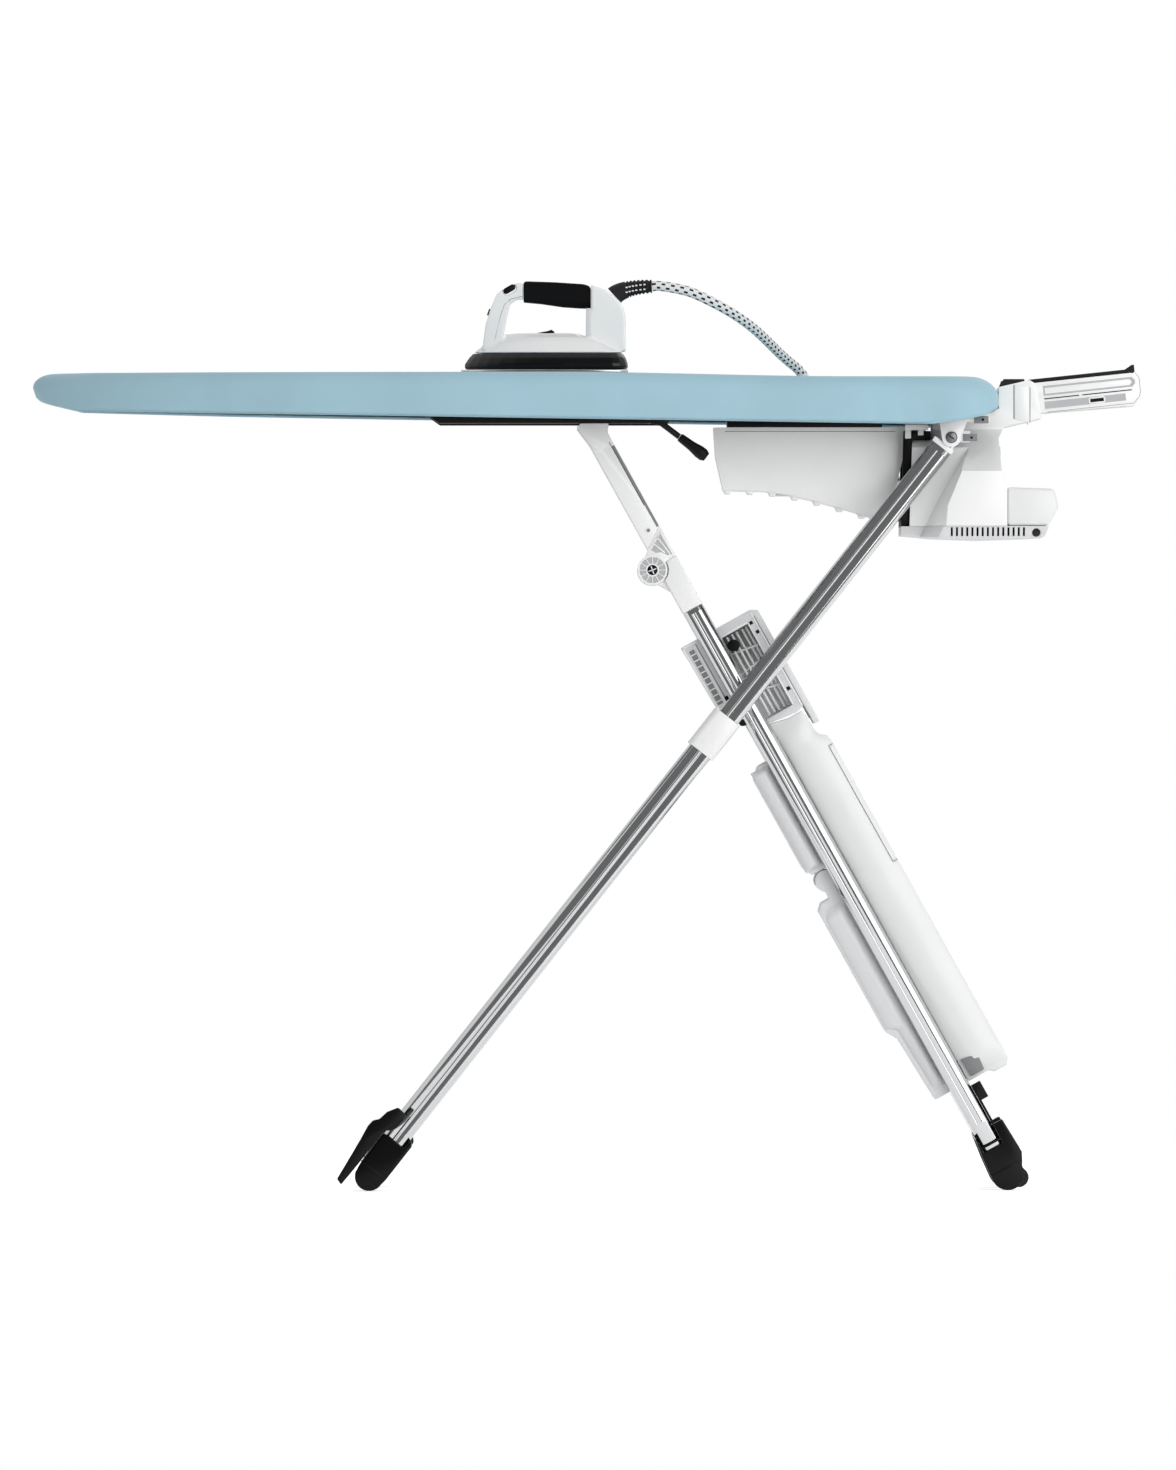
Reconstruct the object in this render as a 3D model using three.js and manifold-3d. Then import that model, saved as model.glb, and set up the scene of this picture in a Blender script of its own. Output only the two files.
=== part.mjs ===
// A folding ironing table with a suction board, a steam generator and a steam iron.
// Millimetres. +X runs from the nose to the iron rest, +Y away from the user, +Z up. The
// origin is on the floor under the middle of the table. Near means the user's side, -Y.

import * as THREE from 'three';
import { mergeVertices } from 'three/addons/utils/BufferGeometryUtils.js';
import Module from 'manifold-3d';

const wasm = await Module();
wasm.setup();

// Clearances shared by every sub-assembly
const seatGap = 0.3;
const turnGap = 0.4;
const cutOverrun = 6;

// Board
const boardLength = 1205;
const boardWidth = 420;
const boardHeight = 1018;
const boardTaperLength = 560;
const boardNoseWidth = 260;
const boardCornerRadius = 62;
const coverThickness = 2.5;
const coverTopSag = 5.5;
const coverSagFromNose = 655;
const coverSagRun = 370;
const coverShoulder = 17;
const coverNoseShoulder = 27;
const coverRearShoulder = 36;
const coverRearShoulderDrop = 29;
const coverEndRun = 90;
const coverHemLip = 14;
const coverNoseUndercut = 11;
const coverDropAtNose = 35;
const coverDropAtToe = 46;
const coverDropAtTaper = 50;
const coverDropAtRear = 63.5;
const coverDropNearEnd = 58.6;
const coverDropAtHeel = 52.4;
const coverDropAtEnd = 44;
const coverToeRun = 52;
const coverTaperRun = 246;
const coverRiseRun = 84;
const coverNearEndRun = 46;
const coverHeelRun = 15;
const foamThickness = 13;
const deckThickness = 1.5;
const deckSlotLength = 30;
const deckSlotWidth = 4;
const deckSlotPitchX = 90;
const deckSlotPitchY = 46;
const deckSlotMargin = 120;
const trayWall = 2;
const trayClearance = 1;
const trayLift = 1.5;

// Slide rails and carriage under the board
const railFromNose = 490;
const railLength = 306;
const railDrop = 63;
const railWidth = 30;
const railLip = 2;
const railCavityHeight = 4.6;
const railCavityWidth = 22;
const railSlotWidth = 11;
const railEndTaper = 18;
const railEndChamfer = 5;
const carriageTravel = 46.65;
const carriageBlockLength = 56;
const carriageNeckLength = 24;
const carriageNeckWidth = 9;
const carriagePlate = 2.6;
const carriageTopLeft = 22.4;
const carriageTopRight = 11.5;
const carriageCornerRise = 14.3;
const carriagePinRadius = 5;

// Scissor legs
const legHingeInset = 59.4;
const legHingeDrop = 81.1;
const armHingeDrop = 82.4;
const rearLegRun = 723.95;
const pivotFromHinge = 415.9;
const armRun = 181.1;
const rearFootRadius = 17.9;
const frontFootRadius = 20.6;
const tubeWidth = 24;
const tubeDepth = 26;
const tubeCorner = 8;
const tubeWall = 1.6;
const rearTubeFromEdge = 55;
const tubeSpacing = 50;
const rearTubeOffset = boardWidth / 2 - rearTubeFromEdge;
const frontTubeOffset = rearTubeOffset - tubeSpacing;

// Rear leg
const rearTubeRight = 12.3;
const rearUpperTubeWidth = 28.6;
const rearLowerTubeWidth = 30.9;
const rearPinRadius = 5;
const rearPinHeadRadius = 7;
const rearPinHeadHeight = 2;
const rearEyeRadius = 10.2;
const rearEyeLength = 13;
const rearEarRadius = 12;
const rearEarThickness = 3;
const rearEarGap = 2;
const rearEarLeft = 15;
const rearEarRight = 22;
const rearEarWeb = 3;
const tabLap = 1;
const tabUpperRun = 48;
const tabLowerRun = 23.5;
const tabLowerTop = 8.5;
const tabLowerBottom = 6;
const pivotStubRadius = 9;
const pivotGap = 1.2;
const rearSleeveStart = 29;
const rearSleeveLength = 55;
const rearSleeveWall = 3.4;
const rearFootWidth = 32;
const rearFootSocket = 54;
const rearFootProng = 68;
const rearFootShell = 6;
const rearCrossRadius = 11;
const rearCrossRise = 20;
const wrapPlateLength = 118;
const wrapPlateDepth = 20;
const wrapPlateWidth = 24;
const wrapPlateBelow = 29;

// Support arm and knee
const kneeAlong = 175.2;
const kneeOffset = 21;
const kneeDiscRadius = 18.75;
const kneeDiscWidth = 6;
const kneePinRadius = 6;
const armDepth = 27;
const armEndAtLeft = 150;
const armEndAtRight = 131;
const knuckleEnd = 173;
const knuckleTipLeft = 19.5;
const knuckleTipAlong = 155;

// Front leg
const sleeveArcGap = 1.6;
const sleeveEnd = 131;
const sleeveDepth = 27;
const kneeWebAlong = 35;
const frontTubeStop = 37;
const middleWidth = 2 * (frontTubeOffset - tubeWidth / 2 - seatGap);
const bracketStart = 95;
const bracketLeft = 37;
const bracketBase = 5;
const bracketTopWall = 14;
const bracketRightInner = 50;
const bracketRightOuter = 61;
const bracketPlate = 8.7;
const bracketPlateEnd = 68;
const bracketWeb = 30;
const casingStart = 41.2;
const casingTopRise = 10;
const casingEnd = 556;
const casingInner = 13.4;
const casingOuter = 71;
const casingWall = 3;
const coverInner = 8;
const upperCoverStart = 80;
const upperCoverEnd = 232;
const upperCoverDepth = 38;
const lowerCoverStart = 268;
const lowerCoverEnd = 551;
const lowerCoverDepth = 47;
const lowerCoverRidgeEnd = 447;
const lowerCoverSlimDepth = 34;
const coverJointRadius = 14;
const frontFootWidth = 30;
const frontFootProngLeft = 62;
const frontFootFin = 63;
const frontFootFinDepth = 27;
const frontCrossRadius = 9;
const frontCrossRise = 22;
const wheelRadius = 12.3;
const wheelWidth = 18;
const wheelBeyondFoot = 11.4;
const wheelRight = 10.2;
const wheelAxleRadius = 4;
const wheelCapRadius = 6.5;
const wheelCapHeight = 3;
const catchFromFoot = 96;
const catchLength = 22;
const catchDepth = 12.7;
const catchWidth = 20;
const catchStripDepth = 2.8;
const catchStripLength = 32;

// Height lever
const leverFromRear = 422.5;
const leverFromEdge = 25;
const leverOffset = boardWidth / 2 - leverFromEdge;
const leverTiltDegrees = 53;
const leverPivotDrop = 62;
const leverEyeRadius = 5;
const leverEyeWidth = 10;
const leverPinRadius = 3;
const leverRodRadius = 3.75;
const leverRodLength = 31;
const leverGripLength = 42;
const leverGripRadius = 8;
const leverBracketLength = 22;
const leverCheek = 3;
const leverCheekReach = 4;
const leverWeb = 1.6;

// Blower under the board
const blowerFromRear = 354.75;
const blowerLength = 241;
const blowerDepth = 120;
const blowerSideRoom = 5;
const blowerWidth = 2 * (frontTubeOffset - tubeWidth / 2 - blowerSideRoom);
const blowerDrop = 67.7;
const blowerWall = 2.5;
const blowerRibWidth = 12;
const blowerRibHeight = 4;
const blowerRibCount = 8;
const blowerRibPitch = 28;
const blowerFlangeLip = 4;
const blowerFlangeWidth = blowerWidth + 2 * blowerFlangeLip;
const blowerFlangeFront = 17;
const blowerFlangeRear = 31;
const ductLength = 110;
const ductWidth = 70;
const motorFromFront = 104;
const motorRadius = 34;
const motorHeight = 32;
const motorBossRadius = 30;
const motorBaseDrop = 137;
const shaftRadius = 4;
const shaftLength = 20;
const impellerSideRoom = 28;
const impellerRadius = blowerWidth / 2 - impellerSideRoom;
const impellerHubRadius = 10;
const impellerHeight = 22;
const impellerPlate = 2;
const impellerBladeCount = 8;
const impellerBladeThickness = 2;

// Steam generator at the rear end
const generatorFromRear = 121.5;
const generatorFaceAtTop = 107.5;
const generatorFaceAtBase = 111;
const generatorFaceTopDrop = 84;
const generatorStepRun = 82;
const generatorReach = 10;
const generatorBaseDrop = 191.4;
const generatorBaseHeight = 16;
const cheekRoom = 18;
const generatorFromEdge = 35;
const generatorNarrowWidth = 2 * (rearTubeOffset - tubeWidth / 2 - cheekRoom);
const generatorWidth = boardWidth - 2 * generatorFromEdge;
const generatorNeckWidth = 172;
const generatorShoulderDrop = 123;
const generatorNeckDrop = 70;
const generatorWall = 3;
const ductFromRear = 118.5;
const ductLean = 3.2;
const ductBarLength = 34;
const ductBarDepth = 11.5;
const ductSideRoom = 7;
const ductWide = generatorNarrowWidth - 2 * ductSideRoom;
const collarGap = 1;
const collarTopDrop = 17.4;
const collarPeakDrop = 8.6;
const collarEdgeDrop = 13.6;
const collarFootDrop = 56;
const collarHeelDrop = 67.4;
const collarPeakRun = 38.75;
const collarEdgeRun = 47.5;
const collarFootRun = 54.5;
const neckRun = 7.5;
const neckFootRun = 3.5;
const neckFootDrop = 125;
const collarCheek = 10;
const collarBackWall = 4;
const collarFloor = 5;
const ventSlotCount = 15;
const ventSlotPitch = 6.4;
const ventSlotWidth = 2.6;
const ventSlotHeight = 11;
const ventFirstFromRear = 59;
const ventSlopeIn = 15;
const glandFromRear = 46;
const glandRadius = 5;
const glandLength = 14;
const boilerRadius = 32;
const boilerSideRoom = 35;
const boilerLength = generatorNarrowWidth - 2 * boilerSideRoom;
const boilerFromRear = 72;
const boilerDrop = 138;
const boilerFootWidth = 16;
const tankReach = 64;
const tankTopDrop = 143;
const tankSideRoom = 7;
const tankWidth = generatorWidth - 2 * tankSideRoom;
const tankTongueLength = 42;
const tankTongueInset = 20;
const tankTongueWidth = tankWidth - 2 * tankTongueInset;
const tankTongueDrop = 152;
const panelWidth = 116;
const panelThickness = 3;
const panelTopDrop = 86;
const panelHeight = 34;
const buttonRadius = 8;
const buttonLength = 9;
const buttonProud = 2;
const buttonOffset = 32;
const hoseGlandFromRear = 15;
const hoseGlandDrop = 132.4;
const hoseGlandRadius = 14;
const hoseGlandHeight = 14;
const hoseNozzleRadius = 9;
const hoseNozzleLength = 28;

// Iron rest
const restReach = 180;
const restHingeRun = 31.25;
const restHingeDrop = 32.4;
const restPinRadius = 4;
const restRootRadius = 18.6;
const restTiltDegrees = 6;
const restDepth = 41;
const restLineDrop = 1.6;
const restWall = 4;
const restSideGap = 0.6;
const restPadHeight = 4.5;
const restPadWidth = 120;
const restStopHeight = 5;
const restStopLength = 18;

// Steam iron
const ironFromNose = 539;
const ironLength = 205;
const ironHeight = 116;
const ironWidth = 110;
const soleThickness = 5;
const shieldHeight = 20;
const domeHeight = 25;
const postWidth = 30;
const columnWidth = 44;
const gripWidth = 34;
const gripDepthFront = 26;
const gripDepthRear = 34;
const ovalLength = 17;
const ovalHeight = 7.2;
const ovalTiltDegrees = 30;
const ovalTravel = 1.6;
const ironButtonRadius = 4.5;
const ironButtonHeight = 5;
const ironButtonProud = 1.5;
const ironButtonTravel = 1;
const sliderLength = 20;
const sliderHeight = 2.9;
const sliderWidth = 12;
const reliefRadius = 12.5;
const reliefEndRadius = 8.4;
const reliefLength = 47;
const reliefRise = 12;

// Steam hose
const hoseDiameter = 12.5;
const hoseSides = 10;
const hoseSteps = 64;

// Places that several sub-assemblies share
const noseX = -(boardLength + restReach) / 2;
const rearX = noseX + boardLength;
const nearSide = -1;
const farSide = 1;
const roundSteps = 10;

const legHinge = { x: rearX - legHingeInset, z: boardHeight - legHingeDrop };
const rearLegLength = Math.hypot(rearLegRun, legHinge.z - rearFootRadius);
const rearLegAngle = Math.atan2(rearLegRun, legHinge.z - rearFootRadius);
const pivot = {
  x: legHinge.x - pivotFromHinge * Math.sin(rearLegAngle),
  z: legHinge.z - pivotFromHinge * Math.cos(rearLegAngle),
};
const armHingeZ = boardHeight - armHingeDrop;
const armHinge = { x: pivot.x - armRun, z: armHingeZ };
const armSpan = Math.hypot(armRun, armHingeZ - pivot.z);
const frontLegAngle = Math.atan2(pivot.x - armHinge.x, armHinge.z - pivot.z);
const frontLegLength = (pivot.z - frontFootRadius) / Math.cos(frontLegAngle);
const railBottom = boardHeight - railDrop;

// The cover's hem seen from the side, as heights at runs along the board
const hemLine = [
  [noseX, boardHeight - coverDropAtNose],
  [noseX + coverToeRun, boardHeight - coverDropAtToe],
  [noseX + coverTaperRun, boardHeight - coverDropAtTaper],
  [rearX - coverRiseRun, boardHeight - coverDropAtRear],
  [rearX - coverNearEndRun, boardHeight - coverDropNearEnd],
  [rearX - coverHeelRun, boardHeight - coverDropAtHeel],
  [rearX, boardHeight - coverDropAtEnd],
];

function hemZ(x) {
  const last = hemLine.length - 1;
  if (x <= hemLine[0][0]) return hemLine[0][1];
  if (x >= hemLine[last][0]) return hemLine[last][1];
  const after = hemLine.findIndex(([at]) => at > x);
  const [x0, z0] = hemLine[after - 1];
  const [x1, z1] = hemLine[after];
  return z0 + ((z1 - z0) * (x - x0)) / (x1 - x0);
}

// The flat top of the cover, which sinks a little towards the rear end
function topZ(x) {
  const share = THREE.MathUtils.smoothstep(
    x, noseX + coverSagFromNose, noseX + coverSagFromNose + coverSagRun,
  );
  return boardHeight - coverTopSag * share;
}

// How far the cover's shoulder runs in and down, softer at both ends of the board
function shoulderSize(x) {
  const nose = 1 - THREE.MathUtils.clamp((x - noseX) / coverEndRun, 0, 1);
  const rear = 1 - THREE.MathUtils.clamp((rearX - x) / coverEndRun, 0, 1);
  return {
    width: coverShoulder + nose * (coverNoseShoulder - coverShoulder)
      + rear * (coverRearShoulder - coverShoulder),
    drop: coverShoulder + rear * (coverRearShoulderDrop - coverShoulder),
  };
}

// The shoulder at one place, as pairs of inset and height, at a depth in the board
const shoulderShares = [[1, 0], [0.5, 0.08], [0.16, 0.34], [0, 0.85]];

function shoulderLine(x, depth) {
  const { width, drop: fall } = shoulderSize(x);
  return shoulderShares.map(([inShare, downShare]) => [
    depth + inShare * (width - depth),
    topZ(x) - depth - downShare * (fall - depth),
  ]);
}

// How far in from the plan a level piece must stay to fit under the cover at a height
function insetUnderCover(z, spare = seatGap) {
  const depth = coverThickness + spare;
  return (x) => {
    const line = shoulderLine(x, depth);
    const below = line.findIndex(([, height]) => height < z);
    if (below < 0) return Math.max(depth, coverThickness + trayClearance);
    if (below === 0) return line[0][0];
    const [[in0, z0], [in1, z1]] = [line[below - 1], line[below]];
    const at = in0 + ((in1 - in0) * (z - z0)) / (z1 - z0);
    return Math.max(at + spare, coverThickness + trayClearance);
  };
}

// The underside of the tray, which sits just above the cover's hem lip
function trayZ(x) {
  return hemZ(x) + coverThickness + trayLift;
}

// The line under the tray between two places, with a point at each bend of the hem
function underTray(fromX, toX, drop = seatGap) {
  const bends = hemLine.map(([x]) => x).filter((x) => x > fromX && x < toX);
  return [fromX, ...bends, toX].map((x) => [x, trayZ(x) - drop]);
}

// Geometry helpers

// A flat outline in X and Z, given thickness along Y
function slab(outline, [fromY, toY]) {
  const shape = new THREE.Shape(outline.map(([x, z]) => new THREE.Vector2(x, z)));
  const geometry = new THREE.ExtrudeGeometry(shape, { depth: toY - fromY, bevelEnabled: false });
  return geometry.rotateX(Math.PI / 2).translate(0, toY, 0);
}

// A flat outline in X and Y, given thickness along Z
function plank(outline, [fromZ, toZ]) {
  const shape = new THREE.Shape(outline.map(([x, y]) => new THREE.Vector2(x, y)));
  const geometry = new THREE.ExtrudeGeometry(shape, { depth: toZ - fromZ, bevelEnabled: false });
  return geometry.translate(0, 0, fromZ);
}

// A flat outline in Y and Z, given thickness along X
function crossBlock(outline, [fromX, toX]) {
  const shape = new THREE.Shape(outline.map(([y, z]) => new THREE.Vector2(y, z)));
  const geometry = new THREE.ExtrudeGeometry(shape, { depth: toX - fromX, bevelEnabled: false });
  return geometry.rotateX(Math.PI / 2).rotateZ(Math.PI / 2).translate(fromX, 0, 0);
}

function box([x0, x1], [y0, y1], [z0, z1]) {
  const geometry = new THREE.BoxGeometry(x1 - x0, y1 - y0, z1 - z0);
  return geometry.translate((x0 + x1) / 2, (y0 + y1) / 2, (z0 + z1) / 2);
}

// A round bar along Y
function bar(radius, [fromY, toY], x = 0, z = 0, sides = 16) {
  const geometry = new THREE.CylinderGeometry(radius, radius, toY - fromY, sides);
  return geometry.translate(x, (fromY + toY) / 2, z);
}

// A round bar along X
function barAlongX(radius, [fromX, toX], y, z, sides = 16) {
  const geometry = new THREE.CylinderGeometry(radius, radius, toX - fromX, sides);
  return geometry.rotateZ(Math.PI / 2).translate((fromX + toX) / 2, y, z);
}

// A round bar along Z
function post(radius, [fromZ, toZ], x = 0, y = 0, sides = 16) {
  const geometry = new THREE.CylinderGeometry(radius, radius, toZ - fromZ, sides);
  return geometry.rotateX(Math.PI / 2).translate(x, y, (fromZ + toZ) / 2);
}

// The span along Y of a piece that lies at a distance from the table's middle plane
function span(side, middle, width) {
  const centre = side * middle;
  return [centre - width / 2, centre + width / 2];
}

function spanBetween(side, inner, outer) {
  return side > 0 ? [inner, outer] : [-outer, -inner];
}

// Points on an arc about a centre, from one angle to another
function arc([cx, cz], radius, fromAngle, toAngle, steps = roundSteps) {
  return Array.from({ length: steps + 1 }, (_, i) => {
    const angle = fromAngle + ((toAngle - fromAngle) * i) / steps;
    return [cx + radius * Math.cos(angle), cz + radius * Math.sin(angle)];
  });
}

function roundedRect(width, depth, radius, steps = 3) {
  const x = width / 2 - radius;
  const y = depth / 2 - radius;
  const quarter = Math.PI / 2;
  return [
    ...arc([x, y], radius, 0, quarter, steps),
    ...arc([-x, y], radius, quarter, 2 * quarter, steps),
    ...arc([-x, -y], radius, 2 * quarter, 3 * quarter, steps),
    ...arc([x, -y], radius, 3 * quarter, 4 * quarter, steps),
  ];
}

// Moves each corner of a closed outline inwards; the distance may change along the outline
function inset(outline, distance) {
  const count = outline.length;
  const turn = Math.sign(THREE.ShapeUtils.area(outline.map(([x, y]) => new THREE.Vector2(x, y))));
  return outline.map(([x, y], i) => {
    const [x0, y0] = outline[(i + count - 1) % count];
    const [x1, y1] = outline[(i + 1) % count];
    const before = new THREE.Vector2(x - x0, y - y0).normalize();
    const after = new THREE.Vector2(x1 - x, y1 - y).normalize();
    const middle = before.clone().add(after).normalize();
    const stretch = 1 / Math.max(middle.dot(before), 0.5);
    const by = (typeof distance === 'function' ? distance(x) : distance) * stretch * turn;
    return [x - middle.y * by, y + middle.x * by];
  });
}

// A closed skin through rings of points, with a flat cap at each end
function loft(rings, capOf = capTriangles) {
  const count = rings[0].length;
  const positions = rings.flat(2);
  const index = [];
  for (let ring = 0; ring < rings.length - 1; ring += 1) {
    for (let i = 0; i < count; i += 1) {
      const a = ring * count + i;
      const b = ring * count + ((i + 1) % count);
      index.push(a, b, a + count, b, b + count, a + count);
    }
  }
  const lastRing = (rings.length - 1) * count;
  capOf(rings[0]).forEach(([a, b, c]) => index.push(a, c, b));
  capOf(rings[rings.length - 1]).forEach(([a, b, c]) => {
    index.push(lastRing + a, lastRing + b, lastRing + c);
  });
  const geometry = new THREE.BufferGeometry();
  geometry.setAttribute('position', new THREE.Float32BufferAttribute(positions, 3));
  geometry.setIndex(index);
  return signedVolume(geometry) < 0 ? flipped(geometry) : geometry;
}

// Triangles across a ring, turned the same way round as the ring's own points
function capTriangles(ring) {
  const size = new THREE.Box3().setFromPoints(ring.map((p) => new THREE.Vector3(...p)))
    .getSize(new THREE.Vector3());
  const flattest = Math.min(size.x, size.y, size.z);
  const keep = flattest === size.z ? [0, 1] : flattest === size.y ? [0, 2] : [1, 2];
  const flat = ring.map((p) => new THREE.Vector2(p[keep[0]], p[keep[1]]));
  const area = THREE.ShapeUtils.area(flat);
  return THREE.ShapeUtils.triangulateShape(flat, []).map(([a, b, c]) => {
    const doubled = (flat[b].x - flat[a].x) * (flat[c].y - flat[a].y)
      - (flat[b].y - flat[a].y) * (flat[c].x - flat[a].x);
    return doubled * area > 0 ? [a, b, c] : [a, c, b];
  });
}

function signedVolume(geometry) {
  const p = geometry.attributes.position;
  const index = geometry.index.array;
  const [a, b, c] = [new THREE.Vector3(), new THREE.Vector3(), new THREE.Vector3()];
  let six = 0;
  for (let i = 0; i < index.length; i += 3) {
    a.fromBufferAttribute(p, index[i]);
    b.fromBufferAttribute(p, index[i + 1]);
    c.fromBufferAttribute(p, index[i + 2]);
    six += a.dot(b.cross(c));
  }
  return six;
}

function flipped(geometry) {
  const index = Array.from(geometry.index.array);
  for (let i = 0; i < index.length; i += 3) {
    [index[i], index[i + 1]] = [index[i + 1], index[i]];
  }
  geometry.setIndex(index);
  return geometry;
}

function solid(geometry) {
  const bare = geometry.clone();
  bare.deleteAttribute('normal');
  bare.deleteAttribute('uv');
  const merged = mergeVertices(bare);
  return new wasm.Manifold(new wasm.Mesh({
    numProp: 3,
    vertProperties: new Float32Array(merged.attributes.position.array),
    triVerts: new Uint32Array(merged.index.array),
  }));
}

function join(...geometries) {
  return geometries.map(solid).reduce((all, one) => all.add(one));
}

function cut(body, ...tools) {
  const start = body instanceof THREE.BufferGeometry ? solid(body) : body;
  return tools.reduce((left, tool) => left.subtract(tool.isBufferGeometry ? solid(tool) : tool), start);
}

function overlap(body, ...others) {
  const start = body instanceof THREE.BufferGeometry ? solid(body) : body;
  return others.reduce((left, one) => left.intersect(one.isBufferGeometry ? solid(one) : one), start);
}

function geometryOf(manifold) {
  const mesh = manifold.getMesh();
  const geometry = new THREE.BufferGeometry();
  geometry.setAttribute('position', new THREE.Float32BufferAttribute(mesh.vertProperties, 3));
  geometry.setIndex(Array.from(mesh.triVerts));
  return geometry;
}

const finishes = {
  white: { color: 0xf1f1f0, roughness: 0.35, metalness: 0 },
  shade: { color: 0xd6d7d8, roughness: 0.4, metalness: 0 },
  black: { color: 0x1b1b1d, roughness: 0.45, metalness: 0 },
  rubber: { color: 0x202022, roughness: 0.8, metalness: 0 },
  chrome: { color: 0xc9cbce, roughness: 0.12, metalness: 1 },
  steel: { color: 0x8c8f93, roughness: 0.4, metalness: 1 },
  fabric: { color: 0x93b6c6, roughness: 0.9, metalness: 0 },
  foam: { color: 0xe4dfcf, roughness: 0.95, metalness: 0 },
  braid: { color: 0x77777a, roughness: 0.8, metalness: 0 },
};

function add(parent, name, shape, finish) {
  const geometry = shape.isBufferGeometry ? shape : geometryOf(shape);
  const mesh = new THREE.Mesh(geometry, new THREE.MeshStandardMaterial(finishes[finish]));
  mesh.name = name;
  parent.add(mesh);
}

const sides = [['near', nearSide], ['far', farSide]];

// Board: tray, perforated deck, foam and cover

// The cover's plan: a bullet nose, straight sides and a straight rear edge with round corners
function boardPlan() {
  const half = boardWidth / 2;
  const taperX = noseX + boardTaperLength;
  const side = new THREE.CubicBezierCurve(
    new THREE.Vector2(noseX, 0),
    new THREE.Vector2(noseX, boardNoseWidth / 2),
    new THREE.Vector2(noseX + boardTaperLength / 2, half),
    new THREE.Vector2(taperX, half),
  ).getPoints(14).map((p) => [p.x, p.y]);
  const stations = [
    (taperX + rearX) / 2,
    rearX - coverRiseRun - 2 * coverHemLip,
    rearX - coverRiseRun,
  ].map((x) => [x, half]);
  const corner = arc(
    [rearX - boardCornerRadius, half - boardCornerRadius], boardCornerRadius, Math.PI / 2, 0, 6,
  );
  const far = withStations([...side, ...stations, ...corner], hemLine.map(([x]) => x));
  const near = far.slice(1).reverse().map(([x, y]) => [x, -y]);
  return [...far, ...near];
}

const stationRoom = 1;

// Adds a point wherever a side line crosses one of the given places along X
function withStations(line, places) {
  return line.flatMap(([x, y], i) => {
    if (i === line.length - 1) return [[x, y]];
    const [nextX, nextY] = line[i + 1];
    const between = places.filter((at) => at > x + stationRoom && at < nextX - stationRoom);
    return [[x, y], ...between.map((at) => [at, y + ((nextY - y) * (at - x)) / (nextX - x)])];
  });
}

const plan = boardPlan();
const foamTop = boardHeight - coverThickness - seatGap;
const deckTop = foamTop - foamThickness - seatGap;
const trayRim = deckTop - deckThickness - seatGap;
const trayInset = (x) => Math.max(
  insetUnderCover(trayRim)(x), coverThickness + undercut(x) + trayClearance,
);

// The hem turns in under the tray, but not along the rear edge, where the housing passes
function lipInset(x) {
  const end = rearX - coverRiseRun;
  const start = end - 2 * coverHemLip;
  const narrow = coverThickness + trayClearance / 2;
  const fade = THREE.MathUtils.clamp((x - start) / (end - start), 0, 1);
  return coverHemLip + (narrow - coverHemLip) * fade;
}

function ringAt(distance, heightOf) {
  const moved = inset(plan, distance);
  return moved.map(([x, y]) => [x, y, heightOf(x)]);
}

// The rounded shoulder, from the flat top out and down to the side, at a depth in the board
function shoulderRings(depth) {
  return shoulderShares.map((share, i) => inset(plan, (x) => shoulderLine(x, depth)[i][0])
    .map(([x, y], at) => [x, y, shoulderLine(plan[at][0], depth)[i][1]]));
}

// Rungs across a ring whose far and near halves mirror each other, from the nose to the rear
function ladderTriangles(ring) {
  const count = ring.length;
  const triangles = [[0, 1, count - 1]];
  for (let i = 1; i < (count - 1) / 2; i += 1) {
    triangles.push([i, i + 1, count - i], [i + 1, count - i - 1, count - i]);
  }
  return triangles;
}

// How far the hem tucks in under the nose
function undercut(x) {
  const nose = 1 - THREE.MathUtils.clamp((x - noseX) / coverToeRun, 0, 1);
  return coverThickness / 2 + nose * nose * coverNoseUndercut;
}

function boardCover() {
  return loft([
    ...shoulderRings(0),
    ringAt(0, (x) => hemZ(x) + 2 * coverThickness + undercut(x)),
    ringAt((x) => undercut(x) / 3, (x) => hemZ(x) + coverThickness + undercut(x) / 3),
    ringAt(undercut, hemZ),
    ringAt((x) => lipInset(x) + undercut(x), hemZ),
    ringAt((x) => lipInset(x) + undercut(x), (x) => hemZ(x) + coverThickness),
    ringAt((x) => coverThickness + undercut(x), (x) => hemZ(x) + coverThickness),
    ringAt(coverThickness, (x) => hemZ(x) + 2 * coverThickness + undercut(x)),
    ...shoulderRings(coverThickness).reverse(),
  ], ladderTriangles);
}

// The foam keeps just inside the cover's rounded shoulder
function foamPad() {
  const depth = coverThickness + seatGap;
  const rings = shoulderRings(depth).slice(0, 3);
  const bottom = foamTop - foamThickness;
  const lowest = ringAt(insetUnderCover(bottom), () => bottom);
  const above = rings.filter((ring) => Math.min(...ring.map(([, , z]) => z)) > bottom + seatGap);
  return loft([...above, lowest], ladderTriangles);
}

function boardTray() {
  const outer = plank(inset(plan, trayInset), [0, trayRim]);
  const hollow = plank(inset(plan, (x) => trayInset(x) + trayWall), [0, trayRim + cutOverrun]);
  const above = (lift) => [
    ...underTray(noseX, rearX, -lift),
    [rearX, trayRim + 2 * cutOverrun],
    [noseX, trayRim + 2 * cutOverrun],
  ];
  const wide = [-boardWidth, boardWidth];
  const shell = cut(
    overlap(outer, slab(above(0), wide)),
    overlap(hollow, slab(above(trayWall), wide)),
  );
  return cut(shell, ductHole(0, boardHeight - deckThickness - foamThickness - boardWidth / 8));
}

// The air path from the tray down into the blower
function ductHole(fromZ, toZ) {
  const centre = rearX - blowerFromRear + motorFromFront;
  const half = ductLength / 2;
  return box([centre - half, centre + half], [-ductWidth / 2, ductWidth / 2], [fromZ, toZ]);
}

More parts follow.
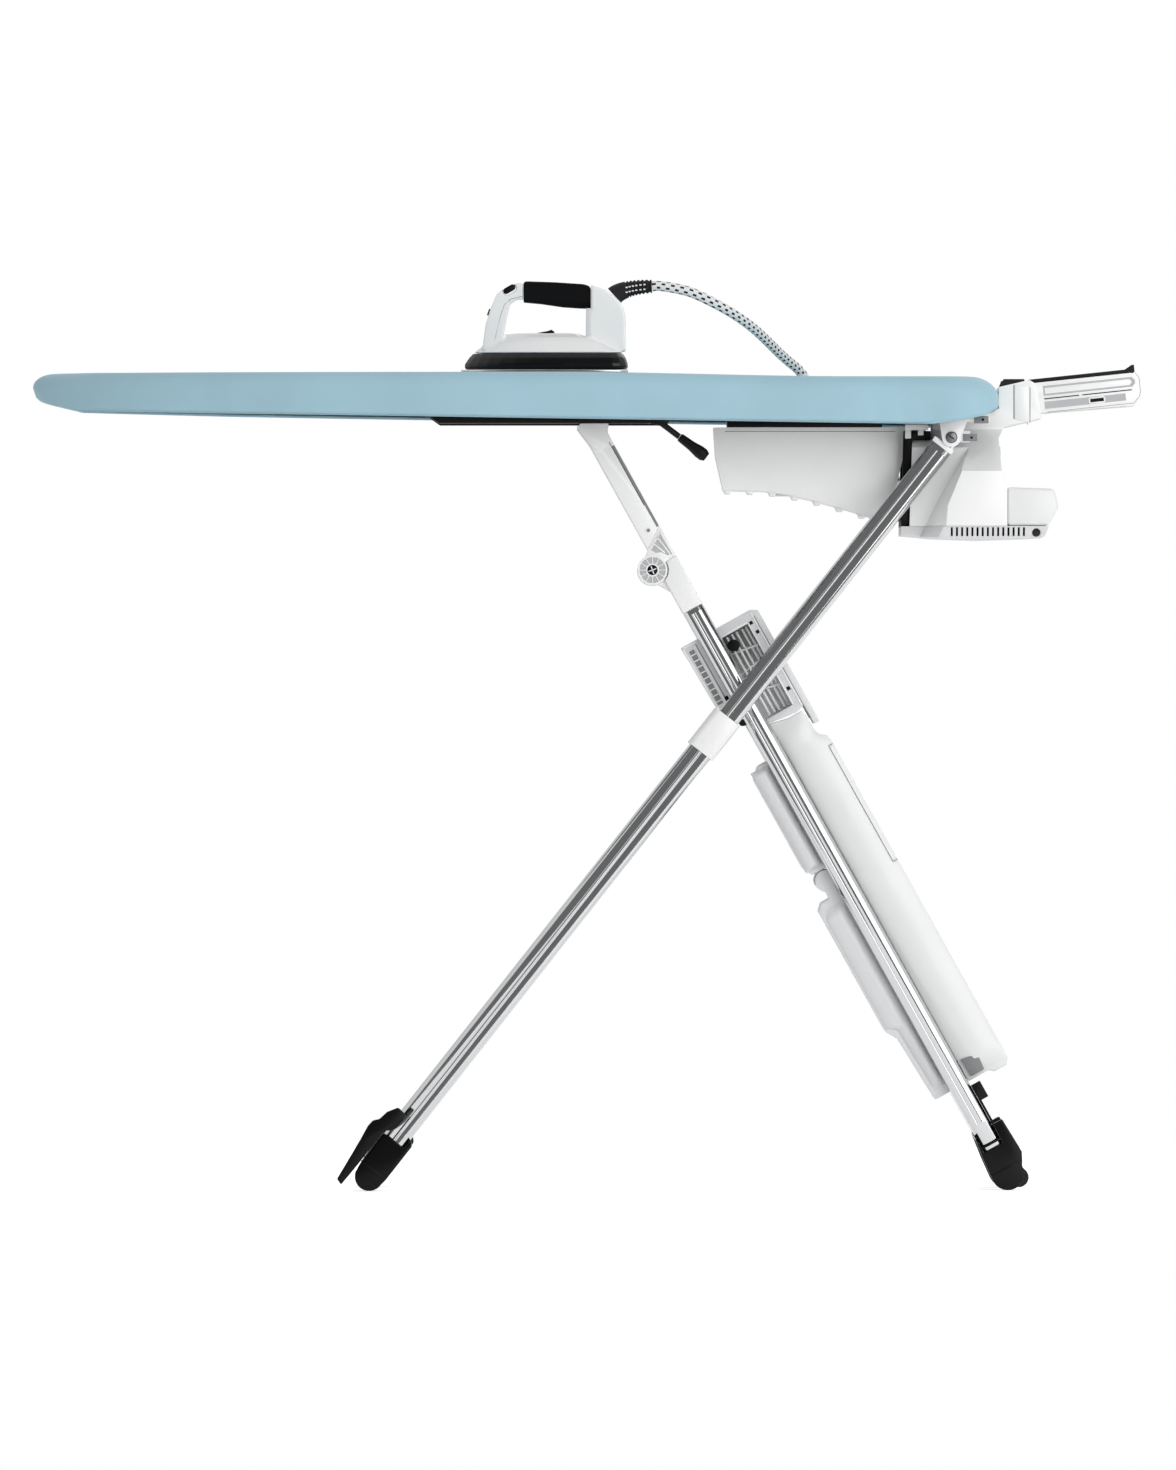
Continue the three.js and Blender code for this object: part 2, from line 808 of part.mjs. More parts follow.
function meshDeck() {
  const plate = plank(inset(plan, insetUnderCover(deckTop)), [deckTop - deckThickness, deckTop]);
  const columns = Math.floor((boardLength - 2 * deckSlotMargin) / deckSlotPitchX);
  const slots = [];
  for (let column = 0; column <= columns; column += 1) {
    for (const row of [-1, 0, 1]) {
      const x = noseX + deckSlotMargin + column * deckSlotPitchX;
      const y = row * deckSlotPitchY;
      slots.push(box(
        [x - deckSlotLength / 2, x + deckSlotLength / 2],
        [y - deckSlotWidth / 2, y + deckSlotWidth / 2],
        [deckTop - cutOverrun, deckTop + cutOverrun],
      ));
    }
  }
  return cut(plate, ...slots);
}

function makeBoard(parent) {
  add(parent, 'board_tray', boardTray(), 'steel');
  add(parent, 'mesh_deck', meshDeck(), 'steel');
  add(parent, 'foam_pad', foamPad(), 'foam');
  add(parent, 'board_cover', boardCover(), 'fabric');
}

// Slide rails and the lever's bracket, under the tray

const railStartX = noseX + railFromNose;
const railEndX = railStartX + railLength;
const railCavityFloor = railBottom + railLip;

function slideRail(side) {
  const outline = [
    ...underTray(railStartX, railEndX),
    [railEndX, railBottom + railEndChamfer],
    [railEndX - railEndChamfer, railBottom],
    [railStartX + railEndTaper, railBottom],
  ];
  const travel = [armHinge.x, armHinge.x + carriageTravel];
  const roomFor = (length) => [
    travel[0] - length / 2 - 2 * turnGap,
    travel[1] + length / 2 + 2 * turnGap,
  ];
  return cut(
    slab(outline, span(side, frontTubeOffset, railWidth)),
    box(
      roomFor(carriageBlockLength),
      span(side, frontTubeOffset, railCavityWidth),
      [railCavityFloor, railCavityFloor + railCavityHeight],
    ),
    box(
      roomFor(carriageNeckLength),
      span(side, frontTubeOffset, railSlotWidth),
      [railBottom - cutOverrun, railCavityFloor + railCavityHeight / 2],
    ),
  );
}

function leverBracket() {
  const middle = leverPivot.x;
  const along = [middle - leverBracketLength / 2, middle + leverBracketLength / 2];
  const outline = [
    ...underTray(along[0], along[1]),
    [along[1], leverPivot.z - leverCheekReach / 2],
    [middle, leverPivot.z - leverCheekReach],
    [along[0], leverPivot.z - leverCheekReach / 2],
  ];
  const gap = leverEyeWidth / 2 + turnGap;
  const outerWidth = 2 * (gap + leverCheek);
  const slot = span(nearSide, leverOffset, 2 * gap);
  const block = slab(outline, span(nearSide, leverOffset, outerWidth));
  const highest = Math.min(trayZ(along[0]), trayZ(along[1])) - seatGap - leverWeb;
  const hollow = box([along[0] - cutOverrun, along[1] + cutOverrun], slot, [
    leverPivot.z - leverCheekReach - cutOverrun, highest,
  ]);
  const pin = bar(leverPinRadius, span(nearSide, leverOffset, outerWidth), leverPivot.x, leverPivot.z);
  return cut(block, hollow).add(solid(pin));
}

const leverPivot = { x: rearX - leverFromRear, z: boardHeight - leverPivotDrop };

function makeRails(parent) {
  for (const [label, side] of sides) {
    add(parent, `slide_rail_${label}`, slideRail(side), 'black');
  }
  add(parent, 'lever_bracket', leverBracket(), 'black');
}

// The height lever: a rod with an eye, and its grip
function makeLever(parent) {
  const lever = new THREE.Group();
  lever.position.set(leverPivot.x, nearSide * leverOffset, leverPivot.z);
  lever.rotation.y = -THREE.MathUtils.degToRad(leverTiltDegrees);
  parent.add(lever);
  const eyeSpan = [-leverEyeWidth / 2, leverEyeWidth / 2];
  const rod = cut(
    join(
      bar(leverEyeRadius, eyeSpan),
      post(leverRodRadius, [-leverRodLength, 0]),
    ),
    bar(leverPinRadius + turnGap, [-leverEyeWidth, leverEyeWidth]),
  );
  add(lever, 'lever_rod', rod, 'black');
  const profileShares = [[0, 0], [0.6, 0], [0.68, 0.06], [0.78, 0.45], [1, 0.72], [1, 0.88], [0.7, 1], [0, 1]];
  const start = leverRodLength + seatGap;
  const profile = profileShares.map(([out, along]) => (
    new THREE.Vector2(out * leverGripRadius, -start - along * leverGripLength)
  ));
  const grip = new THREE.LatheGeometry(profile.reverse(), 16).rotateX(Math.PI / 2);
  add(lever, 'lever_grip', grip, 'black');
}

// Rear hinge brackets: a plate each side of the leg, a web under the tray and the pin

const rearEarInner = rearTubeOffset - tubeWidth / 2 - rearEarGap;
const rearEarOuter = rearTubeOffset + tubeWidth / 2 + rearEarGap;

function rearHingeBracket(side) {
  const left = legHinge.x - rearEarLeft;
  const right = legHinge.x + rearEarRight;
  const top = underTray(left, right);
  const ear = [
    ...top,
    ...arc([legHinge.x, legHinge.z], rearEarRadius, 0, -Math.PI, 8),
  ];
  const lowest = Math.min(...top.map(([, z]) => z));
  const web = [...top, [right, lowest - rearEarWeb], [left, lowest - rearEarWeb]];
  const inner = spanBetween(side, rearEarInner - rearEarThickness, rearEarInner);
  const outer = spanBetween(side, rearEarOuter, rearEarOuter + rearEarThickness);
  const across = spanBetween(side, rearEarInner - rearEarThickness, rearEarOuter + rearEarThickness);
  const headEnd = rearEarOuter + rearEarThickness + rearPinHeadHeight;
  const head = spanBetween(side, rearEarOuter + rearEarThickness / 2, headEnd);
  const upperTab = [
    ...underTray(right - tabLap, legHinge.x + tabUpperRun),
    [legHinge.x + tabUpperRun, lowest - rearEarWeb],
    [right - tabLap, lowest - rearEarWeb],
  ];
  const lowerTab = [
    [legHinge.x, legHinge.z + tabLowerTop],
    [legHinge.x + tabLowerRun, legHinge.z + tabLowerTop],
    [legHinge.x + tabLowerRun, legHinge.z - tabLowerBottom],
    [legHinge.x, legHinge.z - tabLowerBottom],
  ];
  return join(
    slab(ear, inner),
    slab(ear, outer),
    slab(upperTab, inner),
    slab(lowerTab, inner),
    slab(web, across),
    bar(rearPinRadius, across, legHinge.x, legHinge.z),
    bar(rearPinHeadRadius, head, legHinge.x, legHinge.z),
  );
}

function makeRearHinges(parent) {
  for (const [label, side] of sides) {
    add(parent, `rear_hinge_bracket_${label}`, rearHingeBracket(side), 'white');
  }
}

// Blower: a tub under the board with its flange, motor and impeller

const blowerX = rearX - blowerFromRear;
const blowerTop = boardHeight - blowerDrop;
const motorX = blowerX + motorFromFront;
const motorBase = boardHeight - motorBaseDrop;

const blowerShares = [
  [0, 0], [0.01, 0.3], [0.05, 0.65], [0.15, 0.655], [0.26, 0.66], [0.39, 0.7],
  [0.53, 0.765], [0.7, 0.86], [0.91, 0.99], [0.95, 0.57], [0.98, 0.31], [1, 0],
];

function blowerOutline() {
  return blowerShares.map(([along, down]) => [
    blowerX + along * blowerLength, blowerTop - down * blowerDepth,
  ]);
}

// The tub's floor between its two bottom corners
function blowerFloorZ(x) {
  const floor = blowerOutline().slice(2, 9);
  const after = Math.max(1, floor.findIndex(([at]) => at > x));
  const [x0, z0] = floor[after - 1];
  const [x1, z1] = floor[after];
  return z0 + ((z1 - z0) * (x - x0)) / (x1 - x0);
}

function blowerHousing() {
  const outline = blowerOutline();
  const half = blowerWidth / 2;
  const inner = inset(outline, blowerWall);
  inner[0][1] += cutOverrun;
  inner[inner.length - 1][1] += cutOverrun;
  const tub = cut(
    slab(outline, [-half, half]),
    slab(inner, [-half + blowerWall, half - blowerWall]),
  );
  const bossFoot = blowerFloorZ(motorX) + blowerWall / 2;
  let housing = tub.add(solid(post(motorBossRadius, [bossFoot, motorBase - seatGap], motorX)));
  const firstRib = outline[2][0] + blowerRibWidth / 2;
  for (let rib = 0; rib < blowerRibCount; rib += 1) {
    const x = firstRib + rib * blowerRibPitch;
    const z = blowerFloorZ(x) + blowerWall / 2;
    const low = z - blowerWall / 2 - blowerRibHeight;
    const ribOutline = [
      [x - blowerRibWidth / 2, z],
      [x - blowerRibWidth / 4, low],
      [x + blowerRibWidth / 4, low],
      [x + blowerRibWidth / 2, z],
    ];
    const ribSpan = [-half + 2 * blowerWall, half - 2 * blowerWall];
    housing = housing.add(solid(slab(ribOutline, ribSpan)));
  }
  return housing;
}

function blowerFlange() {
  const from = blowerX + blowerFlangeFront;
  const to = blowerX + blowerLength - blowerFlangeRear;
  const outline = [
    ...underTray(from, to),
    [to, blowerTop + seatGap],
    [from, blowerTop + seatGap],
  ];
  const half = blowerFlangeWidth / 2;
  return cut(slab(outline, [-half, half]), ductHole(blowerTop - cutOverrun, boardHeight));
}

function impellerShape() {
  const base = motorBase + motorHeight + 2 * turnGap;
  const blades = Array.from({ length: impellerBladeCount }, (_, i) => (
    box(
      [impellerHubRadius - impellerBladeThickness, impellerRadius],
      [-impellerBladeThickness / 2, impellerBladeThickness / 2],
      [base, base + impellerHeight],
    ).rotateZ((2 * Math.PI * i) / impellerBladeCount)
  ));
  const wheel = join(
    post(impellerRadius, [base, base + impellerPlate], 0, 0, 24),
    post(impellerHubRadius, [base, base + impellerHeight]),
    ...blades,
  );
  const bore = post(shaftRadius + turnGap, [base - cutOverrun, base + impellerHeight + cutOverrun]);
  return geometryOf(cut(wheel, bore)).translate(motorX, 0, 0);
}

function makeBlower(parent) {
  add(parent, 'blower_housing', blowerHousing(), 'white');
  add(parent, 'blower_flange', blowerFlange(), 'black');
  const motor = join(
    post(motorRadius, [motorBase, motorBase + motorHeight], motorX, 0, 20),
    post(shaftRadius, [motorBase, motorBase + motorHeight + shaftLength], motorX),
  );
  add(parent, 'blower_motor', motor, 'steel');
  add(parent, 'impeller', impellerShape(), 'white');
}

// Steam generator: shell with neck and collar, base, boiler, tank and controls

const generatorX = rearX - generatorFromRear;
const generatorEndX = rearX + generatorReach;
const baseTop = boardHeight - generatorBaseDrop;
const collarX = rearX + collarGap;
const drop = (below) => boardHeight - below;

// The crease and the outer edge of the flared cheeks, as runs before the rear end of the board
// at depths below the board's top
const cheekDrops = [10, 43, 68, 115, 166, 215];
const creaseRunShares = [0.02, 0.07, 0.19, 0.41, 0.65, 0.85];
const edgeRunShares = [-0.1, -0.06, 0.12, 0.355, 0.527, 0.56];

function cheekCutter(side) {
  const lineOf = (runShares) => cheekDrops.map((below, i) => [
    rearX - runShares[i] * generatorFromRear, drop(below),
  ]);
  const polygon = (line, y) => [
    ...line,
    [generatorX - 2 * cutOverrun, line[line.length - 1][1]],
    [generatorX - 2 * cutOverrun, line[0][1]],
  ].map(([x, z]) => [x, y, z]);
  const inner = side * (generatorNarrowWidth / 2);
  const outer = side * (generatorWidth / 2);
  const edge = lineOf(edgeRunShares);
  return loft([
    polygon(lineOf(creaseRunShares), inner),
    polygon(edge, outer),
    polygon(edge, outer + side * cutOverrun),
  ]);
}

function generatorOutline() {
  const step = rearX - generatorStepRun;
  const underBoard = underTray(step, rearX - coverHeelRun);
  const underHem = [rearX - coverHeelRun, rearX].map((x) => [x, hemZ(x) - seatGap]);
  return [
    [rearX - generatorFaceAtBase, baseTop + seatGap],
    [rearX - generatorFaceAtTop, drop(generatorFaceTopDrop)],
    [step, drop(generatorFaceTopDrop)],
    ...underBoard,
    ...underHem,
    [collarX, hemZ(rearX) - seatGap],
    [collarX, drop(collarTopDrop)],
    [rearX + collarPeakRun, drop(collarPeakDrop)],
    [rearX + collarEdgeRun, drop(collarEdgeDrop)],
    [rearX + collarFootRun, drop(collarFootDrop)],
    [rearX + neckRun, drop(collarHeelDrop)],
    [rearX, drop(legHingeDrop)],
    [rearX + neckFootRun, drop(neckFootDrop)],
    [generatorEndX, drop(tankTopDrop)],
    [generatorEndX, baseTop + seatGap],
  ];
}

// The generator seen from the end: wide cheeks that draw in to the neck
function generatorSection() {
  const wide = generatorWidth / 2;
  const narrow = generatorNeckWidth / 2;
  return [
    [-wide, 0],
    [wide, 0],
    [wide, drop(generatorShoulderDrop)],
    [narrow, drop(generatorNeckDrop)],
    [narrow, boardHeight],
    [-narrow, boardHeight],
    [-wide, drop(generatorShoulderDrop)],
  ].flatMap((p, i) => (i === 6 ? [[-narrow, drop(generatorNeckDrop)], p] : [p]));
}

const restHinge = { x: rearX + restHingeRun, z: boardHeight - restHingeDrop };

function collarPocket() {
  const floor = (x) => {
    const slope = (collarHeelDrop - collarFootDrop) / (collarFootRun - neckRun);
    return drop(collarHeelDrop) + (x - rearX - neckRun) * slope + collarFloor;
  };
  const left = collarX + collarBackWall;
  const right = rearX + collarFootRun + cutOverrun;
  const outline = [
    [left, floor(left)],
    [right, floor(right)],
    [right, boardHeight + cutOverrun],
    [left, boardHeight + cutOverrun],
  ];
  const half = generatorNeckWidth / 2 - collarCheek;
  return slab(outline, [-half, half]);
}

const panelLeft = rearX - panelThickness;

function panelOutline(front) {
  const top = drop(panelTopDrop);
  const bottom = top - panelHeight;
  const lean = (z) => {
    const share = (drop(legHingeDrop) - z) / (neckFootDrop - legHingeDrop);
    return rearX + share * neckFootRun;
  };
  return [
    [lean(bottom) - front - panelThickness, bottom],
    [lean(bottom) - front, bottom],
    [lean(top) - front, top],
    [lean(top) - front - panelThickness, top],
  ];
}

function generatorShell() {
  const wide = [-generatorWidth / 2, generatorWidth / 2];
  const section = crossBlock(generatorSection(), [generatorX - cutOverrun, rearX + 2 * collarFootRun]);
  const outer = cut(
    overlap(slab(generatorOutline(), wide), section),
    cheekCutter(nearSide),
    cheekCutter(farSide),
  );
  const hollowEnds = [rearX - generatorFaceAtTop + generatorWall, rearX - 3 * generatorWall];
  const slimHollow = overlap(
    box(
      hollowEnds,
      [-generatorNarrowWidth / 2 + generatorWall, generatorNarrowWidth / 2 - generatorWall],
      [0, drop(generatorFaceTopDrop + generatorWall)],
    ),
    crossBlock(inset(generatorSection(), 2 * generatorWall), hollowEnds),
  );
  const tankHollow = box(
    [rearX - tankTongueLength, generatorEndX + cutOverrun],
    [-tankTongueWidth / 2 - generatorWall, tankTongueWidth / 2 + generatorWall],
    [0, drop(tankTopDrop + generatorWall)],
  );
  const panelHalf = panelWidth / 2 + seatGap;
  const panelSeat = slab(
    growOutline(panelOutline(-panelThickness), seatGap, panelThickness + seatGap),
    [-panelHalf, panelHalf],
  );
  const buttonRoom = barAlongX(
    buttonRadius + turnGap,
    [rearX - 2 * buttonLength, rearX + cutOverrun],
    -buttonOffset,
    drop(panelTopDrop) - panelHeight / 2,
  );
  const half = generatorNeckWidth / 2 + cutOverrun;
  const pinHole = bar(restPinRadius + seatGap, [-half, half], restHinge.x, restHinge.z);
  return cut(
    outer, slimHollow, tankHollow, collarPocket(), panelSeat, buttonRoom, pinHole,
  );
}

// The panel's outline with room above, below and behind it
function growOutline(outline, room, back) {
  const [lowBack, lowFront, topFront, topBack] = outline;
  return [
    [lowBack[0] - back, lowBack[1] - room],
    [lowFront[0], lowFront[1] - room],
    [topFront[0], topFront[1] + room],
    [topBack[0] - back, topBack[1] + room],
  ];
}

// The wiring duct: a cross bar at the top and a channel down to the base, clear of the blower
function wiringDuct() {
  const left = rearX - ductFromRear;
  const bottom = baseTop + seatGap;
  const top = drop(generatorFaceTopDrop) + ductBarDepth;
  const face = (z) => rearX - generatorFaceAtBase - seatGap
    + (generatorFaceAtBase - generatorFaceAtTop)
    * ((z - baseTop) / (drop(generatorFaceTopDrop) - baseTop));
  const outline = [
    [left - ductLean, bottom],
    [left, top],
    [left + ductBarLength, top],
    [left + ductBarLength, drop(generatorFaceTopDrop) + seatGap],
    [face(drop(generatorFaceTopDrop)), drop(generatorFaceTopDrop) + seatGap],
    [face(bottom) - seatGap, bottom],
  ];
  const half = ductWide / 2;
  const room = blowerWidth / 2 + generatorWall;
  const blowerRoom = box(
    [left - 2 * cutOverrun, blowerX + blowerLength + 2 * seatGap],
    [-room, room],
    [drop(blowerDrop + blowerDepth * 0.55), boardHeight],
  );
  return cut(slab(outline, [-half, half]), blowerRoom);
}

const baseSagShares = [[0, 0.66], [0.2, 0.87], [0.54, 1], [0.85, 0.87], [0.97, 0.79], [1, 0]];
const baseReach = 62;

function generatorBase() {
  const length = baseReach + generatorFromRear;
  const low = (share) => baseTop - share * generatorBaseHeight;
  const outline = [
    [generatorX, baseTop],
    ...baseSagShares.map(([along, down]) => [generatorX + along * length, low(down)]),
  ];
  const wide = generatorWidth / 2;
  const section = [
    [-wide, baseTop + cutOverrun],
    [-wide + ventSlopeIn, low(1) - cutOverrun / 2],
    [wide - ventSlopeIn, low(1) - cutOverrun / 2],
    [wide, baseTop + cutOverrun],
  ];
  const outer = cut(
    overlap(
      slab(outline, [-wide, wide]),
      crossBlock(section, [generatorX - cutOverrun, generatorX + length + cutOverrun]),
    ),
    cheekCutter(nearSide),
    cheekCutter(farSide),
  );
  const inner = inset(outline, generatorWall).map(([x, z], i) => [x, i === 0 ? baseTop + cutOverrun : z]);
  inner[inner.length - 1][1] = baseTop + cutOverrun;
  const innerHalf = generatorNarrowWidth / 2 - generatorWall;
  const hollow = slab(inner, [-innerHalf, innerHalf]);
  const rearHollow = overlap(slab(inner, [-wide + ventSlopeIn, wide - ventSlopeIn]), box(
    [rearX - ventFirstFromRear - ventSlotPitch, generatorX + length],
    [-wide, wide],
    [0, boardHeight],
  ));
  const slots = [];
  for (const [, side] of sides) {
    for (let slot = 0; slot < ventSlotCount; slot += 1) {
      const x = rearX - ventFirstFromRear + slot * ventSlotPitch;
      slots.push(box(
        [x - ventSlotWidth / 2, x + ventSlotWidth / 2],
        spanBetween(side, wide - 1.5 * ventSlopeIn, wide + cutOverrun),
        [baseTop - generatorWall / 2 - ventSlotHeight, baseTop - generatorWall / 2],
      ));
    }
  }
  const hole = bar(glandRadius + seatGap, spanBetween(nearSide, wide - 2 * ventSlopeIn, wide), glandX, glandZ);
  return cut(outer, hollow, rearHollow, ...slots, hole);
}

const glandX = rearX + glandFromRear;
const glandZ = baseTop - generatorBaseHeight / 2;

function mainsGland() {
  const outerFace = generatorWidth / 2 - ventSlopeIn / 2;
  return bar(glandRadius, spanBetween(nearSide, outerFace - glandLength, outerFace), glandX, glandZ);
}

function boilerShape() {
  const x = rearX - boilerFromRear;
  const z = drop(boilerDrop);
  const floor = baseTop - 0.66 * generatorBaseHeight + generatorWall + 2 * seatGap;
  const feet = [-boilerLength / 4, boilerLength / 4].map((y) => box(
    [x - boilerFootWidth / 2, x + boilerFootWidth / 2],
    [y - boilerFootWidth / 2, y + boilerFootWidth / 2],
    [floor, z],
  ));
  return join(bar(boilerRadius, [-boilerLength / 2, boilerLength / 2], x, z, 20), ...feet);
}

const tankSideShares = [[0, 0], [0, 1], [0.9, 0.96], [1, 0.48], [0.8, 0]];

function waterTank() {
  const left = generatorEndX + seatGap;
  const bottom = baseTop + 2 * seatGap;
  const height = drop(tankTopDrop) - bottom;
  const face = tankSideShares.map(([along, up]) => [left + along * tankReach, bottom + up * height]);
  const tongue = [
    [rearX - tankTongueLength + 2 * seatGap, left + cutOverrun],
    [-tankTongueWidth / 2, tankTongueWidth / 2],
    [bottom, drop(tankTongueDrop)],
  ];
  return join(slab(face, [-tankWidth / 2, tankWidth / 2]), box(...tongue));
}

function makeGenerator(parent) {
  add(parent, 'generator_shell', generatorShell(), 'white');
  add(parent, 'wiring_duct', wiringDuct(), 'black');
  add(parent, 'generator_base', generatorBase(), 'shade');
  add(parent, 'boiler', boilerShape(), 'steel');
  add(parent, 'mains_gland', mainsGland(), 'black');
  add(parent, 'water_tank', waterTank(), 'shade');
  makeControls(parent);
  makeHoseGland(parent);
}

function makeControls(parent) {
  const z = drop(panelTopDrop) - panelHeight / 2;
  const half = panelWidth / 2;
  const buttonHole = barAlongX(
    buttonRadius + turnGap, [panelLeft - cutOverrun, rearX + cutOverrun], -buttonOffset, z,
  );
  const panel = cut(slab(panelOutline(0), [-half, half]), buttonHole);
  add(parent, 'control_panel', panel, 'black');
  const front = rearX + neckFootRun * ((z - drop(legHingeDrop)) / (legHingeDrop - neckFootDrop));
  const button = barAlongX(
    buttonRadius, [front + buttonProud - buttonLength, front + buttonProud], -buttonOffset, z,
  );
  add(parent, 'power_button', button, 'shade');
}

const hoseGland = { x: rearX - hoseGlandFromRear, z: boardHeight - hoseGlandDrop };
const hoseGlandY = generatorWidth / 2 + hoseGlandHeight;

function makeHoseGland(parent) {
  const seat = generatorWidth / 2 + seatGap;
  const gland = join(
    bar(hoseGlandRadius, [seat, seat + hoseGlandHeight / 2], hoseGland.x, hoseGland.z),
    bar(hoseNozzleRadius, [seat, hoseGlandY + hoseNozzleRadius], hoseGland.x, hoseGland.z),
    barAlongX(hoseNozzleRadius, [hoseGland.x - hoseNozzleLength, hoseGland.x], hoseGlandY, hoseGland.z),
  );
  add(parent, 'hose_gland', gland, 'black');
}

// Iron rest: a folding frame on a pin through the collar, with a pad for the hot sole

function restLine(run, rise) {
  const tilt = THREE.MathUtils.degToRad(restTiltDegrees);
  return [
    restHinge.x + run * Math.cos(tilt) - rise * Math.sin(tilt),
    restHinge.z + run * Math.sin(tilt) + (rise - restLineDrop) * Math.cos(tilt),
  ];
}

const restHalfWidth = generatorNeckWidth / 2 - collarCheek - restSideGap;
const restLength = (() => {
  const tilt = THREE.MathUtils.degToRad(restTiltDegrees);
  return (restReach - restHingeRun - (restDepth / 4) * Math.sin(tilt)) / Math.cos(tilt);
})();

function restFrame() {
  const half = restDepth / 2;
  const tilt = THREE.MathUtils.degToRad(restTiltDegrees);
  const root = arc([restHinge.x, restHinge.z], restRootRadius, Math.PI / 2 + tilt, 1.5 * Math.PI + tilt, 8);
  const end = [
    restLine(restLength - half / 2, -half),
    restLine(restLength, -half / 2),
    restLine(restLength, half / 2),
    restLine(restLength - half / 2, half - seatGap),
  ];
  const hollow = [
    restLine(restRootRadius, -half - cutOverrun),
    restLine(restLength - half, -half - cutOverrun),
    restLine(restLength - half, half - restWall),
    restLine(restRootRadius, half - restWall),
  ];
  return cut(
    slab([...root, ...end], [-restHalfWidth, restHalfWidth]),
    slab(hollow, [-restHalfWidth + restWall, restHalfWidth - restWall]),
    bar(restPinRadius + turnGap, [-boardWidth, boardWidth], restHinge.x, restHinge.z),
  );
}

function restPad() {
  const base = restDepth / 2 + seatGap;
  const start = restRootRadius / 2;
  const outline = [
    restLine(start, base),
    restLine(restLength - restStopLength / 3, base),
    restLine(restLength - restStopLength / 3, base + restPadHeight + restStopHeight),
    restLine(restLength - restStopLength / 2, base + restPadHeight + restStopHeight),
    restLine(restLength - restStopLength, base + restPadHeight),
    restLine(start, base + restPadHeight),
  ];
  return slab(outline, [-restPadWidth / 2, restPadWidth / 2]);
}

function makeRest(parent) {
  const half = generatorNeckWidth / 2;
  add(parent, 'rest_hinge_pin', bar(restPinRadius, [-half, half], restHinge.x, restHinge.z), 'steel');
  add(parent, 'rest_frame', restFrame(), 'white');
  add(parent, 'rest_pad', restPad(), 'black');
}

// Rear leg, drawn from its hinge: local -Z runs down the leg, local +X is its lower right side

function tubeAlong(fromDown, toDown, depth = tubeDepth, offset = 0) {
  const outer = roundedRect(depth, tubeWidth, tubeCorner).map(([x, y]) => [x + offset, y]);
  const bore = inset(outer, tubeWall);
  return cut(
    plank(outer, [-toDown, -fromDown]),
    plank(bore, [-toDown - cutOverrun, -fromDown + cutOverrun]),
  );
}

function shifted(manifold, y) {
  return solid(geometryOf(manifold).translate(0, y, 0));
}

const rearTubeEnd = rearLegLength - rearFootSocket - seatGap;

function rearTube(side) {
  const change = pivotFromHinge + rearSleeveStart + rearSleeveLength / 2;
  const offsetOf = (width) => rearTubeRight - width / 2;
  const upper = tubeAlong(
    rearEyeLength - tubeWall, change, rearUpperTubeWidth, offsetOf(rearUpperTubeWidth),
  );
  const lower = tubeAlong(
    change - tubeWall, rearTubeEnd, rearLowerTubeWidth, offsetOf(rearLowerTubeWidth),
  );
  const tube = shifted(upper.add(lower), side * rearTubeOffset);
  const eyeOutline = [
    ...arc([0, 0], rearEyeRadius, 0, Math.PI, roundSteps),
    [-rearEyeRadius, -rearEyeLength],
    [rearEyeRadius, -rearEyeLength],
  ];
  const eye = slab(eyeOutline, span(side, rearTubeOffset, tubeWidth));
  const tubeInner = rearTubeOffset - tubeWidth / 2;
  const stubInner = frontTubeOffset + tubeWidth / 2 + pivotGap;
  const stub = bar(pivotStubRadius, spanBetween(side, stubInner, tubeInner + tubeWall), 0, -pivotFromHinge);
  const hole = bar(rearPinRadius + turnGap, span(side, rearTubeOffset, 2 * tubeWidth));
  return cut(tube.add(solid(eye)), hole).add(solid(stub));
}

function rearSleeve(side) {
  const middle = rearTubeRight - rearLowerTubeWidth / 2;
  const around = (grow, corner) => roundedRect(
    rearLowerTubeWidth + grow, tubeWidth + Math.min(grow, rearSleeveWall), corner,
  ).map(([x, y]) => [x + middle, y]);
  const outer = around(2 * rearSleeveWall, tubeCorner + rearSleeveWall / 2);
  const bore = around(2 * seatGap, tubeCorner + seatGap);
  const from = pivotFromHinge + rearSleeveStart;
  const to = from + rearSleeveLength;
  return shifted(cut(
    plank(outer, [-to, -from]),
    plank(bore, [-to - cutOverrun, -from + cutOverrun]),
  ), side * rearTubeOffset);
}

function rearFootBar() {
  const centre = -rearLegLength;
  const half = rearTubeRight + 2 * seatGap;
  const outer = half + rearFootShell;
  const outline = [
    [half, centre + rearFootSocket],
    [half, centre + rearFootProng],
    [outer, centre + rearFootProng - rearFootShell],
    [outer, centre + rearFootRadius / 2],
    ...arc([0, centre], rearFootRadius, 0, -Math.PI, 12),
    [-outer, centre + rearFootRadius / 2],
    [-outer - rearFootShell / 6, centre + rearFootSocket],
  ];
  const feet = sides.map(([, side]) => slab(outline, span(side, rearTubeOffset, rearFootWidth)));
  const cross = bar(rearCrossRadius, [-rearTubeOffset, rearTubeOffset], 0, centre + rearCrossRise);
  return join(...feet, cross);
}

const wrapPlateShares = [
  [0.53, 0.02], [0.1, 0], [0.06, 0.27], [0.06, 0.73], [-0.3, 0.78], [-0.46, 0.86], [-0.44, 1],
  [0.28, 1.01], [0.66, 0.9], [0.76, 0.79], [1.02, 0.74], [1.06, 0.66], [0.9, 0.5],
];

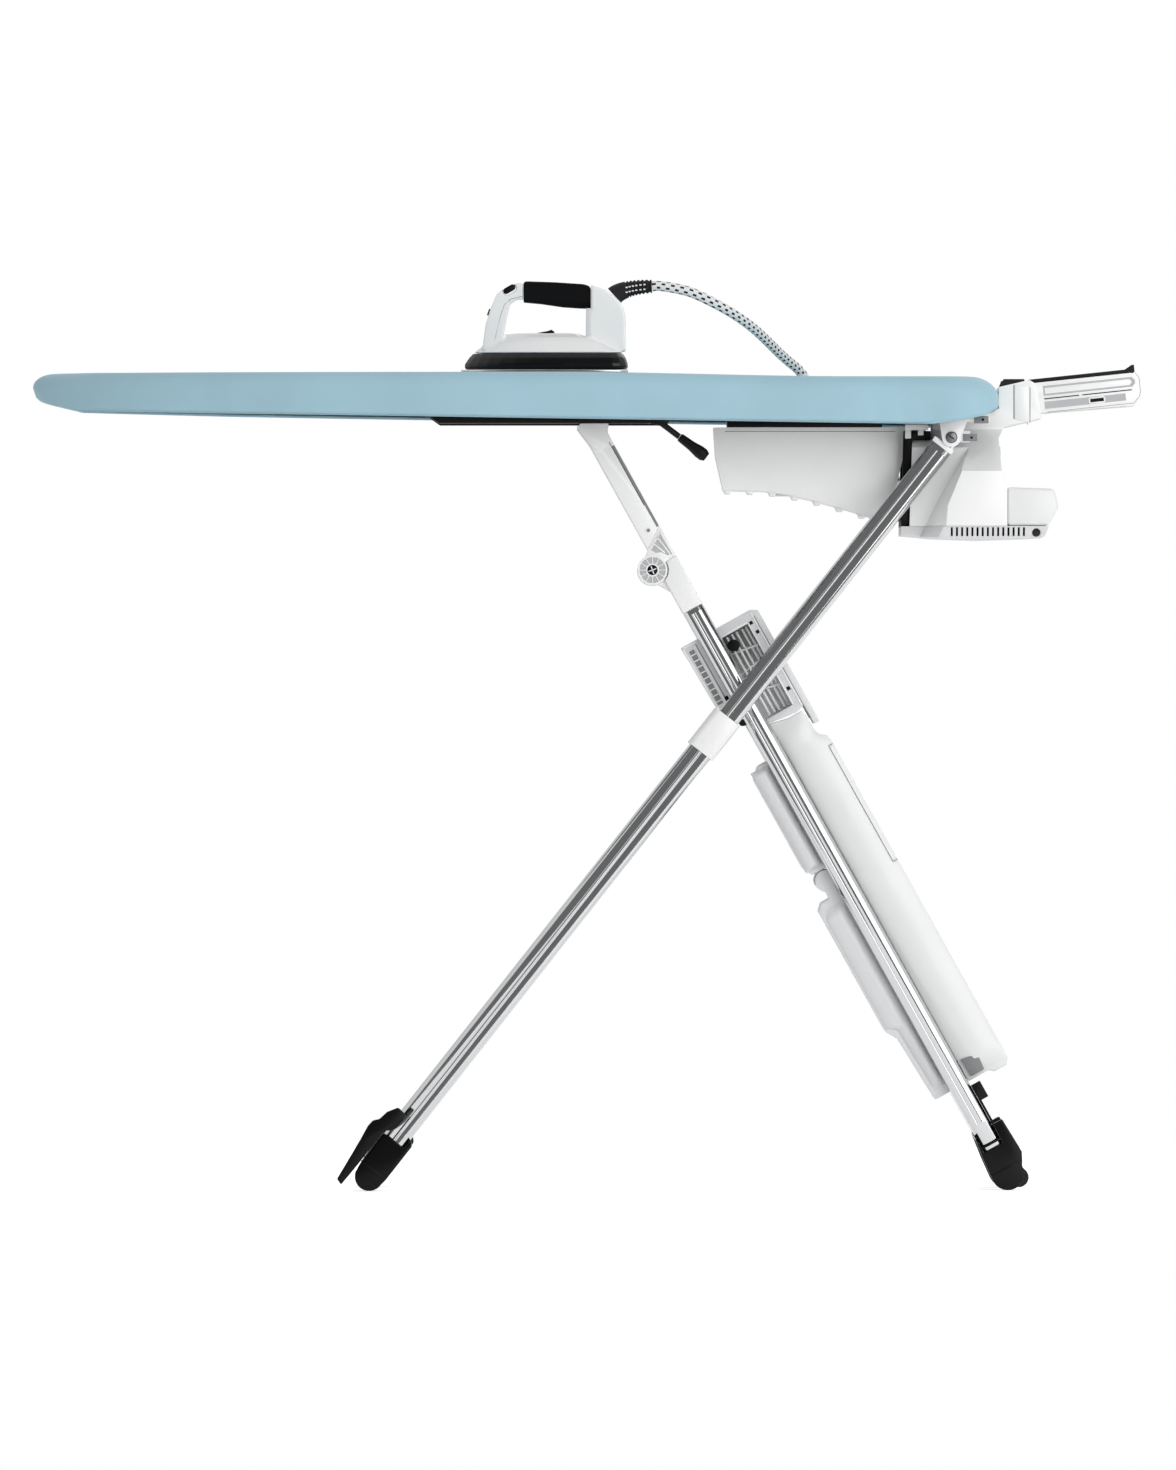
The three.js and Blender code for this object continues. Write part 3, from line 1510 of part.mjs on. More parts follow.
function wrapPlate() {
  const seat = rearTubeRight + 3 * seatGap + rearFootShell;
  const bottom = -rearLegLength - wrapPlateBelow;
  const outline = wrapPlateShares.map(([out, up]) => [
    -seat - out * wrapPlateDepth, bottom + up * wrapPlateLength,
  ]);
  const inner = rearTubeOffset + tubeWidth / 2 + seatGap;
  return slab(outline, spanBetween(nearSide, inner, inner + wrapPlateWidth));
}

function makeRearLeg(parent) {
  const leg = new THREE.Group();
  leg.position.set(legHinge.x, 0, legHinge.z);
  leg.rotation.y = rearLegAngle;
  parent.add(leg);
  for (const [label, side] of sides) {
    add(leg, `rear_tube_${label}`, rearTube(side), 'chrome');
    add(leg, `rear_sleeve_${label}`, rearSleeve(side), 'white');
  }
  add(leg, 'rear_foot_bar', rearFootBar(), 'black');
  add(leg, 'cord_wrap_plate', wrapPlate(), 'black');
}

// Carriage: a block in each rail with a fork below it that holds the support arm

function carriage(side) {
  const { x, z } = armHinge;
  const plateBottom = railBottom - seatGap - carriagePlate;
  const forkInner = tubeWidth / 2 + seatGap;
  const forkOuter = forkInner + carriagePlate;
  const across = span(side, frontTubeOffset, 2 * forkOuter);
  const block = box(
    [x - carriageBlockLength / 2, x + carriageBlockLength / 2],
    span(side, frontTubeOffset, railCavityWidth - 2 * seatGap),
    [railCavityFloor + seatGap, railCavityFloor + railCavityHeight - seatGap],
  );
  const neck = box(
    [x - carriageNeckLength / 2, x + carriageNeckLength / 2],
    span(side, frontTubeOffset, carriageNeckWidth),
    [plateBottom, railCavityFloor + railCavityHeight / 2],
  );
  const radius = armDepth / 2;
  const start = -frontLegAngle;
  const cheek = [
    [x - carriageTopLeft, railBottom - seatGap],
    [x - carriageTopLeft - 2 * carriagePlate, z + carriageCornerRise],
    ...arc([x, z], radius, Math.PI - start, 2 * Math.PI - start, 8),
    [x + carriageTopRight, z],
    [x + carriageTopRight, railBottom - seatGap],
  ];
  const plate = [
    [x - carriageTopLeft, plateBottom],
    [x + carriageTopRight, plateBottom],
    [x + carriageTopRight, railBottom - seatGap],
    [x - carriageTopLeft, railBottom - seatGap],
  ];
  const innerFace = frontTubeOffset - forkOuter;
  const outerFace = frontTubeOffset + forkOuter;
  return join(
    block,
    neck,
    slab(plate, across),
    slab(cheek, spanBetween(side, innerFace, innerFace + carriagePlate)),
    slab(cheek, spanBetween(side, outerFace - carriagePlate, outerFace)),
    bar(carriagePinRadius, across, x, z),
  );
}

function makeCarriage(parent) {
  for (const [label, side] of sides) {
    add(parent, `carriage_${label}`, carriage(side), 'white');
  }
}

// Support arm, drawn from its hinge: the arm and the ribbed knuckle of the knee

const armHalf = armDepth / 2;
const kneeInArm = [-kneeOffset, -kneeAlong];

function supportArm(side) {
  const outline = [
    ...arc([0, 0], armHalf, 0, Math.PI, 8),
    [-armHalf, -armEndAtLeft + seatGap],
    [armHalf, -armEndAtRight + seatGap],
  ];
  return cut(
    slab(outline, span(side, frontTubeOffset, tubeWidth)),
    bar(carriagePinRadius + turnGap, span(side, frontTubeOffset, 2 * tubeWidth)),
  );
}

function kneeKnuckle(side) {
  const [kx, kz] = kneeInArm;
  const gusset = [
    [armHalf, -armEndAtRight],
    [-armHalf, -armEndAtLeft],
    [-knuckleTipLeft, -knuckleTipAlong],
    [kx, kz],
    [armHalf - 2 * seatGap, -knuckleEnd],
    [armHalf, -knuckleEnd],
  ];
  const room = kneeDiscRadius + sleeveArcGap / 2;
  const full = span(side, frontTubeOffset, tubeWidth);
  const block = cut(
    slab(gusset, full),
    bar(room, span(side, frontTubeOffset, 2 * tubeWidth), kx, kz, 28),
  );
  const outer = frontTubeOffset + tubeWidth / 2;
  const inner = frontTubeOffset - tubeWidth / 2;
  const plates = [
    spanBetween(side, outer - kneeDiscWidth, outer),
    spanBetween(side, inner, inner + kneeDiscWidth),
  ].map((range) => join(
    bar(kneeDiscRadius, range, kx, kz, 28),
    slab(gusset, range),
  ));
  const pin = solid(bar(kneePinRadius, full, kx, kz));
  return plates.reduce((all, plate) => all.add(plate), block).add(pin);
}

function makeSupportArm(parent) {
  const arm = new THREE.Group();
  arm.position.set(armHinge.x, 0, armHinge.z);
  arm.rotation.y = -frontLegAngle;
  parent.add(arm);
  for (const [label, side] of sides) {
    add(arm, `arm_${label}`, supportArm(side), 'white');
    add(arm, `knee_knuckle_${label}`, kneeKnuckle(side), 'white');
  }
}

// Front leg, drawn from the scissor pivot: local -Z runs down the leg, local +X is its right side

const kneeInLeg = [-kneeOffset, armSpan - kneeAlong];
const webInShare = 0.13;
const webDownShare = 0.985;

function kneeSleeve(side) {
  const [kx, kz] = kneeInLeg;
  const half = sleeveDepth / 2;
  const radius = kneeDiscRadius + sleeveArcGap;
  const top = armSpan - knuckleEnd - seatGap;
  const meet = Math.acos((kneeOffset - half) / radius);
  const outline = [
    [half, top],
    [kx + radius, kz],
    ...arc([kx, kz], radius, 0, -meet, 6).slice(1),
    [-half, sleeveEnd],
    [half, sleeveEnd],
  ];
  const web = [
    [kx - webInShare * kneeDiscRadius, kz - webDownShare * kneeDiscRadius],
    [-half + seatGap, kz - kneeWebAlong],
    [0, kz - kneeWebAlong],
    [kx + radius + 2 * seatGap, kz],
    [kx, kz],
  ];
  const lugWidth = tubeWidth - 2 * kneeDiscWidth - 2 * turnGap;
  const lugSpan = span(side, frontTubeOffset, lugWidth);
  const lug = cut(
    join(
      bar(kneeDiscRadius, lugSpan, kx, kz, 28),
      slab(web, lugSpan),
    ),
    bar(kneePinRadius + turnGap, span(side, frontTubeOffset, 2 * tubeWidth), kx, kz),
  );
  return solid(slab(outline, span(side, frontTubeOffset, tubeWidth))).add(lug);
}

function frontTube(side) {
  const stop = frontLegLength - frontTubeStop;
  return shifted(tubeAlong(-sleeveEnd + seatGap, stop), side * frontTubeOffset);
}

const middleHalf = middleWidth / 2;
const middleSpan = [-middleHalf, middleHalf];
const down = (points) => points.map(([across, along]) => [across, -along]);

// The moulded crossing: a block on the left, an open box on the right, and its cover plate
function scissorBracket() {
  const plateOuter = bracketRightOuter + bracketPlate;
  const casingCornerRise = casingTopRise * ((bracketRightOuter - casingInner) / (casingOuter - casingInner));
  const outline = down([
    [-bracketLeft, -bracketStart],
    [bracketRightOuter, -bracketStart],
    [plateOuter, -bracketStart + bracketBase],
    [plateOuter, bracketPlateEnd],
    [bracketRightOuter + bracketPlate / 8, bracketPlateEnd],
    [bracketRightOuter + bracketPlate / 8, casingStart],
    [bracketRightInner, casingStart + casingCornerRise / 2 - 2 * seatGap],
    [casingInner, casingStart - 2 * seatGap],
    [casingInner, -bracketBase],
    [-bracketLeft + bracketBase, -bracketBase],
  ]);
  const window = down([
    [casingInner, -bracketStart + bracketTopWall],
    [bracketRightInner, -bracketStart + bracketTopWall],
    [bracketRightInner, casingStart - bracketTopWall / 2],
    [casingInner, casingStart - bracketTopWall / 2],
  ]);
  const pockets = sides.map(([, side]) => (
    slab(window, spanBetween(side, bracketWeb / 2, middleHalf + cutOverrun))
  ));
  return cut(slab(outline, middleSpan), ...pockets);
}

const casingShares = [
  [0, 0], [0.77, 0.02], [0.79, 0.06], [0.82, 0.08], [0.96, 0.09], [1, 0.105],
  [1, 0.985], [0.9, 1], [0.6, 1], [0.5, 0.99], [0, 0.99],
];

function legCasing() {
  const depth = casingOuter - casingInner;
  const length = casingEnd - casingStart;
  const outline = casingShares.map(([across, along]) => [
    casingInner + across * depth, casingStart + along * length,
  ]);
  const hollow = inset(outline, casingWall).map(([x, z]) => [
    x < casingInner + 2 * casingWall ? casingInner - cutOverrun : x, z,
  ]);
  return cut(
    slab(down(outline), middleSpan),
    slab(down(hollow), [-middleHalf + casingWall, middleHalf - casingWall]),
  );
}

// A shell of a side outline that stays open towards the casing
function openShell(outline) {
  const hollow = inset(outline, casingWall).map(([x, z]) => [
    x > coverInner - 2 * casingWall ? coverInner + cutOverrun : x, z,
  ]);
  return cut(
    slab(down(outline), middleSpan),
    slab(down(hollow), [-middleHalf + casingWall, middleHalf - casingWall]),
  );
}

function upperCover() {
  const corner = upperCoverDepth / 3;
  return openShell([
    [coverInner, upperCoverStart],
    [coverInner, upperCoverEnd],
    [-upperCoverDepth + corner / 2, upperCoverEnd],
    [-upperCoverDepth, upperCoverEnd - corner],
    [-upperCoverDepth, upperCoverStart + corner],
    [-upperCoverDepth + corner, upperCoverStart],
  ]);
}

function lowerCover() {
  const corner = lowerCoverDepth / 6;
  const shell = openShell([
    [coverInner, lowerCoverStart],
    [coverInner, lowerCoverEnd],
    [-lowerCoverSlimDepth, lowerCoverEnd],
    [-lowerCoverSlimDepth - corner / 2, lowerCoverRidgeEnd + 2 * corner],
    [-lowerCoverDepth, lowerCoverRidgeEnd],
    [-lowerCoverDepth, lowerCoverStart + corner],
    [-lowerCoverDepth + corner, lowerCoverStart],
  ]);
  const jointX = -tubeDepth / 2 - coverJointRadius / 2;
  const jointZ = -(upperCoverEnd + seatGap + coverJointRadius);
  const neck = box(
    [jointX - coverJointRadius / 2, jointX + coverJointRadius / 2],
    middleSpan,
    [-lowerCoverStart - casingWall, jointZ],
  );
  return shell.add(solid(neck)).add(solid(bar(coverJointRadius, middleSpan, jointX, jointZ, 20)));
}

function frontFootBar() {
  const centre = -frontLegLength;
  const half = tubeDepth / 2 + 2 * seatGap;
  const outline = [
    [half, centre + frontTubeStop - seatGap],
    [half, centre + frontFootFin - seatGap],
    [frontFootFinDepth * 0.85, centre + frontFootFin],
    [frontFootFinDepth, centre + frontFootFin - 2 * seatGap],
    [frontFootFinDepth * 1.07, centre + frontFootFin / 4],
    [frontFootFinDepth * 0.9, centre + frontFootFin / 10],
    ...arc([0, centre], frontFootRadius, 0, -Math.PI, 12),
    [-frontFootRadius * 0.87, centre + frontFootFin / 2],
    [-half, centre + frontFootProngLeft],
    [-half, centre + frontTubeStop - seatGap],
  ];
  const feet = sides.map(([, side]) => slab(outline, span(side, frontTubeOffset, frontFootWidth)));
  const cross = bar(frontCrossRadius, [-frontTubeOffset, frontTubeOffset], 0, centre + frontCrossRise);
  const axles = sides.flatMap(([, side]) => {
    const face = frontTubeOffset - frontFootWidth / 2;
    const wheelEnd = face - 2 * turnGap - wheelWidth - turnGap;
    const z = centre - wheelBeyondFoot;
    return [
      bar(wheelAxleRadius, spanBetween(side, wheelEnd - wheelCapHeight, face + turnGap), wheelRight, z),
      bar(wheelCapRadius, spanBetween(side, wheelEnd - wheelCapHeight, wheelEnd), wheelRight, z),
    ];
  });
  return join(...feet, cross, ...axles);
}

function wheel(side) {
  const face = frontTubeOffset - frontFootWidth / 2 - 2 * turnGap;
  const z = -frontLegLength - wheelBeyondFoot;
  return cut(
    bar(wheelRadius, spanBetween(side, face - wheelWidth, face), wheelRight, z, 24),
    bar(wheelAxleRadius + turnGap, spanBetween(side, 0, frontTubeOffset), wheelRight, z),
  );
}

function legCatch() {
  const seat = tubeDepth / 2 + seatGap;
  const top = -frontLegLength + catchFromFoot + catchLength;
  const outline = [
    [seat, top],
    [seat + catchDepth, top],
    [seat + catchDepth, top - catchLength],
    [seat + catchStripDepth, top - catchLength],
    [seat + catchStripDepth, top - catchLength - catchStripLength],
    [seat, top - catchLength - catchStripLength],
  ];
  return slab(outline, span(nearSide, frontTubeOffset, catchWidth));
}

function makeFrontLeg(parent) {
  const leg = new THREE.Group();
  leg.position.set(pivot.x, 0, pivot.z);
  leg.rotation.y = -frontLegAngle;
  parent.add(leg);
  for (const [label, side] of sides) {
    add(leg, `knee_sleeve_${label}`, kneeSleeve(side), 'white');
    add(leg, `front_tube_${label}`, frontTube(side), 'chrome');
    add(leg, `wheel_${label}`, wheel(side), 'rubber');
  }
  add(leg, 'scissor_bracket', scissorBracket(), 'shade');
  add(leg, 'leg_casing', legCasing(), 'white');
  add(leg, 'upper_cover', upperCover(), 'shade');
  add(leg, 'lower_cover', lowerCover(), 'shade');
  add(leg, 'front_foot_bar', frontFootBar(), 'black');
  add(leg, 'leg_catch', legCatch(), 'steel');
}

// Steam iron, standing flat on the board with its tip towards the nose

const ironX = noseX + ironFromNose;
const soleBottom = boardHeight + seatGap;
const shieldBottom = soleBottom + soleThickness + seatGap;
const domeBottom = shieldBottom + shieldHeight + seatGap;
const gripRadius = gripWidth / 2;

// The iron's plan: a pointed tip and a flat heel with round corners
function ironPlan() {
  const half = ironWidth / 2;
  const side = new THREE.CubicBezierCurve(
    new THREE.Vector2(ironX, 0),
    new THREE.Vector2(ironX + ironLength * 0.06, half * 0.5),
    new THREE.Vector2(ironX + ironLength * 0.3, half),
    new THREE.Vector2(ironX + ironLength * 0.62, half),
  ).getPoints(8).map((p) => [p.x, p.y]);
  const corner = arc([ironX + ironLength - half / 3, half - half / 3], half / 3, Math.PI / 2, 0, 3);
  const far = [...side, ...corner];
  return [...far, ...far.slice(1).reverse().map(([x, y]) => [x, -y])];
}

// The plan drawn in by a distance at the tip, the heel and the sides, at a height
function ironRing([tipIn, heelIn, sideIn], z) {
  const alongShare = 1 - (tipIn + heelIn) / ironLength;
  const acrossShare = 1 - (2 * sideIn) / ironWidth;
  return ironPlan().map(([x, y]) => [
    ironX + tipIn + (x - ironX) * alongShare, y * acrossShare, z,
  ]);
}

// Rings given as a height share and what the plan is drawn in by at each level
function ironLoft(levels, base, height) {
  return loft(levels.map(([share, drawnIn]) => ironRing(drawnIn, base + share * height)));
}

// A side outline given as shares of the iron's length and height
function ironSide(shares) {
  return shares.map(([along, up]) => [ironX + along * ironLength, soleBottom + up * ironHeight]);
}

// Height shares, and the millimetres drawn in at the tip, the heel and the sides
const soleLevels = [[0, [-2.5, 1, 1]], [0.4, [-4.4, 0, 0]], [1, [-4.4, 0.5, 0.5]]];
const shieldLevels = [
  [0, [2, 3, 2]], [0.14, [0, 0.2, 0]], [0.36, [0.8, 0.8, 0.5]], [0.7, [5.5, 3, 3]], [1, [11, 7, 8]],
];
const domeLevels = [
  [0, [11, 7, 8]], [0.28, [20, 24, 14]], [0.55, [30, 38, 20]], [0.8, [43, 50, 27]],
  [0.94, [52, 60, 34]], [1, [66, 72, 40]],
];
const postShares = [
  [0.11, 0.26], [0.13, 0.52], [0.16, 0.7], [0.2, 0.86], [0.25, 0.93], [0.3, 0.97],
  [0.36, 0.98], [0.36, 0.8], [0.32, 0.8], [0.28, 0.75], [0.26, 0.6], [0.24, 0.41], [0.24, 0.26],
];
const columnShares = [
  [0.748, 0.26], [0.757, 0.66], [0.774, 0.67], [0.774, 0.96], [0.857, 0.91], [0.915, 0.84], [0.95, 0.77], [0.975, 0.69],
  [0.985, 0.6], [0.985, 0.24],
];
const gripOutlineShares = [
  [0, -0.03], [0, 0.9], [0.03, 0.99], [0.47, 0.94], [0.89, 0.85], [0.97, 0.77], [1, 0.64],
  [1, -0.33], [0.82, -0.315], [0.58, -0.26], [0.27, -0.11],
];

function ironBody() {
  const dome = ironLoft(domeLevels, domeBottom, domeHeight);
  return join(
    dome,
    slab(ironSide(postShares), [-postWidth / 2, postWidth / 2]),
    slab(ironSide(columnShares), [-columnWidth / 2, columnWidth / 2]),
  );
}

function ironGrip() {
  const start = ironX + 0.36 * ironLength + seatGap;
  const end = ironX + 0.774 * ironLength - seatGap;
  const bottom = soleBottom + 0.775 * ironHeight;
  const outline = gripOutlineShares.map(([along, up]) => [
    start + along * (end - start), bottom + up * gripDepthFront,
  ]);
  const section = roundedRect(gripWidth, gripDepthRear + gripDepthFront / 4, gripWidth / 3);
  const middle = bottom + gripDepthFront / 2 - (gripDepthRear - gripDepthFront) / 2;
  const oval = section.map(([y, z]) => [y, z + middle]);
  return overlap(
    slab(outline, [-gripRadius, gripRadius]),
    crossBlock(oval, [start - cutOverrun, end + cutOverrun]),
  );
}

// A round button set into a wall: its middle, the way it faces, and how far it stands out
function ironButton([alongShare, upShare], facing, proud = ironButtonProud) {
  const [[x, z]] = ironSide([[alongShare, upShare]]);
  const button = new THREE.CylinderGeometry(ironButtonRadius, ironButtonRadius, ironButtonHeight, 12);
  const angle = THREE.MathUtils.degToRad(facing);
  const out = proud - ironButtonHeight / 2;
  return button.rotateX(Math.PI / 2).rotateY(angle)
    .translate(x + out * Math.sin(angle), 0, z + out * Math.cos(angle));
}

const frontButtonShares = [0.152, 0.664];
const frontButtonFacing = -70;
const ovalShares = [0.275, 0.912];

// The oval button's side outline, which may be drawn out along the way it is pressed
function ovalOutline(grow, pressedOut) {
  const radius = ovalHeight / 2 + grow;
  const half = ovalLength / 2 - ovalHeight / 2;
  const [[x, z]] = ironSide([ovalShares]);
  const tilt = THREE.MathUtils.degToRad(ovalTiltDegrees);
  const turned = [
    ...arc([half, 0], radius, -Math.PI / 2, Math.PI / 2, 5),
    ...arc([-half, 0], radius, Math.PI / 2, 1.5 * Math.PI, 5),
  ].map(([a, b]) => [a, b < 0 ? b - pressedOut : b]);
  return turned.map(([a, b]) => [
    x + a * Math.cos(tilt) - b * Math.sin(tilt),
    z + a * Math.sin(tilt) + b * Math.cos(tilt),
  ]);
}

function makeIron(parent) {
  const wellOf = (shares, facing) => {
    const scale = (ironButtonRadius + turnGap) / ironButtonRadius;
    const [[x, z]] = ironSide([shares]);
    const angle = THREE.MathUtils.degToRad(facing);
    const depth = ironButtonHeight + ironButtonRadius;
    const tool = new THREE.CylinderGeometry(
      ironButtonRadius * scale, ironButtonRadius * scale, 2 * depth, 12,
    );
    const out = ironButtonProud - ironButtonHeight - ironButtonTravel - turnGap + depth;
    return tool.rotateX(Math.PI / 2).rotateY(angle)
      .translate(x + out * Math.sin(angle), 0, z + out * Math.cos(angle));
  };
  const body = cut(
    ironBody(),
    slab(ovalOutline(turnGap, ovalTravel), [-postWidth, postWidth]),
    wellOf(frontButtonShares, frontButtonFacing),
    sliderSlot(),
  );
  add(parent, 'iron_body', body, 'white');
  add(parent, 'iron_grip', ironGrip(), 'black');
  add(parent, 'heat_shield', ironLoft(shieldLevels, shieldBottom, shieldHeight), 'black');
  add(parent, 'soleplate', ironLoft(soleLevels, soleBottom, soleThickness), 'chrome');
  const ovalHalf = postWidth / 2 + ironButtonProud / 2;
  add(parent, 'steam_button', slab(ovalOutline(0, 0), [-ovalHalf, ovalHalf]), 'black');
  add(parent, 'front_button', ironButton(frontButtonShares, frontButtonFacing), 'black');
  add(parent, 'steam_slider', steamSlider(), 'black');
  add(parent, 'hose_relief', hoseRelief(), 'black');
}

const sliderX = ironX + 0.5 * ironLength;
const domeTop = domeBottom + domeHeight;
const sliderSink = 3;
const sliderTravel = 12;

function sliderSlot() {
  const half = sliderLength / 2 + turnGap;
  const width = sliderWidth / 2 + turnGap;
  return box(
    [sliderX - half, sliderX + half + sliderTravel],
    [-width, width],
    [domeTop - sliderSink - seatGap, domeTop + cutOverrun],
  );
}

function steamSlider() {
  const half = sliderLength / 2;
  const base = domeTop - sliderSink;
  const top = domeTop + sliderHeight;
  const outline = [
    [sliderX - half, base],
    [sliderX + half, base],
    [sliderX + half, top],
    [sliderX + half / 2, top],
    [sliderX, domeTop + seatGap],
    [sliderX - half, domeTop + seatGap],
  ];
  return slab(outline, [-sliderWidth / 2, sliderWidth / 2]);
}

// Hose: the relief on the iron's column, and the free hose to the generator's far cheek

const reliefStart = ironSide([[0.915, 0.84]])[0];
const reliefBend = 22;
const reliefEnd = [reliefStart[0] + reliefLength, reliefStart[1] + reliefRise];

function hoseRelief() {
  const path = new THREE.QuadraticBezierCurve3(
    new THREE.Vector3(reliefStart[0] + 3 * seatGap, 0, reliefStart[1] + 3 * seatGap),
    new THREE.Vector3(reliefStart[0] + reliefBend / 2, 0, reliefEnd[1] - hoseDiameter / 8),
    new THREE.Vector3(reliefEnd[0], 0, reliefEnd[1]),
  );
  const steps = 5;
  const rings = Array.from({ length: steps + 1 }, (_, i) => {
    const at = path.getPoint(i / steps);
    const along = path.getTangent(i / steps);
    const across = new THREE.Vector3(0, 1, 0);
    const up = new THREE.Vector3().crossVectors(along, across);
    const radius = reliefRadius - (reliefRadius - reliefEndRadius) * (i / steps);
    return arc([0, 0], radius, 0, 2 * Math.PI, 12).slice(0, -1).map(([a, b]) => {
      const p = at.clone().addScaledVector(across, a).addScaledVector(up, b);
      return [p.x, p.y, p.z];
    });
  });
  return loft(rings);
}

// The hose's route, chosen by hand: out of the relief, over the far edge, down behind the board
// in a slack bend and forward into the gland
const hoseRoute = [
  [104, 0.4, 1126.3], [128, 3, 1121], [152, 10, 1110.5], [176, 26, 1098],
  [197, 52, 1085], [214, 83, 1072], [229, 117, 1058.5], [243, 151, 1045.5],
  [255, 178, 1035.5], [267, 201, 1025.5], [278, 216.5, 1010], [289, 223, 990],
  [301, 225, 967], [315, 225, 944], [332, 223.5, 921.5], [354, 219, 901.5],
  [381, 212, 889], [409, 203, 883.5], [435, 195, 883.5],
];

function steamHose() {
  const start = new THREE.Vector3(reliefEnd[0] + seatGap, 0, reliefEnd[1]);
  const end = new THREE.Vector3(hoseGland.x - hoseNozzleLength - seatGap, hoseGlandY, hoseGland.z);
  const curve = new THREE.CatmullRomCurve3([
    start,
    start.clone().add(new THREE.Vector3(hoseDiameter / 2, 0, hoseDiameter / 24)),
    ...hoseRoute.map((p) => new THREE.Vector3(...p)),
    end.clone().add(new THREE.Vector3(-hoseDiameter, 0, 0)),
    end,
  ]);
  const section = new THREE.Shape(
    arc([0, 0], hoseDiameter / 2, 0, 2 * Math.PI, hoseSides).slice(0, -1)
      .map(([a, b]) => new THREE.Vector2(a, b)),
  );
  return new THREE.ExtrudeGeometry(section, { steps: hoseSteps, extrudePath: curve, bevelEnabled: false });
}

const table = new THREE.Group();
makeBoard(table);
makeRails(table);
makeLever(table);
makeRearHinges(table);
makeBlower(table);
makeGenerator(table);
makeRest(table);
makeRearLeg(table);
makeCarriage(table);
makeSupportArm(table);
makeFrontLeg(table);
makeIron(table);
add(table, 'steam_hose', steamHose(), 'braid');

export default table;
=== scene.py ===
"""Looks of a folding ironing table with a suction board, a steam generator and a steam iron.

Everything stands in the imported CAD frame, in metres: +X from the board's nose to the iron rest,
+Y away from the user, +Z up, with the origin on the floor. Near means the user's side, -Y.
"""

import logging
import math
from collections.abc import Callable, Iterable, Sequence
from dataclasses import dataclass
from enum import Enum
from functools import cached_property

import bmesh
import bpy
import numpy as np
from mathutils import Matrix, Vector


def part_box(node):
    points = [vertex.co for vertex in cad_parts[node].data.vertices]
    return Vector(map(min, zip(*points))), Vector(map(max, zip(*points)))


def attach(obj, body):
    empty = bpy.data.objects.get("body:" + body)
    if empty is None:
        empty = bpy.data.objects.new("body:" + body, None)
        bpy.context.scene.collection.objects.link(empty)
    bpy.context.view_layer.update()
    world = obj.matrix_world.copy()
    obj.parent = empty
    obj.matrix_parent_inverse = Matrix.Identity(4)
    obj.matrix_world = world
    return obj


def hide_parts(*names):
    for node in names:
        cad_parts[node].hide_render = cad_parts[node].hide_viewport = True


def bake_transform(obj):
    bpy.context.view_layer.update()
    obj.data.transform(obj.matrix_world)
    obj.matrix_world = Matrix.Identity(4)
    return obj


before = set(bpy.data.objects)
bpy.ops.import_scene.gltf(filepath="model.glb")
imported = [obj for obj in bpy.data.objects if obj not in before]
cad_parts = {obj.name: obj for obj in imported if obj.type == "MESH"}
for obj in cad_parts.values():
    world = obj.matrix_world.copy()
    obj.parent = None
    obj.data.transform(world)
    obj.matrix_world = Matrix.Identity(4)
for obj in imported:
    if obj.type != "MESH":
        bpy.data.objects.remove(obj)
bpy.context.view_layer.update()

log = logging.getLogger("ironing_table")
MM = 0.001
NEAR = -1
FAR = 1
SIDES = (NEAR, FAR)
Point = Sequence[float]
Places = Sequence[Point]
Face = Sequence[int]

# How far a raised shape starts inside its face, and the distance under which points merge
ROOT = 0.5 * MM
WELD = 0.01 * MM

# Sizes that the fine detail shares
RIB_WIDTH = 1.8 * MM
RIB_RISE = 1.0 * MM
RIB_RADII = 0.2 * MM
FLOOR_RISE = 0.15 * MM
SLOT_RISE = 0.12 * MM


class Slot(Enum):
    """The record's material slots."""

    WHITE = "white_plastic"
    GREY = "grey_plastic"
    BLACK = "black_plastic"
    RUBBER = "rubber"
    CHROME = "chrome"
    STEEL = "steel"
    FABRIC = "cover_fabric"
    FOAM = "foam"
    BRAID = "hose_braid"


class Grain(Enum):
    """Which way a finish's fine marks run."""

    ALL_ROUND = (1.0, 1.0, 1.0)
    ALONG_X = (0.06, 1.0, 1.0)
    ALONG_Z = (1.0, 1.0, 0.03)


def linear(hex_colour: str) -> tuple[float, float, float, float]:
    """Turns an sRGB hex colour into a linear one.

    Args:
        hex_colour: Six hex digits, with or without a leading #.

    Returns:
        Linear red, green, blue and an alpha of one.
    """
    digits = hex_colour.lstrip("#")
    shares = [int(digits[at : at + 2], 16) / 255 for at in (0, 2, 4)]
    curve = [s / 12.92 if s <= 0.04045 else ((s + 0.055) / 1.055) ** 2.4 for s in shares]
    return (*curve, 1.0)


def add_node(tree: bpy.types.NodeTree, kind: str, inputs: dict | None = None, **settings) -> bpy.types.Node:
    """Adds one node with its settings, input values and links.

    Args:
        tree: The node tree that gets the node.
        kind: Blender's name of the node type.
        inputs: Values or output sockets by the input's name or number.
        **settings: Properties of the node itself.

    Returns:
        The new node.
    """
    made = tree.nodes.new(kind)
    for name, value in settings.items():
        setattr(made, name, value)
    for key, value in (inputs or {}).items():
        if isinstance(value, bpy.types.NodeSocket):
            tree.links.new(value, made.inputs[key])
        else:
            made.inputs[key].default_value = value
    return made


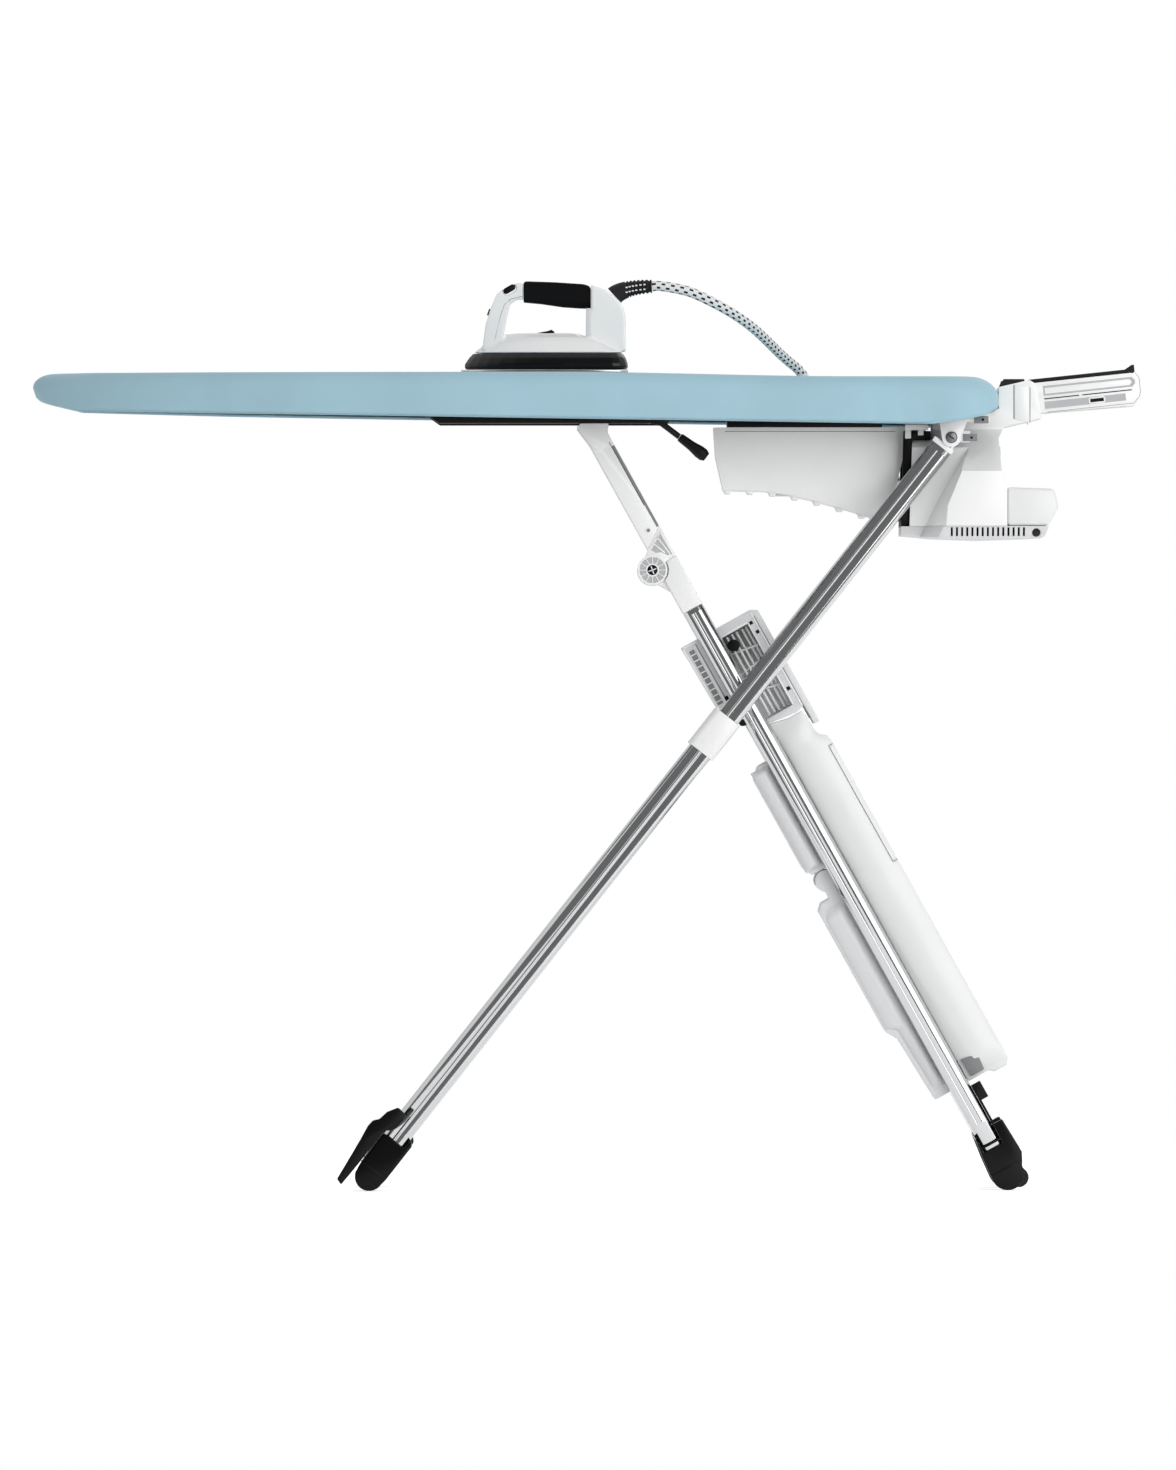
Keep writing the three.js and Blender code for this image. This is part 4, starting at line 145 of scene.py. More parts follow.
@dataclass(frozen=True)
class Finish:
    """A surface: what it is made of and how it was made."""

    name: str
    slot: Slot
    colour: str
    roughness: float

    def material(self) -> bpy.types.Material:
        """Returns this finish's material, made on its first use."""
        found = bpy.data.materials.get(self.name)
        if found is not None:
            return found
        made = bpy.data.materials.new(self.name)
        made.use_nodes = True
        tree = made.node_tree
        tree.nodes.clear()
        shader = add_node(tree, "ShaderNodeBsdfPrincipled", {
            "Base Color": linear(self.colour), "Roughness": self.roughness,
        })
        add_node(tree, "ShaderNodeOutputMaterial", {"Surface": shader.outputs["BSDF"]})
        self.detail(tree, shader)
        return made

    def detail(self, tree: bpy.types.NodeTree, shader: bpy.types.Node) -> None:
        """Adds the finish's own nodes to the plain shader."""

    def mottle(self, tree: bpy.types.NodeTree, shader: bpy.types.Node, size: float, amount: float) -> None:
        """Varies the base colour a little in soft patches.

        Args:
            tree: The material's tree.
            shader: Its principled shader.
            size: Width of a patch in metres.
            amount: How much darker the darkest patch is, as a share.
        """
        place = add_node(tree, "ShaderNodeTexCoord")
        cloud = add_node(tree, "ShaderNodeTexNoise", {
            "Vector": place.outputs["Object"], "Scale": 1 / size, "Detail": 3.0,
        })
        dark = add_node(tree, "ShaderNodeMapRange", {
            "Value": cloud.outputs["Fac"], "From Min": 0.35, "From Max": 0.65,
            "To Min": 1 - amount, "To Max": 1.0,
        })
        tone = add_node(tree, "ShaderNodeVectorMath", {
            0: linear(self.colour)[:3], "Scale": dark.outputs["Result"],
        }, operation="SCALE")
        tree.links.new(tone.outputs["Vector"], shader.inputs["Base Color"])

    def grain(self, tree: bpy.types.NodeTree, shader: bpy.types.Node, size: float, depth: float,
              way: Grain = Grain.ALL_ROUND, turn: float = 0.0) -> None:
        """Adds fine bumps, and lets them vary the roughness.

        Args:
            tree: The material's tree.
            shader: Its principled shader.
            size: Width of one bump in metres.
            depth: Height of the bumps in metres.
            way: The way in which the bumps are drawn out.
            turn: Angle about Y in radians by which that way is turned.
        """
        place = add_node(tree, "ShaderNodeTexCoord")
        turned = add_node(tree, "ShaderNodeMapping", {
            "Vector": place.outputs["Object"], "Rotation": (0.0, turn, 0.0),
        })
        drawn = add_node(tree, "ShaderNodeMapping", {"Vector": turned.outputs["Vector"], "Scale": way.value})
        speck = add_node(tree, "ShaderNodeTexNoise", {
            "Vector": drawn.outputs["Vector"], "Scale": 1 / size, "Detail": 2.0,
        })
        bump = add_node(tree, "ShaderNodeBump", {
            "Height": speck.outputs["Fac"], "Distance": depth, "Strength": 0.4,
        })
        tree.links.new(bump.outputs["Normal"], shader.inputs["Normal"])
        rough = add_node(tree, "ShaderNodeMapRange", {
            "Value": speck.outputs["Fac"], "From Min": 0.3, "From Max": 0.7,
            "To Min": self.roughness * 0.85, "To Max": min(1.0, self.roughness * 1.2),
        })
        tree.links.new(rough.outputs["Result"], shader.inputs["Roughness"])


@dataclass(frozen=True)
class MouldedPlastic(Finish):
    """ABS or polyamide from a polished or finely sparked mould: even, with a soft skin."""

    grain_size: float = 0.7 * MM
    grain_depth: float = 0.012 * MM
    coat: float = 0.0
    specular: float = 0.5

    def detail(self, tree: bpy.types.NodeTree, shader: bpy.types.Node) -> None:
        """Adds the skin's grain, faint mottling and the gloss of a polished mould."""
        self.mottle(tree, shader, 60 * MM, 0.02)
        self.grain(tree, shader, self.grain_size, self.grain_depth)
        shader.inputs["IOR"].default_value = 1.53
        shader.inputs["Specular IOR Level"].default_value = self.specular
        shader.inputs["Coat Weight"].default_value = self.coat
        shader.inputs["Coat Roughness"].default_value = 0.15


@dataclass(frozen=True)
class ChromedSteel(Finish):
    """Drawn steel tube, polished and chromed: a mirror with faint marks along the tube."""

    lean: float = 0.0

    def detail(self, tree: bpy.types.NodeTree, shader: bpy.types.Node) -> None:
        """Makes the shader a metal with drawing lines along the tube."""
        shader.inputs["Metallic"].default_value = 1.0
        self.grain(tree, shader, 0.9 * MM, 0.002 * MM, Grain.ALONG_Z, math.radians(self.lean))


@dataclass(frozen=True)
class SheetMetal(Finish):
    """Rolled and galvanised sheet: dull, with marks along the rolling direction."""

    def detail(self, tree: bpy.types.NodeTree, shader: bpy.types.Node) -> None:
        """Makes the shader a metal with rolling marks and soft clouds."""
        shader.inputs["Metallic"].default_value = 1.0
        self.mottle(tree, shader, 25 * MM, 0.18)
        self.grain(tree, shader, 0.8 * MM, 0.01 * MM, Grain.ALONG_X)


@dataclass(frozen=True)
class MouldedRubber(Finish):
    """Rubber from a blasted mould: matt, a little dusty."""

    def detail(self, tree: bpy.types.NodeTree, shader: bpy.types.Node) -> None:
        """Adds dust in soft patches and a matt grain."""
        self.mottle(tree, shader, 18 * MM, 0.25)
        self.grain(tree, shader, 0.5 * MM, 0.03 * MM)


@dataclass(frozen=True)
class WovenCotton(Finish):
    """Plain-woven cotton with a coated face: matt, with a fine square weave and a soft sheen."""

    thread: float = 1.1 * MM

    def detail(self, tree: bpy.types.NodeTree, shader: bpy.types.Node) -> None:
        """Draws the weave on the cloth's own map, coarser than the real one so that it shows."""
        place = add_node(tree, "ShaderNodeUVMap", uv_map="cloth")
        waves = [
            add_node(tree, "ShaderNodeTexWave", {
                "Vector": place.outputs["UV"], "Scale": math.pi / (10 * self.thread), "Distortion": 0.6,
                "Detail": 1.0, "Detail Scale": 3.0,
            }, bands_direction=way, wave_type="BANDS")
            for way in ("X", "Y")
        ]
        weave = add_node(tree, "ShaderNodeMath", {0: waves[0].outputs["Fac"], 1: waves[1].outputs["Fac"]},
                         operation="MULTIPLY")
        solid = add_node(tree, "ShaderNodeTexCoord")
        cloud = add_node(tree, "ShaderNodeTexNoise", {
            "Vector": solid.outputs["Object"], "Scale": 1 / (90 * MM), "Detail": 4.0,
        })
        soft = add_node(tree, "ShaderNodeMapRange", {
            "Value": cloud.outputs["Fac"], "From Min": 0.3, "From Max": 0.7, "To Min": 0.95, "To Max": 1.02,
        })
        thread = add_node(tree, "ShaderNodeMapRange", {
            "Value": weave.outputs["Value"], "To Min": 0.93, "To Max": 1.03,
        })
        both = add_node(tree, "ShaderNodeMath", {0: soft.outputs["Result"], 1: thread.outputs["Result"]},
                        operation="MULTIPLY")
        tone = add_node(tree, "ShaderNodeVectorMath", {
            0: linear(self.colour)[:3], "Scale": both.outputs["Value"],
        }, operation="SCALE")
        tree.links.new(tone.outputs["Vector"], shader.inputs["Base Color"])
        bump = add_node(tree, "ShaderNodeBump", {
            "Height": weave.outputs["Value"], "Distance": 0.15 * MM, "Strength": 0.5,
        })
        tree.links.new(bump.outputs["Normal"], shader.inputs["Normal"])
        shader.inputs["Sheen Weight"].default_value = 0.15
        shader.inputs["Sheen Roughness"].default_value = 0.5


@dataclass(frozen=True)
class BraidedSleeve(Finish):
    """White textile braid with black tracer yarns over a rubber hose."""

    tracer: str = "17171A"

    def detail(self, tree: bpy.types.NodeTree, shader: bpy.types.Node) -> None:
        """Draws staggered tracer dashes and the crossing yarns on the hose's own map."""
        place = add_node(tree, "ShaderNodeUVMap", uv_map="cloth")
        split = add_node(tree, "ShaderNodeSeparateXYZ", {"Vector": place.outputs["UV"]})
        along, around = split.outputs["X"], split.outputs["Y"]
        row = add_node(tree, "ShaderNodeMath", {0: around}, operation="FLOOR")
        odd = add_node(tree, "ShaderNodeMath", {0: row.outputs["Value"], 1: 0.5}, operation="MULTIPLY")
        shifted = add_node(tree, "ShaderNodeMath", {0: along, 1: odd.outputs["Value"]})
        dash = add_node(tree, "ShaderNodeMath", {0: shifted.outputs["Value"]}, operation="FRACT")
        short = add_node(tree, "ShaderNodeMath", {0: dash.outputs["Value"], 1: 0.42}, operation="LESS_THAN")
        across = add_node(tree, "ShaderNodeMath", {0: around}, operation="FRACT")
        low = add_node(tree, "ShaderNodeMath", {
            0: across.outputs["Value"], 1: 0.22,
        }, operation="GREATER_THAN")
        high = add_node(tree, "ShaderNodeMath", {0: across.outputs["Value"], 1: 0.8}, operation="LESS_THAN")
        band = add_node(tree, "ShaderNodeMath", {0: low.outputs["Value"], 1: high.outputs["Value"]},
                        operation="MULTIPLY")
        mark = add_node(tree, "ShaderNodeMath", {0: band.outputs["Value"], 1: short.outputs["Value"]},
                        operation="MULTIPLY")
        tone = add_node(tree, "ShaderNodeMix", {
            "Factor": mark.outputs["Value"], "A": linear(self.colour), "B": linear(self.tracer),
        }, data_type="RGBA")
        tree.links.new(tone.outputs["Result"], shader.inputs["Base Color"])
        yarns = [
            add_node(tree, "ShaderNodeTexWave", {
                "Vector": add_node(tree, "ShaderNodeMapping", {
                    "Vector": place.outputs["UV"], "Rotation": (0.0, 0.0, turn), "Scale": (1.0, 0.5, 1.0),
                }).outputs["Vector"],
                "Scale": 1.6,
            }, bands_direction="X", wave_type="BANDS")
            for turn in (math.pi / 4, -math.pi / 4)
        ]
        braid = add_node(tree, "ShaderNodeMath", {0: yarns[0].outputs["Fac"], 1: yarns[1].outputs["Fac"]},
                         operation="MAXIMUM")
        bump = add_node(tree, "ShaderNodeBump", {
            "Height": braid.outputs["Value"], "Distance": 0.4 * MM, "Strength": 0.6,
        })
        tree.links.new(bump.outputs["Normal"], shader.inputs["Normal"])


@dataclass(frozen=True)
class OpenFoam(Finish):
    """Cut open-cell foam: matt and full of pores."""

    def detail(self, tree: bpy.types.NodeTree, shader: bpy.types.Node) -> None:
        """Adds pores and the uneven yellowing of foam."""
        self.mottle(tree, shader, 40 * MM, 0.12)
        self.grain(tree, shader, 1.5 * MM, 0.4 * MM)


WHITE = MouldedPlastic("white_abs_polished_mould", Slot.WHITE, "F0F0EF", 0.32, coat=0.25)
GREY = MouldedPlastic("grey_abs_polished_mould", Slot.GREY, "DADADB", 0.36, coat=0.2)
# Dark grey: painted shade in grooves, seams, slots, pockets and along borders; the hinge's side plates and
# the covers' elbow use it too
DARK_GREY_AND_PAINTED_SHADE = MouldedPlastic("dark_grey_abs_and_painted_shade", Slot.GREY, "7E7F81", 0.5)
# Black polyamide of rails, lever, buttons, hub and plug; also painted shade in slits, slots, holes, a
# groove's edge and behind the vents
BLACK = MouldedPlastic(
    "black_polyamide_and_painted_shade", Slot.BLACK, "0E0E10", 0.42, 0.5 * MM, 0.02 * MM, 0.0, 0.12,
)
GRIP = MouldedPlastic("black_soft_touch_grip_skin", Slot.BLACK, "08080A", 0.5, 0.5 * MM, 0.04 * MM, 0.0, 0.1)
GLOSS_BLACK = MouldedPlastic(
    "black_phenolic_heat_shield", Slot.BLACK, "060607", 0.24, 0.8 * MM, 0.006 * MM, 0.0, 0.28,
)
RUBBER = MouldedRubber("black_rubber_blasted_mould", Slot.RUBBER, "121213", 0.75)
STEEL = SheetMetal("galvanised_steel_sheet", Slot.STEEL, "85878A", 0.38)
SOLE = SheetMetal("polished_steel_sole", Slot.CHROME, "C9CBCD", 0.16)
REAR_CHROME = ChromedSteel("chromed_rear_tube", Slot.CHROME, "C4C5C6", 0.08, -38.22957)
FRONT_CHROME = ChromedSteel("chromed_front_tube", Slot.CHROME, "C4C5C6", 0.08, 29.09756)
# Pale grey plates of painted shade on the floors of the knee's and the iron rest's pockets
PALE_PAINTED_POCKET_SHADING = MouldedPlastic("pale_painted_pocket_shade", Slot.GREY, "B4B5B7", 0.5)
CASING = MouldedPlastic("off_white_abs_casing", Slot.WHITE, "E6E6E6", 0.36, coat=0.2)
COVER_GREY = MouldedPlastic("grey_abs_leg_covers", Slot.GREY, "DBDCDD", 0.36, coat=0.2)
FOOT_BLACK = MouldedPlastic(
    "black_polyamide_gloss_foot", Slot.BLACK, "060607", 0.3, 0.6 * MM, 0.01 * MM, 0.0, 0.16,
)
LAMP = MouldedPlastic("green_lamp_lens", Slot.GREY, "9FD8A4", 0.2)
COTTON = WovenCotton("woven_cotton_pale_blue", Slot.FABRIC, "A3C7D5", 0.85)
FOAM = OpenFoam("open_cell_foam", Slot.FOAM, "E3DCC6", 0.95)
BRAID = BraidedSleeve("braided_hose_sleeve", Slot.BRAID, "E9E9E8", 0.8)


# Geometry helpers


def mesh_piece(name: str, points: Iterable[Point], faces: Iterable[Face], finish: Finish,
               sharp: float | None = 35.0) -> bpy.types.Object:
    """Makes an object from points and faces.

    Args:
        name: The piece's name.
        points: Corner points in metres.
        faces: Faces as numbers of points.
        finish: The surface that it gets.
        sharp: Angle in degrees past which an edge stays sharp, or None for flat faces.

    Returns:
        The new object, at the origin.
    """
    mesh = bpy.data.meshes.new(name)
    mesh.from_pydata([tuple(p) for p in points], [], [tuple(f) for f in faces])
    tidy(mesh, sharp)
    return new_piece(name, mesh, finish)


def new_piece(name: str, mesh: bpy.types.Mesh, finish: Finish) -> bpy.types.Object:
    """Makes an object at the origin from a mesh, with one finish."""
    mesh.materials.clear()
    mesh.materials.append(finish.material())
    made = bpy.data.objects.new(name, mesh)
    bpy.context.scene.collection.objects.link(made)
    return made


def tidy(mesh: bpy.types.Mesh, sharp: float | None = 35.0, weld: float = WELD) -> None:
    """Merges doubles, turns all faces outwards and sets which edges are sharp.

    Args:
        mesh: The mesh to change.
        sharp: Angle in degrees past which an edge stays sharp, or None for flat faces.
        weld: Distance under which points merge.
    """
    work = bmesh.new()
    work.from_mesh(mesh)
    bmesh.ops.remove_doubles(work, verts=work.verts, dist=weld)
    bmesh.ops.dissolve_degenerate(work, edges=work.edges, dist=weld)
    bmesh.ops.recalc_face_normals(work, faces=work.faces)
    for face in work.faces:
        face.smooth = sharp is not None
    for edge in work.edges:
        edge.smooth = sharp is not None and edge.calc_face_angle(math.pi) < math.radians(sharp)
    work.to_mesh(mesh)
    work.free()
    mesh.update()


def dress(piece: bpy.types.Object, finish: Finish, body: str, *stands_for: str) -> bpy.types.Object:
    """Puts a piece on its body and hides the CAD nodes that it stands for.

    Args:
        piece: The finished piece.
        finish: Not used.
        body: The CAD body that it rides on.
        *stands_for: The CAD nodes that it replaces.

    Returns:
        The same piece.
    """
    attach(piece, body)
    if stands_for:
        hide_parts(*stands_for)
    log.info("%s rides on %s", piece.name, body)
    return piece


def loft(rings: Sequence[Sequence[Point]], capped: bool = True) -> tuple[list[Point], list[Face]]:
    """Joins closed rings of equal count into a skin.

    Args:
        rings: Rings of points, in order.
        capped: Whether both ends are closed.

    Returns:
        Points and faces.
    """
    count = len(rings[0])
    points = [p for ring in rings for p in ring]
    faces: list[Face] = []
    for ring in range(len(rings) - 1):
        for i in range(count):
            a, b = ring * count + i, ring * count + (i + 1) % count
            faces.append((a, b, b + count, a + count))
    if capped:
        faces.append(tuple(reversed(range(count))))
        faces.append(tuple(range((len(rings) - 1) * count, len(rings) * count)))
    return points, faces


def prism(outline: Sequence[Point], y_from: float, y_to: float) -> tuple[list[Point], list[Face]]:
    """Gives an outline in X and Z a thickness along Y."""
    return loft([[(x, y, z) for x, z in outline] for y in (y_from, y_to)])


def evaluated(piece: bpy.types.Object) -> bpy.types.Object:
    """Applies a piece's modifiers by taking its evaluated mesh."""
    graph = bpy.context.evaluated_depsgraph_get()
    mesh = bpy.data.meshes.new_from_object(piece.evaluated_get(graph))
    piece.modifiers.clear()
    piece.data = mesh
    return piece


def rounded(piece: bpy.types.Object, width: float, segments: int = 3,
            angle: float = 30.0) -> bpy.types.Object:
    """Rounds a piece's sharp edges.

    Args:
        piece: A piece with a merged mesh.
        width: Width of the rounding in metres.
        segments: Number of faces across it.
        angle: Angle in degrees past which an edge is rounded.

    Returns:
        The same piece, with the rounding in its mesh.
    """
    bevel = piece.modifiers.new("rounding", "BEVEL")
    bevel.width = width
    bevel.segments = segments
    bevel.limit_method = "ANGLE"
    bevel.angle_limit = math.radians(angle)
    bevel.use_clamp_overlap = True
    evaluated(piece)
    tidy(piece.data, 40.0)
    return piece


def copy_of(name: str, finish: Finish, *nodes: str) -> bpy.types.Object:
    """Makes a new piece from merged copies of CAD nodes.

    Args:
        name: The new piece's name.
        finish: The surface that it gets.
        *nodes: Names of the CAD nodes.

    Returns:
        The new object.
    """
    work = bmesh.new()
    for node in nodes:
        work.from_mesh(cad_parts[node].data)
    bmesh.ops.remove_doubles(work, verts=work.verts, dist=WELD)
    bmesh.ops.dissolve_limit(work, angle_limit=math.radians(0.5), verts=work.verts, edges=work.edges)
    mesh = bpy.data.meshes.new(name)
    work.to_mesh(mesh)
    work.free()
    if "custom_normal" in mesh.attributes:
        mesh.attributes.remove(mesh.attributes["custom_normal"])
    tidy(mesh)
    return new_piece(name, mesh, finish)


def moulded(piece: bpy.types.Object, voxel: float, passes: int, finish: Finish) -> bpy.types.Object:
    """Remeshes a closed piece evenly and smooths it, as the draft and radii of a moulding do.

    Args:
        piece: A closed piece.
        voxel: Size of the even mesh in metres.
        passes: How often it is smoothed; more gives larger radii.
        finish: The surface that it gets.

    Returns:
        The same piece.
    """
    remesh = piece.modifiers.new("even", "REMESH")
    remesh.mode = "VOXEL"
    remesh.voxel_size = voxel
    smooth = piece.modifiers.new("soft", "SMOOTH")
    smooth.factor = 0.5
    smooth.iterations = passes
    evaluated(piece)
    tidy(piece.data, 60.0)
    piece.data.materials.clear()
    piece.data.materials.append(finish.material())
    return piece


def soften_node(node: str, finish: Finish, width: float, segments: int) -> None:
    """Gives a CAD node its finish and small moulded radii, by modifiers alone.

    Args:
        node: The CAD node's name.
        finish: The surface that it gets.
        width: Width of the radii in metres.
        segments: Number of faces across a radius.
    """
    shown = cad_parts[node]
    shown.data.materials.clear()
    shown.data.materials.append(finish.material())
    weld = shown.modifiers.new("weld", "WELD")
    weld.merge_threshold = WELD
    flat = shown.modifiers.new("flat", "DECIMATE")
    flat.decimate_type = "DISSOLVE"
    flat.angle_limit = math.radians(0.5)
    bevel = shown.modifiers.new("radii", "BEVEL")
    bevel.width = width
    bevel.segments = segments
    bevel.limit_method = "ANGLE"
    bevel.angle_limit = math.radians(28)
    bevel.use_clamp_overlap = True
    shade = shown.modifiers.new("shade", "NODES")
    shade.node_group = smooth_by_angle()


NodeLooks = tuple[tuple[tuple[str, ...], Finish, float, int], ...]


def soften_nodes(looks: NodeLooks) -> None:
    """Gives CAD nodes their looks: finish, width of the radii in metres, and faces across a radius."""
    for nodes, finish, width, segments in looks:
        for node in nodes:
            soften_node(node, finish, width, segments)


def pair(name: str) -> tuple[str, str]:
    """Returns the names of the near and the far node of a pair."""
    return f"{name}_near", f"{name}_far"


def in_metres(places: Places) -> list[tuple[float, ...]]:
    """Turns places from millimetres into metres."""
    return [tuple(value * MM for value in place) for place in places]


def rectangle(left: float, right: float, low: float, high: float) -> Places:
    """Returns a rectangle's corners, from the low left one by the low right one."""
    return ((left, low), (right, low), (right, high), (left, high))


def smooth_by_angle() -> bpy.types.NodeTree:
    """Returns the tree that shades a mesh smooth up to a sharp angle."""
    found = bpy.data.node_groups.get("smooth_by_angle")
    if found is not None:
        return found
    tree = bpy.data.node_groups.new("smooth_by_angle", "GeometryNodeTree")
    tree.interface.new_socket("Geometry", in_out="INPUT", socket_type="NodeSocketGeometry")
    tree.interface.new_socket("Geometry", in_out="OUTPUT", socket_type="NodeSocketGeometry")
    came = add_node(tree, "NodeGroupInput")
    bare = add_node(tree, "GeometryNodeRemoveAttribute", {
        "Geometry": came.outputs["Geometry"], "Name": "custom_normal",
    })
    faces = add_node(tree, "GeometryNodeSetShadeSmooth", {
        "Geometry": bare.outputs["Geometry"],
    }, domain="FACE")
    angle = add_node(tree, "GeometryNodeInputMeshEdgeAngle")
    soft = add_node(tree, "FunctionNodeCompare", {
        "A": angle.outputs["Unsigned Angle"], "B": math.radians(38),
    }, data_type="FLOAT", operation="LESS_THAN")
    edges = add_node(tree, "GeometryNodeSetShadeSmooth", {
        "Geometry": faces.outputs["Geometry"], "Shade Smooth": soft.outputs["Result"],
    }, domain="EDGE")
    add_node(tree, "NodeGroupOutput", {"Geometry": edges.outputs["Geometry"]})
    return tree


def repeat_tree() -> bpy.types.NodeTree:
    """Returns the tree that repeats a shape in a row, round a middle, or both."""
    found = bpy.data.node_groups.get("repeat_detail")
    if found is not None:
        return found
    tree = bpy.data.node_groups.new("repeat_detail", "GeometryNodeTree")
    for name, kind in (("Geometry", "Geometry"), ("Count", "Int"), ("Step", "Vector"), ("Turn", "Float"),
                       ("Middle", "Vector"), ("Material", "Material")):
        tree.interface.new_socket(name, in_out="INPUT", socket_type=f"NodeSocket{kind}")
    tree.interface.new_socket("Geometry", in_out="OUTPUT", socket_type="NodeSocketGeometry")
    came = add_node(tree, "NodeGroupInput")
    row = add_node(tree, "GeometryNodeMeshLine", {
        "Count": came.outputs["Count"], "Offset": came.outputs["Step"],
    })
    which = add_node(tree, "GeometryNodeInputIndex")
    angle = add_node(tree, "ShaderNodeMath", {0: which.outputs["Index"], 1: came.outputs["Turn"]},
                     operation="MULTIPLY")
    turned = add_node(tree, "ShaderNodeCombineXYZ", {"Y": angle.outputs["Value"]})
    copies = add_node(tree, "GeometryNodeInstanceOnPoints", {
        "Points": row.outputs["Mesh"], "Instance": came.outputs["Geometry"],
        "Rotation": turned.outputs["Vector"],
    })
    real = add_node(tree, "GeometryNodeRealizeInstances", {"Geometry": copies.outputs["Instances"]})
    placed = add_node(tree, "GeometryNodeTransform", {
        "Geometry": real.outputs["Geometry"], "Translation": came.outputs["Middle"],
    })
    dressed = add_node(tree, "GeometryNodeSetMaterial", {
        "Geometry": placed.outputs["Geometry"], "Material": came.outputs["Material"],
    })
    add_node(tree, "NodeGroupOutput", {"Geometry": dressed.outputs["Geometry"]})
    return tree


def repeated(piece: bpy.types.Object, finish: Finish, count: int, step: Point, turn: float,
             middle: Point) -> bpy.types.Object:
    """Repeats a piece's mesh with the tree and takes the result as its mesh.

    Args:
        piece: The piece with the shape to repeat, made round the origin where it turns.
        finish: The surface that the copies get.
        count: How many there are.
        step: From one to the next, in metres.
        turn: Angle about Y in radians from one to the next.
        middle: Where the whole goes, in metres.

    Returns:
        The same piece.
    """
    repeat = piece.modifiers.new("repeat", "NODES")
    repeat.node_group = repeat_tree()
    given = {"Count": count, "Step": step, "Turn": turn, "Middle": middle, "Material": finish.material()}
    for item in repeat.node_group.interface.items_tree:
        if item.in_out == "INPUT" and item.name in given:
            repeat[item.identifier] = given[item.name]
    evaluated(piece)
    tidy(piece.data)
    return piece


def smoothstep(value: float, low: float, high: float) -> float:
    """Returns 0 below low, 1 above high and a smooth rise between them."""
    share = min(1.0, max(0.0, (value - low) / (high - low)))
    return share * share * (3 - 2 * share)


@dataclass(frozen=True)
class LegLine:
    """A leg's own directions: down along it, and across it towards the rear end."""

    x: float
    z: float
    lean: float

    def at(self, across: float, down: float) -> tuple[float, float]:
        """Returns the frame's X and Z of a place on the leg, given in metres."""
        c, s = math.cos(self.lean), math.sin(self.lean)
        return self.x + across * c + down * s, self.z + across * s - down * c

    def point(self, across: float, y: float, down: float) -> Point:
        """Returns a place beside the leg as a point of the frame."""
        x, z = self.at(across, down)
        return (x, y, z)

    def places(self, pairs: Places) -> list[tuple[float, float]]:
        """Returns the frame's X and Z of places given in millimetres across and down the leg."""
        return [self.at(across * MM, down * MM) for across, down in pairs]


FRONT = LegLine(195.7353 * MM, 610.1949 * MM, math.radians(29.09756))
REAR = LegLine(453.1 * MM, 936.9 * MM, math.radians(-38.22957))


